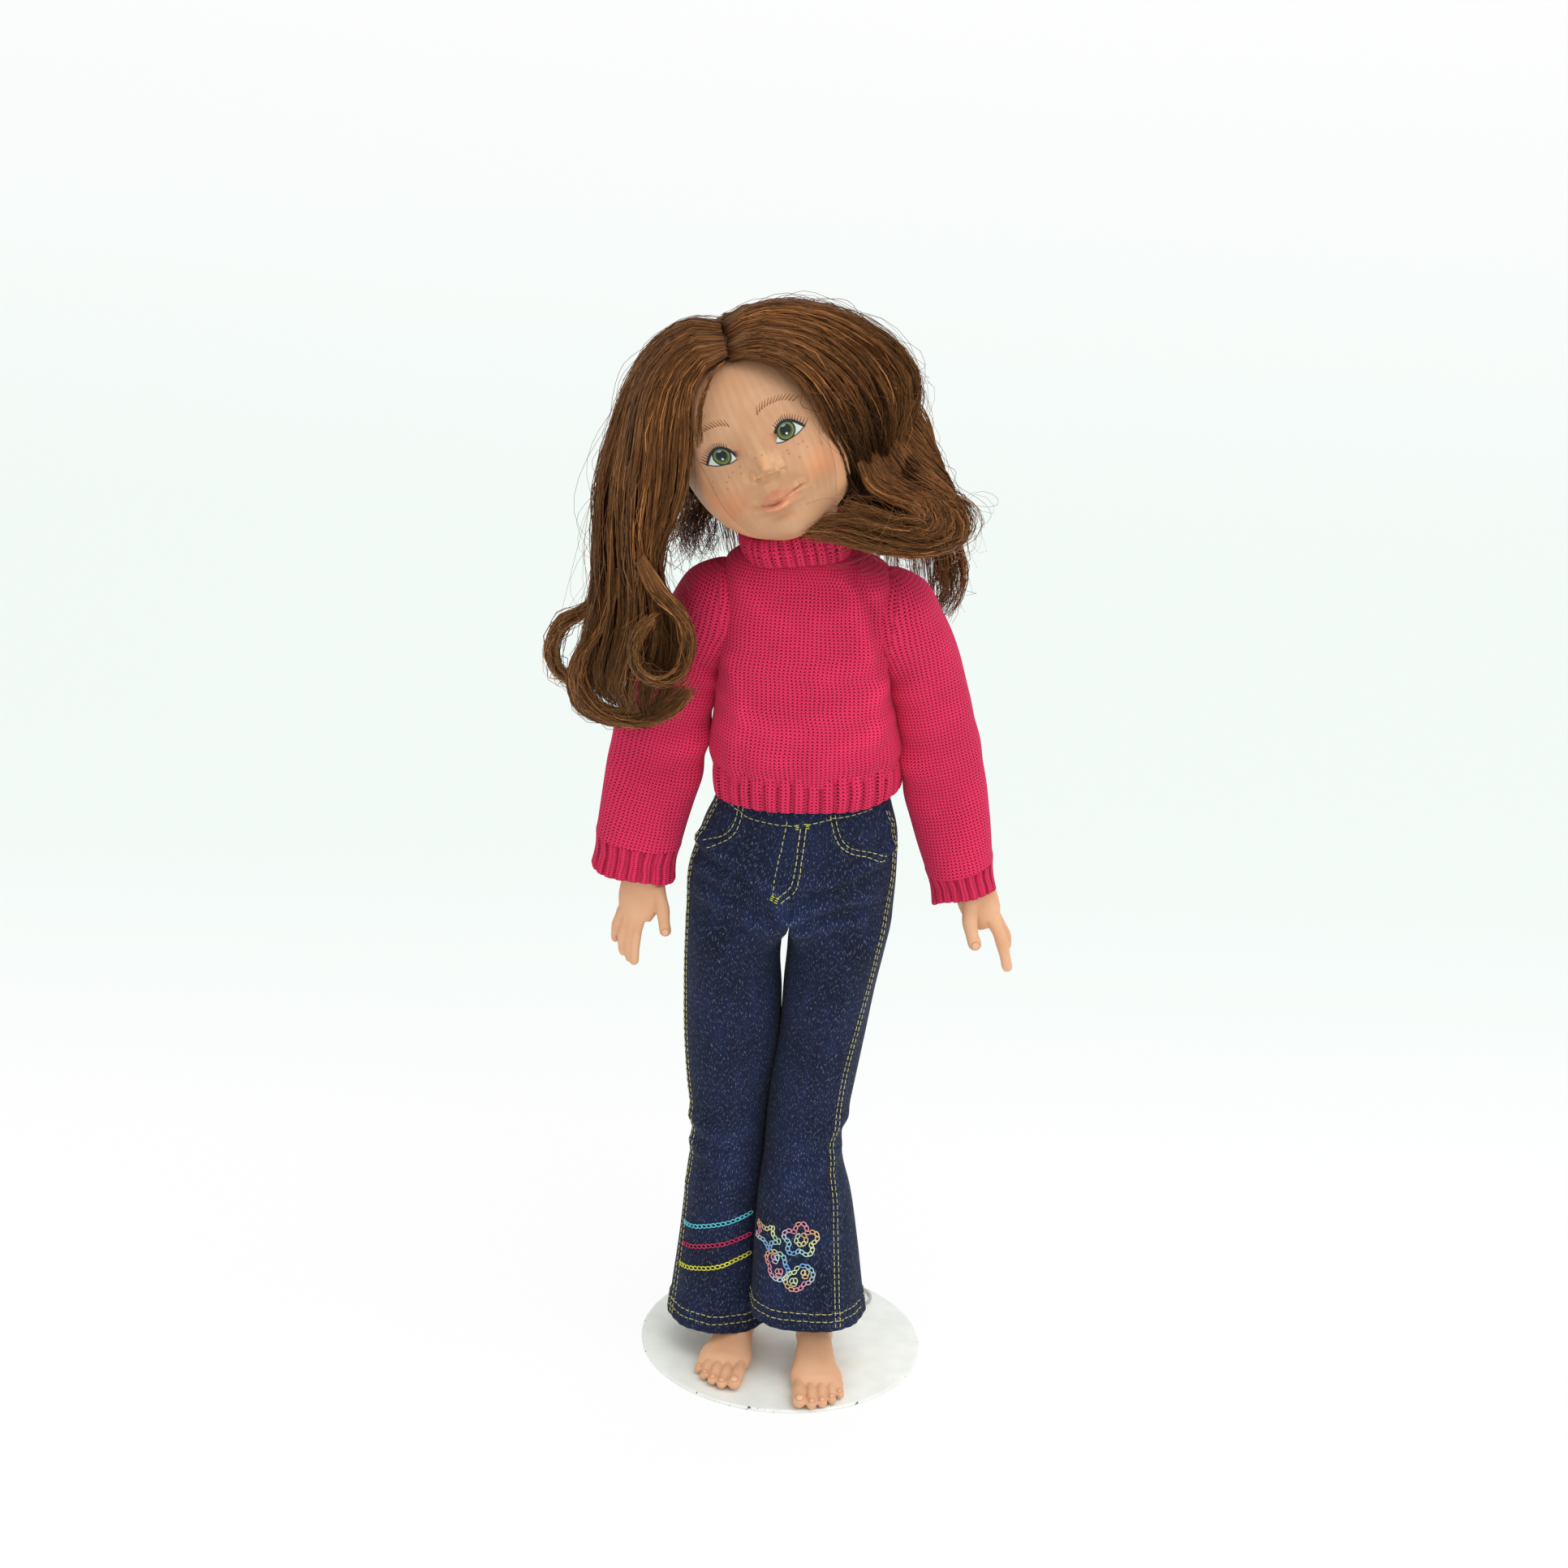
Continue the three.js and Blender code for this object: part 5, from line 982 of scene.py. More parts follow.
for side in (LEFT, RIGHT):
    beads = leg_stitches(side) + seat_stitches(side)
    for line in (FLY_INNER, FLY_OUTER, FLY_EDGE[1:], WAIST_SEAM):
        beads += seam_line(side, line)
    for bar in BARTACKS:
        for shift in (-0.8, 0.0, 0.8):
            beads += seam_line(side, beside(softened(bar, 8), shift), colour=LEMON, length=1.3)
    made = piece(f"topstitching_{WORD[side]}", beads, THREAD)
    hang_from_hip(made)

# %% [markdown]
# ## Chain-stitch embroidery
# Both trouser legs are decorated in chain stitch: a row of small loops, each growing out of the one
# before. One leg has three plain stripes, the other a star, a flower and a butterfly in thread that
# changes colour along its length. A loop is an oval tube that lies on the cloth, and a row of them
# follows any line drawn as seen from the front.

# %% Chain links on a line
LINK = 2.5
LINK_WIDTH = 1.6
FLOSS_RADIUS = 0.25
PASTELS = [hex_colour(c) for c in ("#fa9cc6", "#fbbf90", "#fbfbbc", "#c6f8d4", "#86bcfc", "#c2f8fb")]


def chain(points, normals, colours):
    """Oval loops along a dense line, narrow across it, each a little over the next one's start."""
    run = travelled(points)
    count = max(int(round(run[-1] / (0.82 * LINK))), 2)
    at = (np.arange(count) + 0.5) / count * run[-1]
    middle, out = read_along(at, run, points), unit(read_along(at, run, normals))
    way = unit(read_along(at + 0.4, run, points) - read_along(at - 0.4, run, points))
    aside = np.cross(out, way)
    turn = full_turn(10)[None, :, None]
    pear = LINK_WIDTH / 2 * sin(turn) * (1 - 0.25 * cos(turn))
    lay = LINK / 2 * cos(turn) * way[:, None] + pear * aside[:, None]
    path = middle[:, None] + lay + out[:, None] * (0.25 + 0.2 * cos(turn))
    rings = wrapped(np.concatenate([path, path[:, :1]], 1), out[:, None], FLOSS_RADIUS, 5)[:, :-1]
    shade = np.clip(chance.normal(1, 0.08, count), 0.8, 1.2)[:, None]
    tint = np.concatenate([colours(at)[:, :3] * shade, np.ones((count, 1))], 1)
    return many(rings, loop=True, tint=tint)


def plain(colour):
    """The same colour all along a line."""
    return lambda at: np.tile(hex_colour(colour), (len(at), 1))


def variegated(start):
    """Pastel colours that follow each other every 7 mm of thread."""
    knots = np.arange(13) * 7.0
    wheel = np.array(PASTELS)[(np.arange(13) + start) % len(PASTELS)]
    return lambda at: read_along(at % 42, knots, wheel)


def embroidered(side, line, colours):
    """Chain stitch along a line (x, z) on the front of one leg."""
    return chain(*line_on_half(side, line, back=False), colours)


# %% Stripes and motifs
STRIPES = [("#6fe2f2", [(-36.6, 60.2), (-23.7, 65), (-8, 69.6)]),
           ("#dc3468", [(-36.6, 50.9), (-23.3, 55.8), (-8, 59.7)]),
           ("#fbf74e", [(-37.8, 40.9), (-22.8, 45.8), (-7.8, 50.9)])]


def petals(middle, radius, swing, count, turned=0.0):
    """A closed ring of round petals: radius + swing * |cos(half of count * angle)|."""
    angle = np.linspace(0, 2 * pi, 121)
    r = radius + swing * np.abs(cos(count / 2 * (angle - turned)))
    return np.stack([middle[0] + r * sin(angle), middle[1] + r * cos(angle)], -1)


def star(middle, radius, inner, turned):
    """A closed five-pointed star: straight lines between points at two distances from the middle."""
    angle = turned + np.arange(11) * pi / 5
    r = np.where(np.arange(11) % 2, inner, radius)
    corner = np.stack([middle[0] + r * sin(angle), middle[1] + r * cos(angle)], -1)
    return read_along(np.linspace(0, 10, 61), np.arange(11), corner)


def oval(middle, long, short):
    """A closed ellipse with its long axis upright."""
    angle = np.linspace(0, 2 * pi, 41)
    return np.stack([middle[0] + short * sin(angle), middle[1] + long * cos(angle)], -1)


stripes = [embroidered(RIGHT, line, plain(colour)) for colour, line in STRIPES]
flower = [petals((12.2, 67.4), 4.1, 3.2, 5), petals((12.5, 67.4), 1.6, 0.8, 5, 0.6)]
wings = [petals((3.4, 55), 2.9, 3.1, 2, -0.35), petals((12.6, 50.8), 2.9, 3.3, 2, 0.85)]
dots = [oval((2.4, 58), 1.4, 1.1), oval((4.2, 52.4), 1.2, 1.0),
        oval((14.9, 52.9), 1.4, 1.1), oval((10.4, 48.9), 1.2, 1.0)]
motifs = flower + [star((-1.4, 66), 5.6, 2.6, 0.4)] + wings + dots
pictures = [embroidered(LEFT, line, variegated(start)) for start, line in enumerate(motifs)]
for side, rows in ((RIGHT, stripes), (LEFT, pictures)):
    made = piece(f"chain_stitch_{WORD[side]}", rows, THREAD)
    hang_from_hip(made)

# %% [markdown]
# ## Pullover
# The pullover is knitted in pieces: a body, two sleeves set into its armholes, and ribbed bands for hem,
# cuffs and roll collar. A section of the body is an ellipse that gets squarer towards the shoulders. Ribs
# are real grooves, because they show at the outline: round a band, a rib is a plateau two stitches wide
# with a narrow channel beside it.

# %% Body of the pullover
# Columns: height, half width, half depth, boxiness of the section.
BODY_SHAPE = np.array([
    [266, 36.4, 28.6, 2.3], [270.2, 37.6, 29.6, 2.3], [275, 38.6, 30.6, 2.35], [282, 37.9, 30, 2.4],
    [291.2, 36, 28.6, 2.7], [300.2, 34.6, 28, 3], [309.2, 33.6, 27.4, 3.6], [329.2, 33.2, 24.8, 4.2],
    [343.2, 33, 20.6, 4], [349.2, 31.6, 19, 3], [353.2, 26.6, 17.8, 2.4], [356.4, 19.5, 16.5, 2],
])
BODY_GIRTH = 214
BODY_BACK = 1.5
SHOULDER = 329.2
TORSO_LEAN = 4.4
HEM_SLOPE = 0.075
# Each fold: points (x, z) seen from the front, height and half width of the ridge.
BODY_FOLDS = [
    ([(17.5, 354), (21.2, 346), (25.8, 337), (28.8, 326), (31, 312)], -1.5, 2.0),
    ([(13.5, 350), (17, 343), (21, 334), (24, 322)], 1.1, 2.6),
    ([(33, 318), (28, 300), (29, 284)], 1.3, 3.0),
    ([(31, 326), (22, 316), (8, 312)], 0.8, 4.0),
    ([(30, 305), (18, 296), (6, 294)], 0.9, 4.2),
    ([(33, 292), (22, 284), (10, 281)], 0.8, 3.6),
    ([(-30, 316), (-24, 300), (-25, 286)], 1.2, 3.2),
    ([(-31, 300), (-18, 290), (-4, 287)], 0.9, 4.0),
    ([(-31, 286), (-20, 279), (-8, 277)], 0.7, 3.4),
    ([(26, 345), (14, 338), (4, 334)], 0.7, 3.6),
    ([(-28, 345), (-18, 337), (-8, 333)], 0.7, 3.6),
]


def tipped(x, z):
    """How far the pullover's hem end is pulled up to the left: HEM_SLOPE of X, fading above the band."""
    return HEM_SLOPE * x * eased(292, 270, z)


def lean_at(z):
    """How far the torso's middle stands to the left: nothing at the chest, all of TORSO_LEAN at the hem."""
    return TORSO_LEAN * eased(318, 254, z)


def pullover(angle, place):
    """Outside of the body: angle round it, from +X towards the back, and place along its rows, 0 to 1."""
    knots = np.arange(len(BODY_SHAPE), dtype=float)
    at = place * knots[-1]
    z, half, deep, box = (flow(knots, BODY_SHAPE[:, k], at) for k in range(4))
    x = half * boxed(cos(angle), box)
    y = deep * boxed(sin(angle), box)
    back = BODY_BACK * eased(349, 252, z)
    front = eased(0.15, -0.3, sin(angle))
    lift = folded_relief(x, z, BODY_FOLDS) * front
    gather = eased(290, 272, z)
    lift = lift + gather * (0.5 * cos(13 * angle + 0.4) + 0.3 * cos(21 * angle))
    wrinkle = cos(0.16 * z + 2.2 * np.abs(cos(angle))) * hill(z, 298, 18)
    lift = lift + 0.8 * (1 - front) * wrinkle
    out = unit(np.stack([x / half**2, y / deep**2], -1)) * lift[..., None]
    aside = lean_at(z) - 3.0 * eased(345, 357, z)
    return np.stack([x + out[..., 0] + aside, y + out[..., 1] + back, z + tipped(x, z)], -1)


def knit_uv(rows_at, columns, girth):
    """UV in millimetres: distance along the piece against a fixed girth, so columns run along it."""
    u = np.linspace(0, girth, columns + 1)[None].repeat(len(rows_at), 0)
    return np.stack([u, np.broadcast_to(rows_at[:, None], u.shape)], -1)


def even_angles(columns, section):
    """Angles that cut a section into equal lengths, so that stitches are as wide in front as at the side.

    The section is first measured at fine steps that crowd round each quarter turn, where a boxy one bends
    most.
    """
    share = (1 - cos(pi * np.linspace(0, 1, 513)[:-1])) / 2
    share = (1 - cos(pi * share)) / 2
    fine = np.concatenate([quarter + share for quarter in range(4)] + [[4]]) * pi / 2
    length = travelled(section(fine))
    return np.interp(np.linspace(0, length[-1], columns, endpoint=False), length, fine)


def pullover_body(rows=170, columns=300):
    """The body as a skin, stitches of equal width in each row, with painted highlight and shade on folds."""
    place = np.linspace(0, 1, rows)
    angle = np.stack([even_angles(columns, lambda fine: pullover(fine, row + 0 * fine)) for row in place])
    points = pullover(angle, place[:, None])
    climb = travelled(points[:, columns * 3 // 4])
    front = eased(0.15, -0.3, sin(angle))
    # Fold ridges are painted lighter and fold grooves darker, as painted highlight and shade.
    relief = folded_relief(points[..., 0], points[..., 2], BODY_FOLDS) * front
    return skin(points, uv=knit_uv(climb, columns, BODY_GIRTH), tint=shaded(0.97 + 0.1 * relief))


# %% Ribbed bands
HEM_HALF_WIDTH, HEM_HALF_DEPTH, HEM_BOX = 36.7, 29.0, 2.3
COLLAR_HALF_WIDTH, COLLAR_HALF_DEPTH, COLLAR_BASE = 18.6, 18.2, 354.6
COLLAR_GIRTH, COLLAR_ROUND = 126, 36


def rib(angle, count):
    """1 on a rib and 0 in its channel: an eased step of a cosine that makes ribs wider than channels."""
    return eased(-0.7, 0.1, cos(count * angle) + 0.2)


def hem_section(angle, lift=0.0):
    """The hem's outline, a slightly squared ellipse that is moved outwards by a lift."""
    x = (HEM_HALF_WIDTH + lift) * boxed(cos(angle), HEM_BOX)
    return np.stack([x, (HEM_HALF_DEPTH + lift) * boxed(sin(angle), HEM_BOX)], -1)


def hem_band(rows=46, columns=608, count=38):
    """The hem: from inside, round the cast-off edge, up the outside to the body, with its ribs."""
    angle = even_angles(columns, hem_section)[None]
    edge = np.linspace(pi, 2 * pi, 11)
    inset = np.concatenate([[-3.4, -3.2], -1.5 + 1.5 * cos(edge), np.zeros(rows - 13)])
    z = np.concatenate([[266, 261], 257.6 + 1.6 * sin(edge), np.linspace(258.2, 271.4, rows - 13)])
    inset, z = inset[:, None], z[:, None]
    outside = eased(-2.4, -0.4, inset)
    ribs = rib(full_turn(columns)[None], count)
    swell = 0.8 * sin(pi * np.clip((z - 257) / 14, 0, 1))
    lift = inset + outside * (1.15 * ribs - 0.75) * eased(272.4, 269.5, z)
    lift = lift + outside * 0.35 * cos(7 * angle + 1)
    x, y = np.moveaxis(hem_section(angle, swell + lift), -1, 0)
    drop = -0.9 * eased(0.2, -1, sin(angle)) + 0.5 * cos(3 * angle)
    drop = drop * eased(271, 259, z) + tipped(x, z)
    points = np.stack([x + lean_at(z), y + BODY_BACK, z + drop], -1)
    # Rib channels and the inside of the band are painted darker, as painted shade.
    tint = shaded((0.76 + 0.26 * ribs) * (0.75 + 0.25 * outside))
    return skin(points, uv=knit_uv(z[:, 0], columns, BODY_GIRTH), tint=tint)


def roll_collar(rows=60, columns=480, count=30):
    """The roll collar: a rounded section carried round the neck, leaning with the head, ribbed outside."""
    turn, angle = full_turn(rows)[:, None], full_turn(columns)[None]
    across, height = boxed(cos(turn), 2.6), boxed(sin(turn), 2.6)
    rise = 0.5 + 0.5 * height
    outer = eased(-0.2, 0.6, cos(turn))
    tall = 14.0 + 2.5 * cos(angle) + 1.2 * sin(angle - 0.6)
    lift = 2.9 * across + outer * (1.1 * rib(angle, count) - 0.5) + 0.5 * cos(4 * angle + 2) * outer
    lean = -4.5 - 3.5 * rise
    x = (COLLAR_HALF_WIDTH + lift - 0.9 * rise) * cos(angle) + lean
    y = (COLLAR_HALF_DEPTH + lift - 0.6 * rise) * sin(angle) - 1.0 - 1.0 * rise
    z = COLLAR_BASE + 0.12 * x + tall * rise + 0.7 * sin(3 * angle)
    # Rib channels and the inside of the roll are painted darker, as painted shade.
    tint = shaded((0.78 + 0.24 * rib(angle, count)) * (0.7 + 0.3 * outer))
    points = np.stack([x, y, z], -1)
    points, tint = np.concatenate([points, points[:1]]), np.concatenate([tint, tint[:1]])
    uv = knit_uv(np.linspace(0, COLLAR_ROUND, rows + 1), columns, COLLAR_GIRTH)
    return skin(points, uv=uv, tint=tint, flip=False)


# %% Sleeves and cuffs
SLEEVE_SPREAD = {LEFT: 0.214, RIGHT: 0.155}
CUFF_TILT = {LEFT: 0.3, RIGHT: 0.14}
CUFF_PITCH = {LEFT: 5.0, RIGHT: 0.5}
# Columns: depth below the shoulder, middle out of the armhole, half width.
SLEEVE_SHAPE = {
    LEFT: [[0, 9, 13], [22, 15, 15.4], [46, 20.6, 16.0], [63, 24.6, 16.0], [76, 27.5, 15.5],
           [89, 30.8, 14.6], [100, 33.6, 13.2], [118, 37.3, 12.1]],
    RIGHT: [[0, 9, 13], [24, 15.6, 17.4], [52, 21.4, 18.4], [70, 24, 18.6], [83, 26.4, 18.0],
            [98, 29, 17.0], [118, 31, 16.5]],
}
SLEEVE_DEPTH = {LEFT: 14.6, RIGHT: 14.0}
ARMHOLE = 33.0
SLEEVE_LENGTH = {LEFT: 99.5, RIGHT: 96.0}
CUFF_LENGTH = 15.0
CUFF_GIRTH, CUFF_ROUND = 92, 40
# Rings over the shoulder, in the columns of sleeve_rings.
SHOULDER_CAP = np.array([[-4, -19, -4, 19.4, 0, 18.6], [-1.6, -20, 0.8, 20, 0, 20],
                         [-2.0, -21, 12, 15.6, 0, 19.6], [-2.0, -23, 21, 2, 0, 18.4]])


def sleeve_middle(side, below):
    """The sleeve's middle at a depth below the shoulder: how far out of the armhole, and its Y."""
    return table_at(SLEEVE_SHAPE[side], below)[0], flow([0, 62, 114, 130], [0, 0, -5, -6], below)


def sleeve_rings(side, depths):
    """For each ring of the sleeve: inner edge, outer edge (out of the armhole, above the shoulder), Y and
    half depth.

    The first rings stand in the armhole and turn over the shoulder, and the rest hang square to the arm.
    """
    spread = SLEEVE_SPREAD[side]
    out, y = sleeve_middle(side, depths)
    share = depths / SLEEVE_LENGTH[side]
    width = table_at(SLEEVE_SHAPE[side], depths)[1] * (1 - 0.03 * cos(5 * pi * share))
    tilt = width * (spread * 0.9 + (CUFF_TILT[side] - spread * 0.9) * eased(0.6, 1, share))
    deep = SLEEVE_DEPTH[side] + 0 * y
    hang = np.stack([out - width, -depths - tilt, out + width, -depths + tilt, y, deep], -1)
    return np.concatenate([SHOULDER_CAP, hang])


def sleeve_uv(side, points):
    """UV in millimetres round and along a line down the sleeve, so stitch columns hang with the arm."""
    out, y = sleeve_middle(side, SLEEVE_LENGTH[side])
    top = np.array([side * (ARMHOLE + 3), 0, SHOULDER + 20])
    low = np.array([side * (ARMHOLE + float(out)), float(y), SHOULDER - SLEEVE_LENGTH[side]])
    way = unit(low - top)
    aside = unit(np.cross(way, [0, side, 0]))
    closed = np.concatenate([points, points[:, :1]], 1) - top
    turn = np.unwrap(np.arctan2(closed @ np.cross(way, aside), closed @ aside), axis=1)
    return np.stack([SLEEVE_DEPTH[side] * 1.06 * turn, -closed @ way], -1)


def sleeve_skin(side, rows=190, columns=170):
    """The sleeve, with creases at elbow and armpit: waves along it that fade round its outer side."""
    rings = sleeve_rings(side, SLEEVE_LENGTH[side] * np.array([0.33, 0.52, 0.71, 0.9, 1.02]))
    reach = travelled((rings[:, :2] + rings[:, 2:4]) / 2)
    at = np.linspace(0, reach[-1], rows)
    x0, z0, x1, z1, y, deep = flow(reach, rings, at).T[:, :, None]
    angle = full_turn(columns)[None]
    c, s = boxed(cos(angle), 2.15), boxed(sin(angle), 2.15)
    share = at[:, None] / reach[-1]
    inner = eased(0.6, -0.8, cos(angle))
    elbow = cos(34 * share + 1.5 * sin(angle)) * hill(share, 0.55, 0.16) * (0.3 + 0.7 * inner)
    armpit = cos(26 * share + 2 * sin(angle + 0.5)) * hill(share, 0.26, 0.1) * inner
    slack = cos(2 * angle + 9 * share) * eased(0.25, 0.5, share)
    crease = 0.9 * elbow + 1.0 * armpit + 0.5 * slack
    half_x, half_z = (x1 - x0) / 2, (z1 - z0) / 2
    grow = 1 + crease / np.hypot(half_x, half_z)
    x = side * (ARMHOLE + (x0 + x1) / 2 + half_x * c * grow)
    points = np.stack([x, y + deep * s * grow, SHOULDER + (z0 + z1) / 2 + half_z * c * grow], -1)
    # Crease ridges are painted lighter and crease hollows darker, as painted highlight and shade.
    return skin(points, uv=sleeve_uv(side, points), tint=shaded(0.97 + 0.1 * crease))


def cuff_skin(side, rows=40, columns=320, count=20):
    """A ribbed cuff: down the outside from the sleeve, round the cast-off edge and up the inside."""
    start = SLEEVE_LENGTH[side]
    stop = start + CUFF_LENGTH
    depth = np.linspace(start - 1, stop, rows - 14)
    edge = np.linspace(0, pi, 11)
    lining_depth = start + np.array([9, 4, 0, -4])
    below = np.concatenate([depth, stop + 1.1 * sin(edge[1:]), lining_depth])[:, None]
    inset = np.concatenate([0 * depth, -1.0 + 1.0 * cos(edge[1:]), [-2.0, -2.2, -2.4, -2.6]])[:, None]
    angle = full_turn(columns)[None]
    outside = eased(-1.6, -0.3, inset)
    ribs = rib(angle, count)
    wide = table_at(SLEEVE_SHAPE[side], below)[1]
    waist = 1 - 0.05 * sin(pi * np.clip((below - start) / CUFF_LENGTH, 0, 1))
    lift = inset + outside * (1.0 * ribs - 0.6) * eased(start - 1, start + 1.5, below)
    out, y = sleeve_middle(side, below)
    c, s = cos(angle), sin(angle)
    width = wide * waist + lift
    x = side * (ARMHOLE + out + width * c)
    z = SHOULDER - below + width * CUFF_TILT[side] * c
    z = z + (0.6 * cos(3 * angle + side) - CUFF_PITCH[side] * s) * eased(start, stop, below)
    points = np.stack([x, y + (SLEEVE_DEPTH[side] * waist + lift) * s, z], -1)
    # Rib channels and the inside of the cuff are painted darker, as painted shade.
    tint = shaded((0.76 + 0.26 * ribs) * (0.7 + 0.3 * outside))
    return skin(points, uv=knit_uv(np.linspace(0, CUFF_ROUND, len(below)), columns, CUFF_GIRTH), tint=tint)


def knitted(name, shape, body, node):
    """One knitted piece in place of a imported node, riding on a body."""
    made = piece(name, [shape], KNIT)
    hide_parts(node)
    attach(made, body)


knitted("pullover_front_and_back", pullover_body(), "trunk", "pullover_body")
knitted("ribbed_hem", hem_band(), "trunk", "pullover_hem")
knitted("ribbed_roll_collar", roll_collar(), "trunk", "pullover_collar")
for side in (LEFT, RIGHT):
    knitted(f"knitted_sleeve_{WORD[side]}", sleeve_skin(side), f"arm_{WORD[side]}", f"sleeve_{WORD[side]}")
    knitted(f"ribbed_cuff_{WORD[side]}", cuff_skin(side), f"arm_{WORD[side]}", f"cuff_{WORD[side]}")

# %% [markdown]
# ## Hands and feet
# Each limb is one vinyl casting. A hand or a foot is easiest to think of as a bundle of tubes: a palm,
# five fingers, a wrist. Laid over each other they are melted into one skin by a voxel remesh, the same
# way a sculptor joins rolls of clay and smooths the joins. The rest of the limb is out of sight in its
# sleeve or trouser leg.

# %% Melting tubes into one skin
def digit(places, first, last):
    """A finger or toe: a smooth tube through the places, thinner to its round tip, with soft knuckles."""
    reach = travelled(places)
    at = np.linspace(0, reach[-1], 30)
    radius = first + (last - first) * at / reach[-1]
    radius = radius * (1 + 0.05 * cos(2 * pi * at / reach[-1] * 2.2))
    left = np.clip((reach[-1] - at) / (1.1 * last), 0, 1)
    return tube(flow(reach, places, at), radius * np.sqrt(np.maximum(1 - (1 - left) ** 2, 0.02)), 18)


def melted(skins, voxel, passes):
    """One skin over overlapping skins: a voxel remesh of their union, then smoothing, as plain arrays."""
    rough = piece("clay", skins, LIMB_VINYL)
    rough.data.transform(Matrix.Scale(1 / MM, 4))
    remesh = rough.modifiers.new("melt", "REMESH")
    remesh.mode = "VOXEL"
    remesh.voxel_size = voxel
    smooth = rough.modifiers.new("soften", "SMOOTH")
    smooth.factor, smooth.iterations = 0.5, passes
    shape = rough.evaluated_get(bpy.context.evaluated_depsgraph_get()).to_mesh()
    points = np.zeros(3 * len(shape.vertices), np.float32)
    shape.vertices.foreach_get("co", points)
    corners = np.zeros(len(shape.loops), np.int32)
    shape.loops.foreach_get("vertex_index", corners)
    bpy.data.objects.remove(rough)
    points, quads = points.reshape(-1, 3).astype(float), corners.reshape(-1, 4)
    no_tris, no_uv, bare = np.zeros((0, 3), int), np.zeros((0, 3, 2)), np.zeros((len(points), 4))
    return mesh_parts(points, quads, np.zeros((len(quads), 4, 2)), no_tris, no_uv, bare)


def bare_tube(places, radii):
    """A closed tube through places with radii, of bare vinyl."""
    reach = travelled(places)
    at = np.linspace(0, reach[-1], 60)
    return tube(flow(reach, places, at), flow(reach, radii, at), 40, tint=np.zeros(4))


# Nails are moulded in the limbs' own vinyl: a paler plate as painted highlight, a darker rim as painted shade
# in the groove.
NAIL_GROOVE_SHADE, NAIL_PLATE_HIGHLIGHT = hex_colour("#a9633f")[:3], hex_colour("#efc0a0")[:3]


def with_nails(shape, nails):
    """Paints nails (place, radius) by distance: painted highlight on the plate, painted shade at its edge."""
    for place, radius in nails:
        away = np.linalg.norm(shape["points"] - place, axis=1)
        plate, edge = eased(radius + 0.1, radius - 0.3, away), hill(away, radius, 0.28)
        cover = np.maximum(0.5 * plate, 0.6 * edge)[:, None]
        colour = np.where((edge > plate)[:, None], NAIL_GROOVE_SHADE, NAIL_PLATE_HIGHLIGHT)
        shape["tint"] = np.where(cover > 0.02, np.concatenate([colour, cover], 1), shape["tint"])
    return shape


# %% Hands
# Nails: place and radius. Palms: path, half widths, half depths. Fingers: path, first and last radius.
NAILS = {LEFT: [((75.3, -18.6, 198.6), 1.7)], RIGHT: [((-49.2, -15.2, 195.6), 1.5)]}
PALM = {RIGHT: ([(-59.5, -5, 234), (-60, -5, 226), (-59, -6, 216), (-60, -8, 207), (-62, -9, 199)],
                [5.4, 6, 8.5, 9, 6.8], [5.4, 5.5, 5, 4.2, 3.2]),
        LEFT: ([(71.5, -5, 235), (73, -5, 227), (74.5, -6, 216), (77.5, -7, 209), (80.5, -7, 203.5)],
               [5.4, 6, 8.2, 7.6, 5], [5.4, 5.5, 5, 4.5, 3.6])}
FINGERS = {
    RIGHT: [([(-67, -8, 202), (-69.3, -9, 195), (-69.7, -8, 190), (-69.2, -6.5, 186.8)], 2.1, 1.5),
            ([(-65, -9, 200), (-66.6, -11, 192), (-66.3, -11, 186), (-65.4, -10, 182.5)], 2.2, 1.7),
            ([(-62.8, -9.5, 199), (-63.8, -12, 190), (-63.3, -12.5, 184), (-62.8, -12, 180.5)], 2.3, 1.8),
            ([(-60, -9.5, 198.5), (-61.2, -13, 190), (-61.2, -14, 184), (-61.5, -14, 180)], 2.4, 1.8),
            ([(-53.5, -8, 212), (-50.8, -11.5, 204), (-49.6, -13, 197), (-48.8, -13, 193)], 3.2, 2.2)],
    LEFT: [([(72, -10, 216), (72.5, -14, 206), (74.6, -15.5, 199), (76, -16, 195.8)], 3.4, 2.5),
           ([(81.5, -9, 207), (85.2, -11, 200), (87.3, -11.5, 193), (88.9, -11, 187), (89.6, -10.5, 185)],
            3.0, 2.0),
           ([(83, -4, 206), (87.5, -3, 198), (88.8, 1, 192), (88.5, 4, 189)], 2.4, 1.8),
           ([(82, 0, 205), (86, 3, 198), (86.5, 7, 193)], 2.2, 1.7),
           ([(80, 3, 206), (83.5, 7.5, 200), (83.5, 10.5, 196)], 2.0, 1.5)],
}
ARM_DEPTHS = np.array([2, 18, 38, 60, 80, 96])
ARM_RADII = [9.5, 9, 8.4, 7.4, 6.2, 5.2]


def hand(side):
    """Palm and fingers melted together."""
    path, wide, thick = PALM[side]
    reach = np.linspace(0, 1, len(path))
    at = np.linspace(0, 1, 40)
    palm = tube(flow(reach, path, at), flow(reach, wide, at), 32, flat=flow(reach, thick, at))
    return with_nails(melted([palm] + [digit(*finger) for finger in FINGERS[side]], 0.42, 5), NAILS[side])


for side in (LEFT, RIGHT):
    out, ahead = sleeve_middle(side, ARM_DEPTHS)
    path = np.stack([side * (ARMHOLE + out), ahead, SHOULDER - ARM_DEPTHS], -1)
    path[-1] = PALM[side][0][0]
    upper = bare_tube(path, ARM_RADII)
    made = piece(f"vinyl_arm_{WORD[side]}", [upper, hand(side)], LIMB_VINYL)
    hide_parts(f"arm_{WORD[side]}")
    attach(made, f"arm_{WORD[side]}")

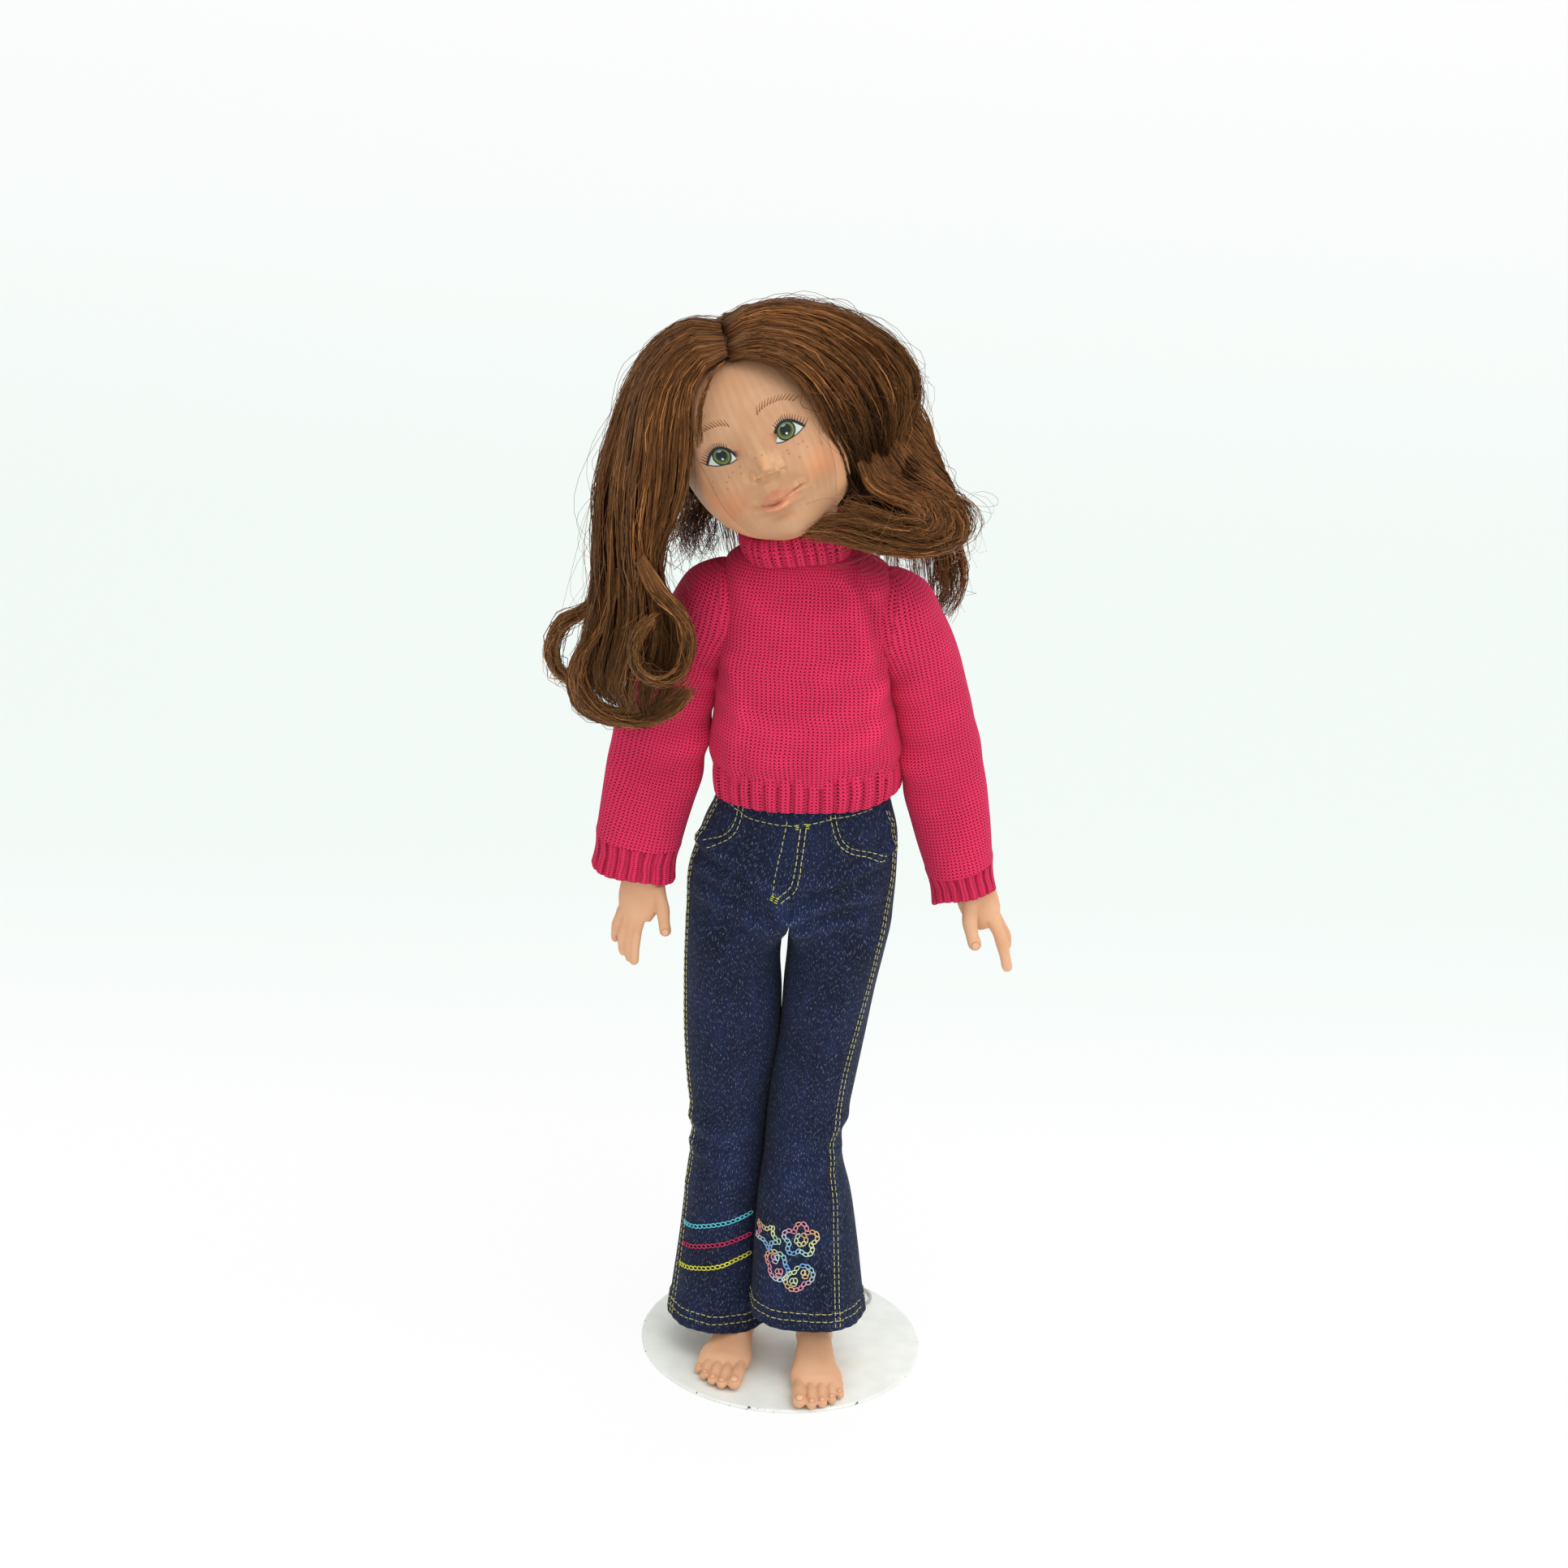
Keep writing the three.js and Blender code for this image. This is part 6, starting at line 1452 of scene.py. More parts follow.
# %% Feet
ANKLE = {LEFT: (20.5, -11.0), RIGHT: (-11.0, 1.0)}
FOOT_TURN = {LEFT: np.radians(4), RIGHT: np.radians(-12)}
SOLE = 2.2
# Columns: place along the foot, middle aside, half width, underside, top.
FOOT_SHAPE = np.array([
    [11.5, 0, 2.5, 5, 10], [9.5, 0, 5.2, 2.9, 17], [3, 0, 7.2, 2.2, 25], [-8, -0.4, 7.2, 2.6, 22.5],
    [-18, -0.6, 9.0, 2.5, 14.6], [-24, -0.2, 10.8, 2.2, 11.4], [-28.5, 0, 10.2, 2.3, 9.4],
    [-31.5, 0.2, 8.4, 2.8, 6.6],
])
# Each toe: place aside, radius, tip and root along the foot.
TOES = [(-8.0, 2.7, -44, -27), (-2.9, 2.05, -44.3, -27), (1.5, 1.95, -42.5, -26), (5.6, 1.85, -39.5, -24),
        (9.2, 1.75, -35, -21)]
LEG = {LEFT: [(19, 0, 226), (19, 0, 212), (16, -1, 165), (12.5, -4, 105), (15.5, -6, 78), (20.3, -10.5, 40)],
       RIGHT: [(-19, 0, 226), (-19, 0, 212), (-20, 0, 165), (-20, 0, 105), (-17.5, 0, 78), (-11.6, 1.4, 40)]}
LEG_RADII = [12, 15, 14, 10.5, 10.5, 7.4]
SHIN = [(0, -1, 12), (0, -0.5, 22), (0, 0, 32), (0, 1, 46)]
SHIN_RADII = [7.8, 7.2, 6.8, 6.6]


def from_foot(points, side):
    """Places given along the foot, with the big toe's side first, turned and moved to the ankle."""
    x, y, z = np.moveaxis(np.asarray(points, float), -1, 0)
    turn = FOOT_TURN[side]
    across = ANKLE[side][0] + side * x * cos(turn) - y * sin(turn)
    ahead = ANKLE[side][1] + side * x * sin(turn) + y * cos(turn)
    return np.stack([across, ahead, z], -1)


def foot(side):
    """Sole and instep as rounded sections along the foot, with ankle and toes, melted together."""
    reach = np.linspace(0, 1, len(FOOT_SHAPE))
    y, aside, wide, low, high = flow(reach, FOOT_SHAPE, np.linspace(0, 1, 60)).T[:, :, None]
    angle = full_turn(40)[None]
    x = aside + wide * boxed(cos(angle), 2.5)
    z = (low + high) / 2 + (high - low) / 2 * boxed(sin(angle), 2.4)
    body = skin(from_foot(np.stack([x, y + 0 * x, z], -1), side), caps=(True, True))
    knots, at = np.arange(4), np.linspace(0, 3, 30)
    ankle = tube(from_foot(flow(knots, SHIN, at), side), flow(knots, SHIN_RADII, at), 32)
    toes, nails = [], []
    for aside, radius, tip, root in TOES:
        path = [(aside * 0.92, root, 6.2), (aside, (root + tip) / 2, 5.6),
                (aside, tip + 3.4, SOLE + radius * 1.15), (aside, tip, SOLE + radius)]
        toes.append(digit(from_foot(path, side), radius * 0.92, radius * 1.05))
        nails.append((from_foot((aside, tip + 1.9, SOLE + radius * 2.1), side), radius * 0.62))
    return with_nails(melted([body, ankle] + toes, 0.4, 2), nails)


for side in (LEFT, RIGHT):
    upper = bare_tube(LEG[side], LEG_RADII)
    made = piece(f"vinyl_leg_{WORD[side]}", [upper, foot(side)], LIMB_VINYL)
    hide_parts(f"leg_{WORD[side]}")
    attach(made, f"leg_{WORD[side]}")

# %% [markdown]
# ## Head
# The head is one vinyl casting, leaning on its neck. Its shape is an egg, ring over ring, with the face
# modelled as hills and hollows on its front: each is a round bump of a height, a place and two spreads,
# and together they make nose, cheeks, lips and chin. The paint is a colour for each point with a cover
# from 0 to 1, so the grid is finest where the paint is finest, a fifth of a millimetre on the face.

# %% The head's own frame
HEAD_PLACE = np.array([-5.8, 0.0, 367.7])
HEAD_LEAN, HEAD_TURN = np.radians(-26), np.radians(3)


def on_head(points):
    """Points in the head's own millimetres, turned about its upright, leaned about Y, put on the neck."""
    x, y, z = np.moveaxis(points, -1, 0)
    across = x * cos(HEAD_TURN) - y * sin(HEAD_TURN)
    depth = x * sin(HEAD_TURN) + y * cos(HEAD_TURN)
    leaned = across * cos(HEAD_LEAN) + z * sin(HEAD_LEAN)
    height = z * cos(HEAD_LEAN) - across * sin(HEAD_LEAN)
    return np.stack([leaned, depth, height], -1) + HEAD_PLACE


# %% Egg and features
# Columns: height, half width, half depth, middle in Y.
SKULL = np.array([[3, 9.5, 9, -24], [6, 18.5, 20, -15.5], [11.6, 26, 28, -10.5], [19.4, 31.2, 34, -5],
                  [28.7, 34, 38.1, -1.5], [39.7, 35, 40.6, 0.5], [51.4, 35, 41.4, 2], [62.3, 32.5, 39, 3],
                  [71.6, 25.9, 32, 4], [77.9, 15.8, 20.5, 4], [81, 4.9, 7, 4]])
EGG = 2.1
# Each feature: height, place (x, z), spreads (x, z). Those in pairs are mirrored. Single: ball of the
# nose, its base and bridge, muzzle, two lips, groove above them, shade under the nose, chin, hollow over
# the chin and two corners of the mouth.
SINGLE_FEATURES = [
    (5.4, (0.5, 35.8), (3.3, 3.1)), (0.8, (0.3, 35), (6.5, 5)), (0.3, (0.2, 41.5), (4, 6)),
    (1.5, (1, 24), (12, 9)), (2.6, (0.8, 23.0), (6.6, 1.9)), (3.0, (-0.6, 18.9), (5.6, 1.5)),
    (-0.5, (0.8, 27.6), (1.4, 2.2)), (-1.3, (0.4, 30.2), (4.5, 1.2)), (2.5, (0, 8), (8, 5.5)),
    (-1.8, (-0.5, 15.2), (6, 1.7)), (-2.2, (-9.2, 21.5), (1.8, 1.8)), (-2.2, (11.7, 23.8), (1.6, 1.6)),
]
# Paired: wings of the nose, the dips beside them, nostrils, eye sockets, eyeballs, inner corners, brows
# and cheeks.
PAIRED_FEATURES = [
    (3.5, (4.6, 33.3), (1.7, 1.7)), (-0.9, (7.0, 33.6), (1.3, 2.2)), (-2.0, (3.7, 31.4), (1.2, 0.8)),
    (-1.6, (13.4, 44.5), (7.5, 5.5)), (1.2, (13.3, 44.3), (5, 3.6)), (-0.1, (5.5, 43.5), (3.2, 4)),
    (0.6, (12, 55), (9, 4)), (4.4, (18.0, 26.5), (9.0, 8.0)),
]
MOUTH_LINE = ([-7.4, -4.4, -0.8, 2, 5.4, 8.5, 11.2], [20.9, 20.4, 20.2, 20.9, 22.4, 22.8, 23.3])


def between(low, high, at, soft):
    """1 between low and high with an eased edge of the given softness."""
    return eased(low - soft, low + soft, at) * eased(high + soft, high - soft, at)


def relief(x, z):
    """How far the face stands out of the egg: the sum of its features, less a groove along the mouth."""
    out = sum(h * bump(x, z, place, spread) for h, place, spread in SINGLE_FEATURES)
    out = out + sum(h * bump(np.abs(x), z, place, spread) for h, place, spread in PAIRED_FEATURES)
    return out - hill(z, flow(*MOUTH_LINE, x), 0.65) * between(-7.2, 11.0, x, 1.0)


def egg_place(z, angle, proud=0.0):
    """Point of the egg at a height and an angle round it, with the face's relief where it looks forward."""
    wide, deep, middle = table_at(SKULL, z)
    jaw = 2.0 * np.clip((60 - z) / 25, 0, 1)
    x = jaw + (wide + proud) * boxed(cos(angle), EGG)
    y = middle + (deep + proud) * boxed(sin(angle), EGG)
    front = eased(0.0, 0.5, -sin(angle))
    return np.stack([x, y - front * relief(x, z), z + 0 * x], -1)


# %% Face paint
FRECKLES = [(4.3, 40.5), (4.5, 38.1), (1.4, 40), (-1.4, 39.9), (10.7, 37.3), (10.8, 36), (7.4, 35.8),
            (13.9, 33.2), (18, 35.1), (17.2, 37.6), (15.3, 37.5), (-8.2, 38.4), (-11.7, 37.2), (-8.8, 35.8),
            (-13.8, 35.8), (-20.3, 35.4), (-15.1, 34.3), (-21.8, 33.3), (-15.9, 32)]
UPPER_LID = ([7.6, 9.0, 11, 13.6, 16.6, 19.8], [41.6, 44.7, 46.8, 47.5, 46.0, 42.1])
LOWER_LID = ([7.6, 10, 13.5, 17, 19.8], [41.6, 40.8, 40.7, 41.1, 42.1])
IRIS, IRIS_RADIUS, PUPIL_RADIUS = (13.05, 44.1), 3.7, 2.1
BROW = ([6.1, 9, 13.5, 18, 21.2], [55.9, 56.9, 56.7, 55.2, 52.6])
UPPER_LIP = ([-7.0, -5.2, -2.6, 0.8, 2.6, 6.5, 9.6], [21.0, 23.3, 24.9, 25.6, 24.7, 24.3, 23.0])
LOWER_LIP = ([-7.0, -5.6, -2.9, 0.5, 4.6, 7.9, 9.6], [20.8, 19.0, 17.6, 17.4, 19.0, 20.9, 22.7])


def painted(tint, colour, cover):
    """Lays a colour over the paint so far: cover is what the new coat hides of it."""
    cover = cover[..., None]
    alpha = tint[..., 3:] + cover - tint[..., 3:] * cover
    mixed = tint[..., :3] * tint[..., 3:] * (1 - cover) + np.array(hex_colour(colour)[:3]) * cover
    return np.concatenate([mixed / np.maximum(alpha, 1e-6), alpha], -1)


def brushed(x, z, start, end, width):
    """Cover of one brush stroke: full within the width at its start, thinning to a point at its end."""
    line = np.subtract(end, start)
    share = np.clip(((x - start[0]) * line[0] + (z - start[1]) * line[1]) / np.dot(line, line), 0, 1)
    off = np.hypot(x - start[0] - share * line[0], z - start[1] - share * line[1])
    return eased(width + 0.1, width * 0.5, off / np.maximum(1 - 0.7 * share, 0.1))


def near_curve(x, z, curve):
    """Distance from a curve z(x): the height above it divided by the length of its slope."""
    rise = (flow(*curve, x + 0.1) - flow(*curve, x - 0.1)) / 0.2
    return (z - flow(*curve, x)) / np.hypot(1, rise)


def paint_eyes(tint, x, z):
    """Both eyes: white, iris with dark rim and painted lid shadow, pupil, two glints, lid lines and lashes.
    """
    a = np.abs(x)
    over, under = near_curve(a, z, UPPER_LID), near_curve(a, z, LOWER_LID)
    open_eye = eased(0.1, -0.1, over) * eased(-0.1, 0.1, under) * between(7.6, 19.8, a, 0.1)
    away = np.hypot(a - IRIS[0], z - IRIS[1])
    tint = painted(tint, "#dde4dc", open_eye)
    tint = painted(tint, "#16220f", open_eye * eased(IRIS_RADIUS + 0.12, IRIS_RADIUS - 0.1, away))
    tint = painted(tint, "#858f45", open_eye * eased(IRIS_RADIUS - 0.5, IRIS_RADIUS - 0.9, away))
    tint = painted(tint, "#49541f", open_eye * 0.9 * eased(2.85, 2.3, away))
    # The iris's top, under the upper lid, is painted darker: a painted shadow of the lid.
    tint = painted(tint, "#5f7a35", open_eye * 0.7 * eased(45.4, 47.4, z) * eased(3.3, 3.0, away))
    pupil = np.hypot(a - IRIS[0], z - IRIS[1] - 0.5)
    tint = painted(tint, "#0c151d", open_eye * eased(PUPIL_RADIUS + 0.12, PUPIL_RADIUS - 0.1, pupil))
    glint = bump(x - np.sign(x) * IRIS[0], z, (-0.1, 46.3), (1.05, 0.42))
    tint = painted(tint, "#9fb0bb", open_eye * eased(0.35, 0.7, glint) * 0.85)
    spark = np.hypot(x - np.sign(x) * IRIS[0] + 0.1, z - 43.1)
    tint = painted(tint, "#ffffff", open_eye * eased(0.5, 0.28, spark))
    lid = eased(0.7, 0.4, np.abs(over - 0.15)) * between(7.9, 20.0, a, 0.2)
    lid = np.maximum(lid, 0.9 * eased(0.38, 0.16, np.abs(under)) * between(7.9, 19.8, a, 0.2))
    for root in np.linspace(10.2, 19.8, 15):
        foot = (root, flow(*UPPER_LID, root))
        reach = 2.3 + 0.4 * (root > 13)
        away_x = 0.12 * (root - 12.5)
        tip = (root + reach * away_x, foot[1] + reach * (1 - 0.35 * abs(away_x)))
        lid = np.maximum(lid, brushed(a, z, foot, tip, 0.34))
    return painted(tint, "#14181b", lid)


def paint_brows(tint, x, z):
    """Two brows, each of thirteen short slanted strokes that lie down towards the temple."""
    cover = np.zeros_like(x)
    for share in np.linspace(0, 1, 13):
        at = 6.3 + 14.6 * share
        middle = flow(*BROW, at)
        half = np.array([0.45 + 0.85 * share, 1.5 - 1.3 * share])
        for side in (LEFT, RIGHT):
            start = (side * (at - half[0]), middle - half[1])
            end = (side * (at + half[0]), middle + half[1])
            cover = np.maximum(cover, brushed(x, z, start, end, 0.29))
    return painted(tint, "#8c3c0e", cover)


def paint_mouth(tint, x, z):
    """Two lips between their outlines, with a dark line where they meet."""
    line = flow(*MOUTH_LINE, x)
    lips = between(-6.8, 9.4, x, 0.2)
    upper = eased(0.15, -0.15, z - flow(*UPPER_LIP, x)) * eased(-0.1, 0.1, z - line) * lips
    lower = eased(-0.15, 0.15, z - flow(*LOWER_LIP, x)) * eased(0.1, -0.1, z - line) * lips
    tint = painted(tint, "#d98c69", 0.9 * upper)
    tint = painted(tint, "#ee9f78", 0.9 * lower)
    meet = eased(0.42, 0.12, np.abs(z - line)) * between(-6.8, 10.6, x, 0.7)
    return painted(tint, "#7a3d2b", 0.75 * meet)


def face_paint(points):
    """All the paint on the casting: blush, freckles, eyes, brows, mouth, painted nostril shade and dark
    scalp.
    """
    x, y, z = np.moveaxis(points, -1, 0)
    ahead = eased(-6, -12, y)
    tint = np.zeros((*x.shape, 4))
    blush = bump(x, z, (20.0, 27.2), (6.6, 6.2)) + bump(x, z, (-18, 25.2), (7, 6.6))
    tint = painted(tint, "#dd8052", ahead * 0.6 * blush)
    for place in FRECKLES:
        flat = np.where(ahead > 0, np.hypot(x - place[0], z - place[1]), 99)
        depth = y - y.ravel()[flat.argmin()]
        tint = painted(tint, "#9c6243", 0.6 * eased(0.55, 0.25, np.hypot(flat, depth)))
    # The nostrils are painted dark, as painted shade in their hollows.
    nostrils = eased(0.4, 0.85, bump(np.abs(x), z, (3.6, 31.9), (1.4, 0.8)))
    tint = painted(tint, "#7c4630", ahead * 0.85 * nostrils)
    tint = paint_mouth(tint, x, z)
    tint = paint_eyes(tint, x, z)
    tint = paint_brows(tint, x, z)
    tint[..., 3] = tint[..., 3] * ahead
    scalp = np.maximum(eased(-2, 3, y) * eased(30, 34, z), eased(72, 75, z))
    return painted(tint, "#2a180d", scalp)


# %% The cast head
def head_skin():
    """The egg on a grid fine on the face: columns even in X in front, even in angle round the back."""
    chin, face = np.linspace(3, 16, 26)[:-1], np.linspace(16, 60, 221)[:-1]
    z = np.concatenate([chin, face, 3 + 78 * sin(np.linspace(0.818, pi / 2, 26))])
    across = np.linspace(-24, 24, 221)
    front = -np.arccos(boxed(across / 35, 2 / EGG * 2))[::-1]
    back = np.linspace(front[-1], front[0] + 2 * pi, 81)[1:-1]
    points = egg_place(z[:, None], np.concatenate([front, back])[None])
    return skin(on_head(points), caps=(True, True), tint=face_paint(points))


def net_cap(rows=60, columns=120):
    """The cap under the wig: the egg again, 1 mm proud, kept behind the hairline."""
    z = 3 + 77.6 * sin(np.linspace(0.28, pi / 2, rows))[:, None]
    points = egg_place(z, full_turn(columns)[None], proud=1.0)
    keep = (points[:-1, :, 1] > -4) | (points[:-1, :, 2] > 75)
    return skin(on_head(points), caps=(False, True), keep=keep)


made = piece("wig_net_cap", [net_cap()], braid("nylon_wig_net_dyed", "#4a3322", "#1c110a", 1.4))
net = made.modifiers.new("net", "SOLIDIFY")
net.thickness = 0.5 * MM
net.offset = 1
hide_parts("wig_cap")
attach(made, "head")
made = piece("painted_head_casting", [head_skin()], SHADED_FACE_VINYL)
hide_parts("head_shell")
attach(made, "head")

# %% [markdown]
# ## Wig
# The wig is long brown fibre sewn to a net cap in rows and parted to one side. Each lock is a fan of
# strands between a few chosen guide curves, which run from the parting to the tips. A strand takes its
# place between two guides, leans towards the middle of its tuft as it nears its tip, sways a little and
# is filled in towards the lock's core. A darker lining, painted shade for the inside of the hair,
# closes each lock from inside, so that no scalp shows between strands.

# %% Wig fibre
def wig_fibre():
    """Brown glossy fibre streaked strand by strand, tips faded, under a mesh tint that holds painted shade.
    """
    material, tree, shader = finish("heat_set_nylon_wig_fibre")
    # The first place of the map differs for each strand, the second runs from root to tip.
    cut = cloth_place(tree)
    streak = noise(tree, mapped(tree, cut, (140, 2.5, 1)), 1.0, 2.0)
    colour = mixed(tree, ranged(tree, streak, 0.32, 0.68), "#2c170c", "#9c683c")
    tip = ranged(tree, parts(tree, cut)[1], 0.6, 1.0, 0.0, 0.45)
    wire(tree, shader, {
        "Base Color": tinted(tree, mixed(tree, tip, colour, "#a07548")),
        "Roughness": 0.36,
        "Specular IOR Level": 0.6,
        "Specular Tint": hex_colour("#d8a67c"),
    })
    return material


FIBRE = wig_fibre()
STRAND_RADIUS = 0.2
print("made", FIBRE.name)


# %% Strands between guides
def even(points, count):
    """A smooth curve through chosen points, as points at even steps of its length."""
    reach = travelled(points)
    fine = flow(reach, points, np.linspace(0, reach[-1], 8 * count))
    length = travelled(fine)
    return read_along(np.linspace(0, length[-1], count), length, fine)


def fan(guides, share, count):
    """Curves between the guides: share 0 is the first guide and 1 the last, changing smoothly across."""
    sheet = np.stack([even(guide, count) for guide in guides])
    knots = np.linspace(0, 1, len(guides))
    return flow(knots, sheet.reshape(len(guides), -1), share).reshape(len(share), count, 3)


def lock(guides, core, count, rows, tufts, pull=0.6, fill=0.45, sway=1.0, stray=0.06, ragged=0.16,
         thick=STRAND_RADIUS, tip_shade=0.0):
    """Strands of one lock: fan of guides, drawn to tufts and into the core, with a sway that grows to the
    tips.

    pull is how far a strand is drawn to its tuft and fill how far into the core, stray the share of wild
    strands, ragged how uneven their ends are, and thick their radius. The last argument darkens the
    tips of a lock that is tucked in or hangs in shade, as painted shade.
    """
    share = chance.random(count)
    home = (np.floor(share * tufts) + 0.5) / tufts
    dense = 64
    own, tuft = fan(guides, share, dense), fan(guides, home, dense)
    t = np.linspace(0, 1, dense)[None, :, None]
    drawn = own + (tuft - own) * pull * t**1.5
    depth = chance.random(count)[:, None, None] ** 2 * fill
    drawn = drawn + (even(core, dense)[None] - drawn) * depth
    wild = 1 + 4 * (chance.random(count) < stray)[:, None, None]
    phase = 2 * pi * chance.random((count, 3))[:, None, :]
    turns = 1.5 + 2.5 * chance.random((count, 1, 3))
    drawn = drawn + sway * wild * (0.15 + t**1.3) * 0.8 * sin(2 * pi * turns * t + phase)
    tuft_phase = sin(np.outer(home, [91.7, 57.3, 33.1]) * 17)[:, None, :] * pi
    drawn = drawn + sway * 1.3 * t * sin(5 * t + tuft_phase) - sway * 1.3 * t * sin(tuft_phase)
    end = 1 - ragged * chance.random(count) ** 2
    at = np.linspace(0, 1, rows)[None] * end[:, None] * (dense - 1)
    low = np.minimum(at.astype(int), dense - 2)
    part = (at - low)[..., None]
    picked = np.arange(count)[:, None]
    path = drawn[picked, low] * (1 - part) + drawn[picked, low + 1] * part
    along = np.linspace(0, 1, rows)
    thick = thick * (0.7 + 0.6 * chance.random(count))[:, None] * (1 - 0.65 * along**3)
    rings = wrapped(path, np.array([0.31, -0.8, 0.51]), thick, 3)
    # Strands deeper in the lock are painted darker, as painted shade inside the hair.
    level = 0.62 + 0.38 * (1 - depth[:, 0, 0] / max(fill, 0.01))
    level = level * (0.85 + 0.3 * sin(home * 977) ** 2)
    streaks = chance.random(6 * tufts)[(share * 6 * tufts).astype(int)]
    level = level * (0.3 + 1.25 * streaks) * (1 + 1.3 * (chance.random(count) < 0.1))
    # Tips of a lock that is tucked in or hangs in shade are painted darker: painted shade.
    level = level[:, None] * (1 - tip_shade * eased(0.5, 0.85, along))
    return many(rings, tint=shaded(level), mark=chance.random(count))


def lining(guides, core, outer, inner, start=0.0, end=1.0):
    """A closed flat body inside a lock: its fan drawn to the core by outer and by inner, and joined."""
    rows, columns = 40, 26
    sheet = fan(guides, np.linspace(0.08, 0.96, columns), rows)
    middle = even(core, rows)[None]
    body = np.concatenate([middle + (sheet - middle) * outer, (middle + (sheet - middle) * inner)[::-1]])
    body = np.swapaxes(body, 0, 1)[int(start * rows) : int(end * rows)]
    # The lining is painted darker still, as painted shade inside the lock.
    return skin(body, caps=(True, True), tint=shaded(np.full(body.shape[:2], 0.7)))


def hairpiece(name, skins, *nodes):
    """One piece of the wig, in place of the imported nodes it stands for, if any, riding on the head."""
    made = piece(name, skins, FIBRE)
    if nodes:
        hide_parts(*nodes)
    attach(made, "head")


# %% [markdown]
# ### Locks
# From the parting the hair falls to the doll's right in one long lock that ends in ringlets, and sweeps
# over the crown to its left, where it is tucked in and flips outwards over the collar. The guides are
# written as places on the doll, in millimetres.

# %% Guides
FALL_CORE = [
    (-42, -4, 434), (-52, -4, 424), (-58, -8, 400), (-66, -12, 376), (-68, -17, 356), (-66, -22, 338),
    (-66, -26, 314), (-66, -26, 300),
]
FALL = [
    [(-35, -27, 439), (-44, -31, 433), (-47, -34, 423), (-46, -35, 410), (-46, -35, 398),
     (-47, -34, 384), (-51, -32, 372), (-55, -30, 360), (-54, -30, 349), (-49, -31, 339),
     (-46, -33, 325), (-48, -34, 311), (-54, -33, 300)],
    [(-37, -18, 442), (-49, -20, 441), (-60, -22, 430), (-65, -24, 415), (-66, -26, 399),
     (-67, -27, 383), (-67, -28, 367), (-66, -30, 354), (-65, -32, 341), (-65, -34, 328),
     (-68, -35, 315), (-70, -34, 302), (-64, -32, 293)],
    [(-39, -4, 445), (-51, -4, 446), (-61, -4, 440), (-70, -4, 428), (-76, -6, 414), (-81, -8, 396),
     (-84, -10, 379), (-84, -13, 364), (-83, -16, 349), (-83, -20, 337), (-85, -23, 324),
     (-86, -24, 310), (-80, -24, 298)],
    [(-39, 6, 443), (-50, 14, 439), (-59, 20, 429), (-67, 24, 415), (-72, 24, 399), (-75, 20, 384),
     (-77, 14, 369), (-77, 6, 356), (-77, -2, 343), (-78, -8, 332), (-79, -12, 321), (-77, -14, 308),
     (-69, -16, 297)],
]
OUTER_CURL = [
    [(-82, -14, 353), (-83, -16, 338), (-87, -15, 332), (-96, -13, 326), (-100, -12, 317),
     (-101, -12, 307), (-95, -14, 300), (-86, -18, 298), (-76, -22, 303)],
    [(-80, -18, 355), (-80, -20, 338), (-85, -20, 329), (-92, -19, 324), (-95, -19, 315),
     (-94, -20, 307), (-87, -22, 304), (-79, -25, 309)],
]
LOWER_CURL = [
    [(-77, -20, 350), (-81, -22, 329), (-89, -22, 315), (-91, -22, 304), (-87, -23, 293),
     (-76, -25, 288), (-63, -28, 288), (-50, -31, 294), (-41, -33, 305)],
    [(-72, -26, 352), (-76, -28, 330), (-83, -28, 316), (-83, -28, 305), (-77, -29, 297),
     (-65, -31, 295), (-53, -34, 301), (-45, -36, 311)],
]
RINGLET = [
    [(-63, -33, 361), (-53, -36, 348), (-45, -39, 340), (-41, -41, 329), (-44, -42, 317),
     (-53, -42, 309), (-62, -42, 312), (-67, -42, 321), (-65, -42, 334), (-57, -42, 341)],
    [(-66, -33, 357), (-58, -37, 344), (-49, -41, 338), (-46, -43, 329), (-48, -44, 319),
     (-55, -44, 314), (-62, -44, 317), (-64, -44, 326), (-60, -44, 335)],
]
CROWN_CORE = [
    (-34, 0, 424), (-24, 0, 424), (-12, 0, 420), (0, 0, 412), (8, 2, 402), (12, 4, 392), (16, 4, 382),
]
CROWN = [
    [(-34, -28, 437), (-26, -32, 440), (-17, -35, 438.6), (-8, -35, 433.5), (-1, -34, 424.5),
     (4, -31, 413), (9, -27, 402), (12, -24, 391), (16, -24, 382)],
    [(-35, -22, 440), (-24, -26, 445), (-12, -28, 444), (0, -27, 436), (10, -24, 423), (16, -20, 408),
     (19, -17, 394), (21, -16, 382)],
    [(-36, -12, 441), (-26, -12, 447), (-12, -12, 447), (3, -11, 442), (16, -9, 431), (24, -6, 415),
     (27, -3, 400), (29, -2, 385)],
    [(-39, 0, 444), (-31, 0, 450), (-18, 0, 454), (-2, 0, 454), (14, 0, 449), (27, 0, 441), (36, 0, 430),
     (38, 2, 419), (35, 4, 407), (34, 4, 396), (34, 4, 383)],
    [(-40, 14, 441), (-30, 22, 443), (-16, 28, 444), (0, 32, 441), (15, 34, 433), (27, 34, 421),
     (35, 30, 408), (39, 26, 397), (41, 22, 386), (41, 20, 374)],
]
BACK_CORE = [
    (-36, 14, 432), (-26, 24, 418), (-18, 28, 396), (-12, 32, 372), (-6, 34, 350), (0, 34, 332),
]
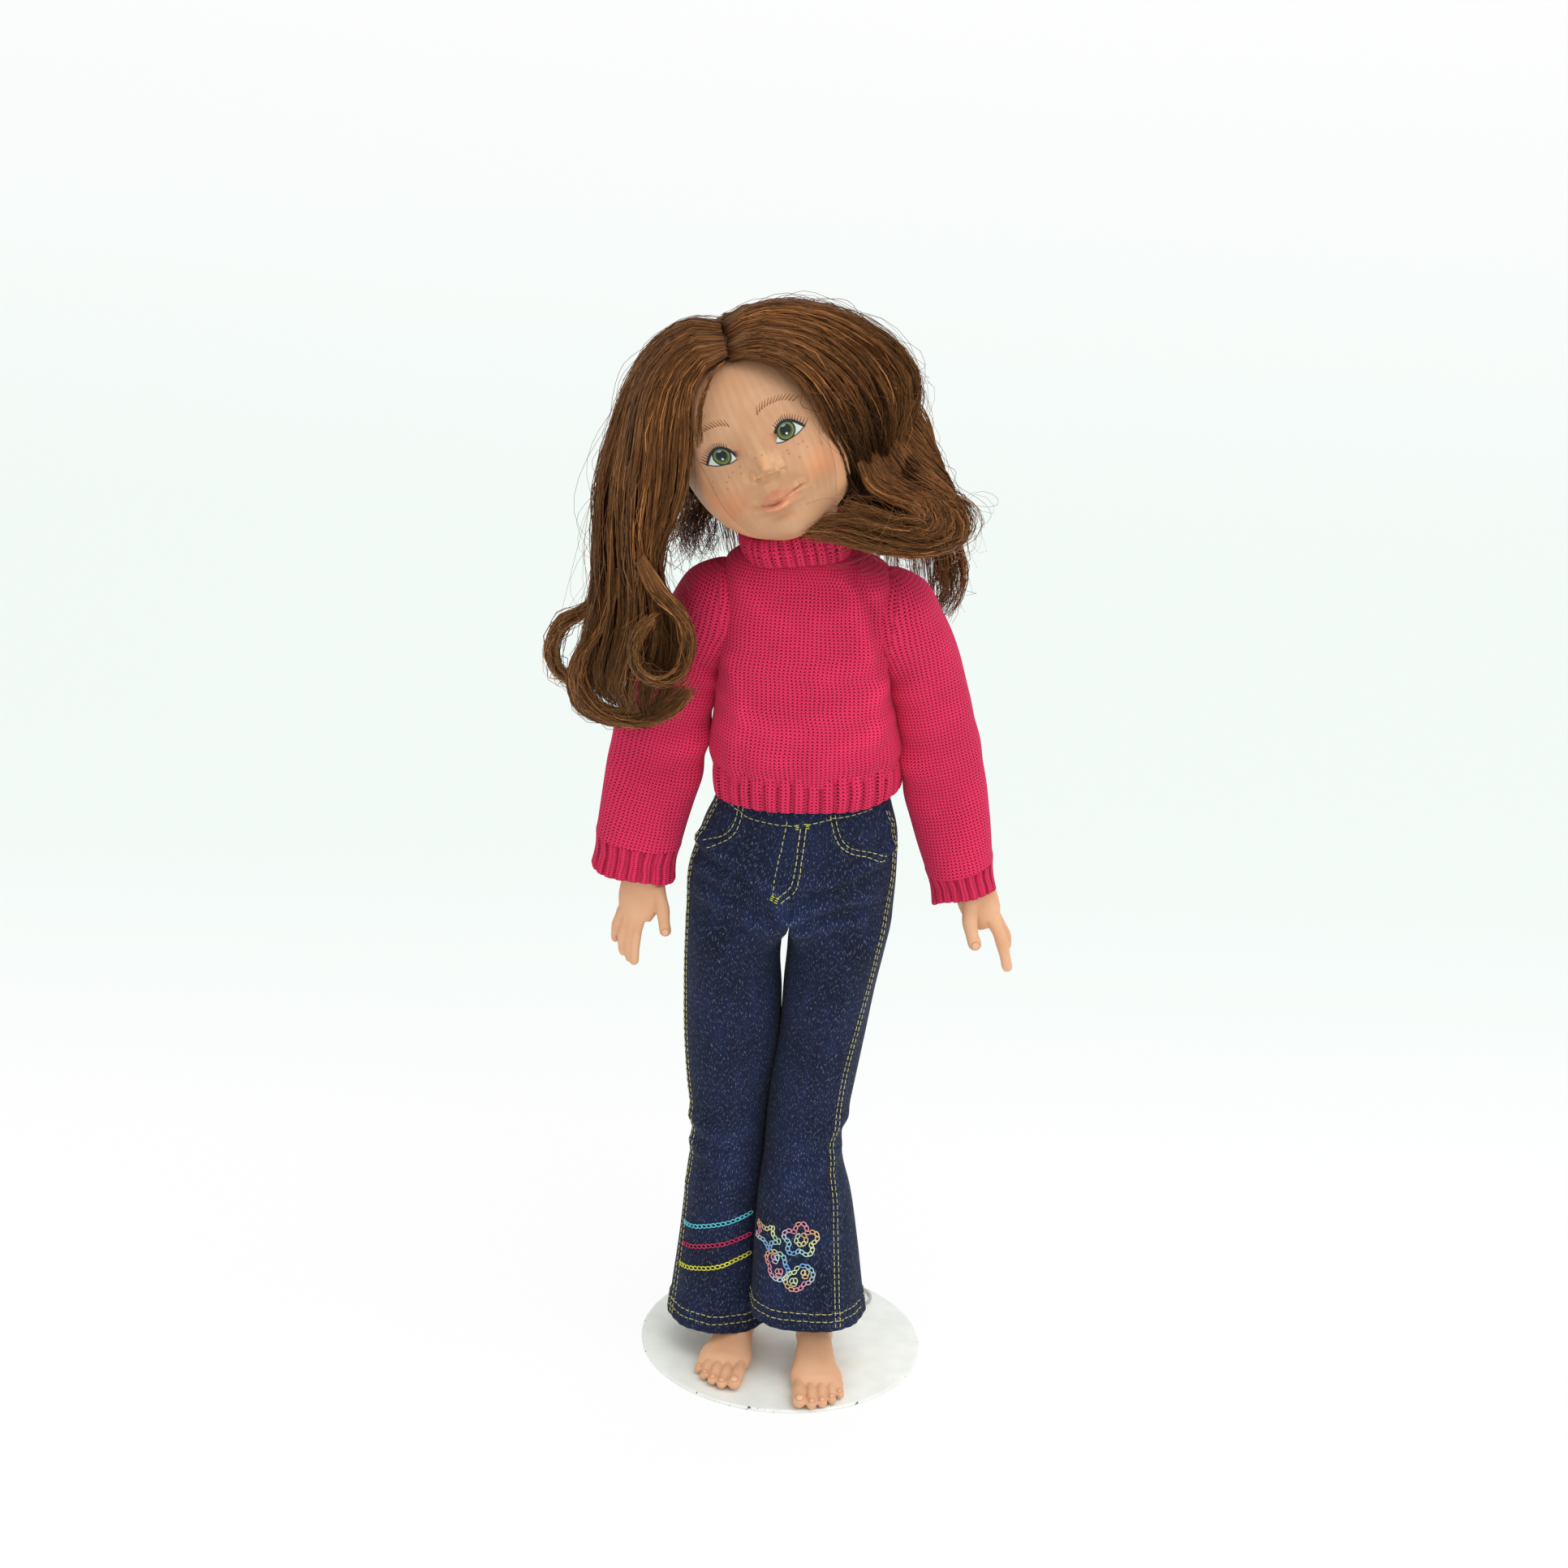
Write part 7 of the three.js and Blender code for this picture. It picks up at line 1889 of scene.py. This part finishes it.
BACK = [
    [(-40, 8, 442.5), (-47, 14, 439), (-58, 22, 429), (-65, 29, 412), (-65, 32, 390), (-61, 30, 366),
     (-58, 28, 346)],
    [(-40, 10, 442), (-45, 17, 438.5), (-54, 28, 429), (-58, 38, 404), (-46, 42, 378), (-34, 40, 354),
     (-30, 38, 336)],
    [(-39, 16, 442), (-39, 29, 438), (-40, 42, 428), (-36, 50, 402), (-28, 48, 372), (-22, 42, 346),
     (-20, 38, 328)],
    [(-38, 17, 442), (-31, 31, 439.5), (-18, 46, 432), (-8, 53, 404), (-4, 52, 374), (-2, 45, 346),
     (0, 40, 324)],
    [(-38, 15, 443), (-26, 27, 442), (-4, 42, 437), (18, 48, 410), (28, 47, 380), (32, 42, 350),
     (34, 38, 326)],
    [(-38, 13, 444), (-23, 22, 443.6), (6, 34, 440), (32, 38, 412), (42, 38, 384), (52, 37, 352),
     (56, 28, 322)],
    [(-38, 11, 444), (-22, 18, 444.5), (10, 28, 441), (36, 26, 412), (43, 23, 386), (47, 24, 356),
     (50, 24, 332)],
]
FLIP_CORE = [
    (20, -2, 404), (26, -6, 393), (36, -12, 386), (44, -18, 380), (40, -26, 375), (26, -30, 375),
    (12, -31, 377),
]
FLIP = [
    [(16, -22, 398), (20, -24, 389), (27, -27, 386), (37, -31, 384), (41, -33, 381), (32, -36, 382),
     (21, -36, 385), (13, -36, 388)],
    [(21, -12, 400), (28, -15, 392), (38, -18, 387), (49, -22, 383), (51, -26, 377), (44, -31, 374),
     (31, -34, 375), (18, -35, 378), (7, -35, 378), (-2, -34, 375)],
    [(28, -4, 398), (36, -6, 389), (47, -10, 385), (57, -14, 380), (60, -18, 371), (52, -24, 366),
     (38, -29, 365), (23, -32, 367), (9, -34, 371), (-4, -34, 372)],
    [(33, 10, 421), (42, 10, 410), (46, 8, 399), (47, 4, 388), (51, -2, 386), (59, -8, 384),
     (67, -12, 378), (69, -14, 371), (63, -18, 366), (53, -22, 365)],
]
WISP = [
    [(-36, -28, 437), (-41, -33, 433), (-44, -37, 424), (-45, -40, 414), (-44, -42, 405)],
    [(-36, -28, 437), (-40, -34, 432), (-42, -38, 423), (-42, -41, 412), (-42, -42, 408)],
]
TUFT = [
    [(40, 32, 384), (46, 28, 358), (50, 24, 342), (51, 22, 331), (49, 21, 323)],
    [(46, 32, 388), (55, 27, 360), (60, 23, 345), (60, 21, 333), (55, 20, 321)],
]
NECK_NET = [
    [(-46, 4, 392), (-48, 12, 372), (-54, 16, 358), (-55, 18, 344)],
    [(-36, 12, 384), (-38, 18, 368), (-42, 20, 354), (-40, 20, 342)],
]

# %% The wig
# Each lock is given its guides, its core, its number of strands and the points along one strand.
hairpiece("wig_crown_front",
          [lock(CROWN[:3], CROWN_CORE, 1100, 14, tufts=26, fill=0.13, sway=0.8, tip_shade=0.8)], "hair_crown")
hairpiece("wig_crown_back", [lock(CROWN[2:], CROWN_CORE, 1300, 13, tufts=30, fill=0.13, sway=0.8)])
hairpiece("wig_right_fall",
          [lock(FALL[:3], FALL_CORE, 1500, 16, tufts=30, fill=0.18, tip_shade=0.42)], "hair_right_fall")
hairpiece("wig_right_fall_back", [lock(FALL[2:], FALL_CORE, 900, 14, tufts=18, fill=0.18)])
curls = [
    lock(OUTER_CURL, OUTER_CURL[1], 380, 20, tufts=9, sway=0.9, ragged=0.45),
    lock(LOWER_CURL, LOWER_CURL[1], 580, 20, tufts=12, sway=0.9, ragged=0.4),
    lock(RINGLET, RINGLET[1], 400, 20, tufts=9, sway=0.9, ragged=0.45),
]
hairpiece("wig_right_curls", curls, "hair_right_curl")
hairpiece("wig_back", [lock(BACK, BACK_CORE, 1500, 12, tufts=34, fill=0.13, ragged=0.3)], "hair_back")
flip = lock(FLIP, FLIP_CORE, 1250, 19, tufts=34, fill=0.3, ragged=0.5)
hairpiece("wig_left_flip", [flip], "hair_left_flip", "hair_left_side")
# Dark linings fill the locks from inside, as painted shade within the hair.
shade_linings = [
    lining(CROWN, CROWN_CORE, 0.86, 0.6, start=0.05),
    lining(FALL, FALL_CORE, 0.82, 0.4, start=0.05, end=0.9),
    lining(BACK, BACK_CORE, 0.84, 0.3, start=0.05, end=0.85),
    lining(FLIP, FLIP_CORE, 0.55, 0.25, end=0.5),
]
made = piece("wig_shade_linings", shade_linings, braid("dark_lining_painted_shade", "#38220f", "#1c0f07", 0.8, gloss=0.02))
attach(made, "head")
FLYAWAY = {"pull": 0.1, "fill": 0, "stray": 0.25, "thick": 0.1}
loose = [
    lock(NECK_NET, NECK_NET[0], 150, 12, tufts=30, fill=0.05, sway=3.0),
    lock(TUFT, TUFT[0], 240, 14, tufts=8, fill=0.1, sway=1.6, ragged=0.4),
    lock(WISP, WISP[0], 40, 14, tufts=4, fill=0.1, sway=0.6),
    lock(FALL, FALL_CORE, 90, 32, tufts=80, sway=2.2, **FLYAWAY),
    lock(CROWN, CROWN_CORE, 90, 30, tufts=70, sway=1.8, **FLYAWAY),
    lock(FLIP, FLIP_CORE, 80, 32, tufts=70, sway=2.4, **FLYAWAY),
]
hairpiece("wig_loose_hairs", loose)

# %% [markdown]
# ## Finishes for the pieces that keep their own shape
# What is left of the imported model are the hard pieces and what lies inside. Each takes the finish of its
# slot.

# %% Finishes by slot
BY_SLOT = {
    "enamel": ENAMEL,
    "steel": STEEL,
    "vinyl": LIMB_VINYL,
    "elastic": braid("cotton_braided_elastic", "#efe9dc", "#b9b1a0", 0.9),
    "hair": braid("wig_fibre_bundle", "#5a3a20", "#2a170b", 0.5),
    "net": braid("nylon_wig_net", "#4a3322", "#1c110a", 1.4),
    "knit": KNIT,
    "denim": DENIM,
}
for row in frame["record"]["subparts"]:
    held = frame["nodes"][row["node"]]
    held.data.materials.clear()
    held.data.materials.append(BY_SLOT[row["material_slot"]])
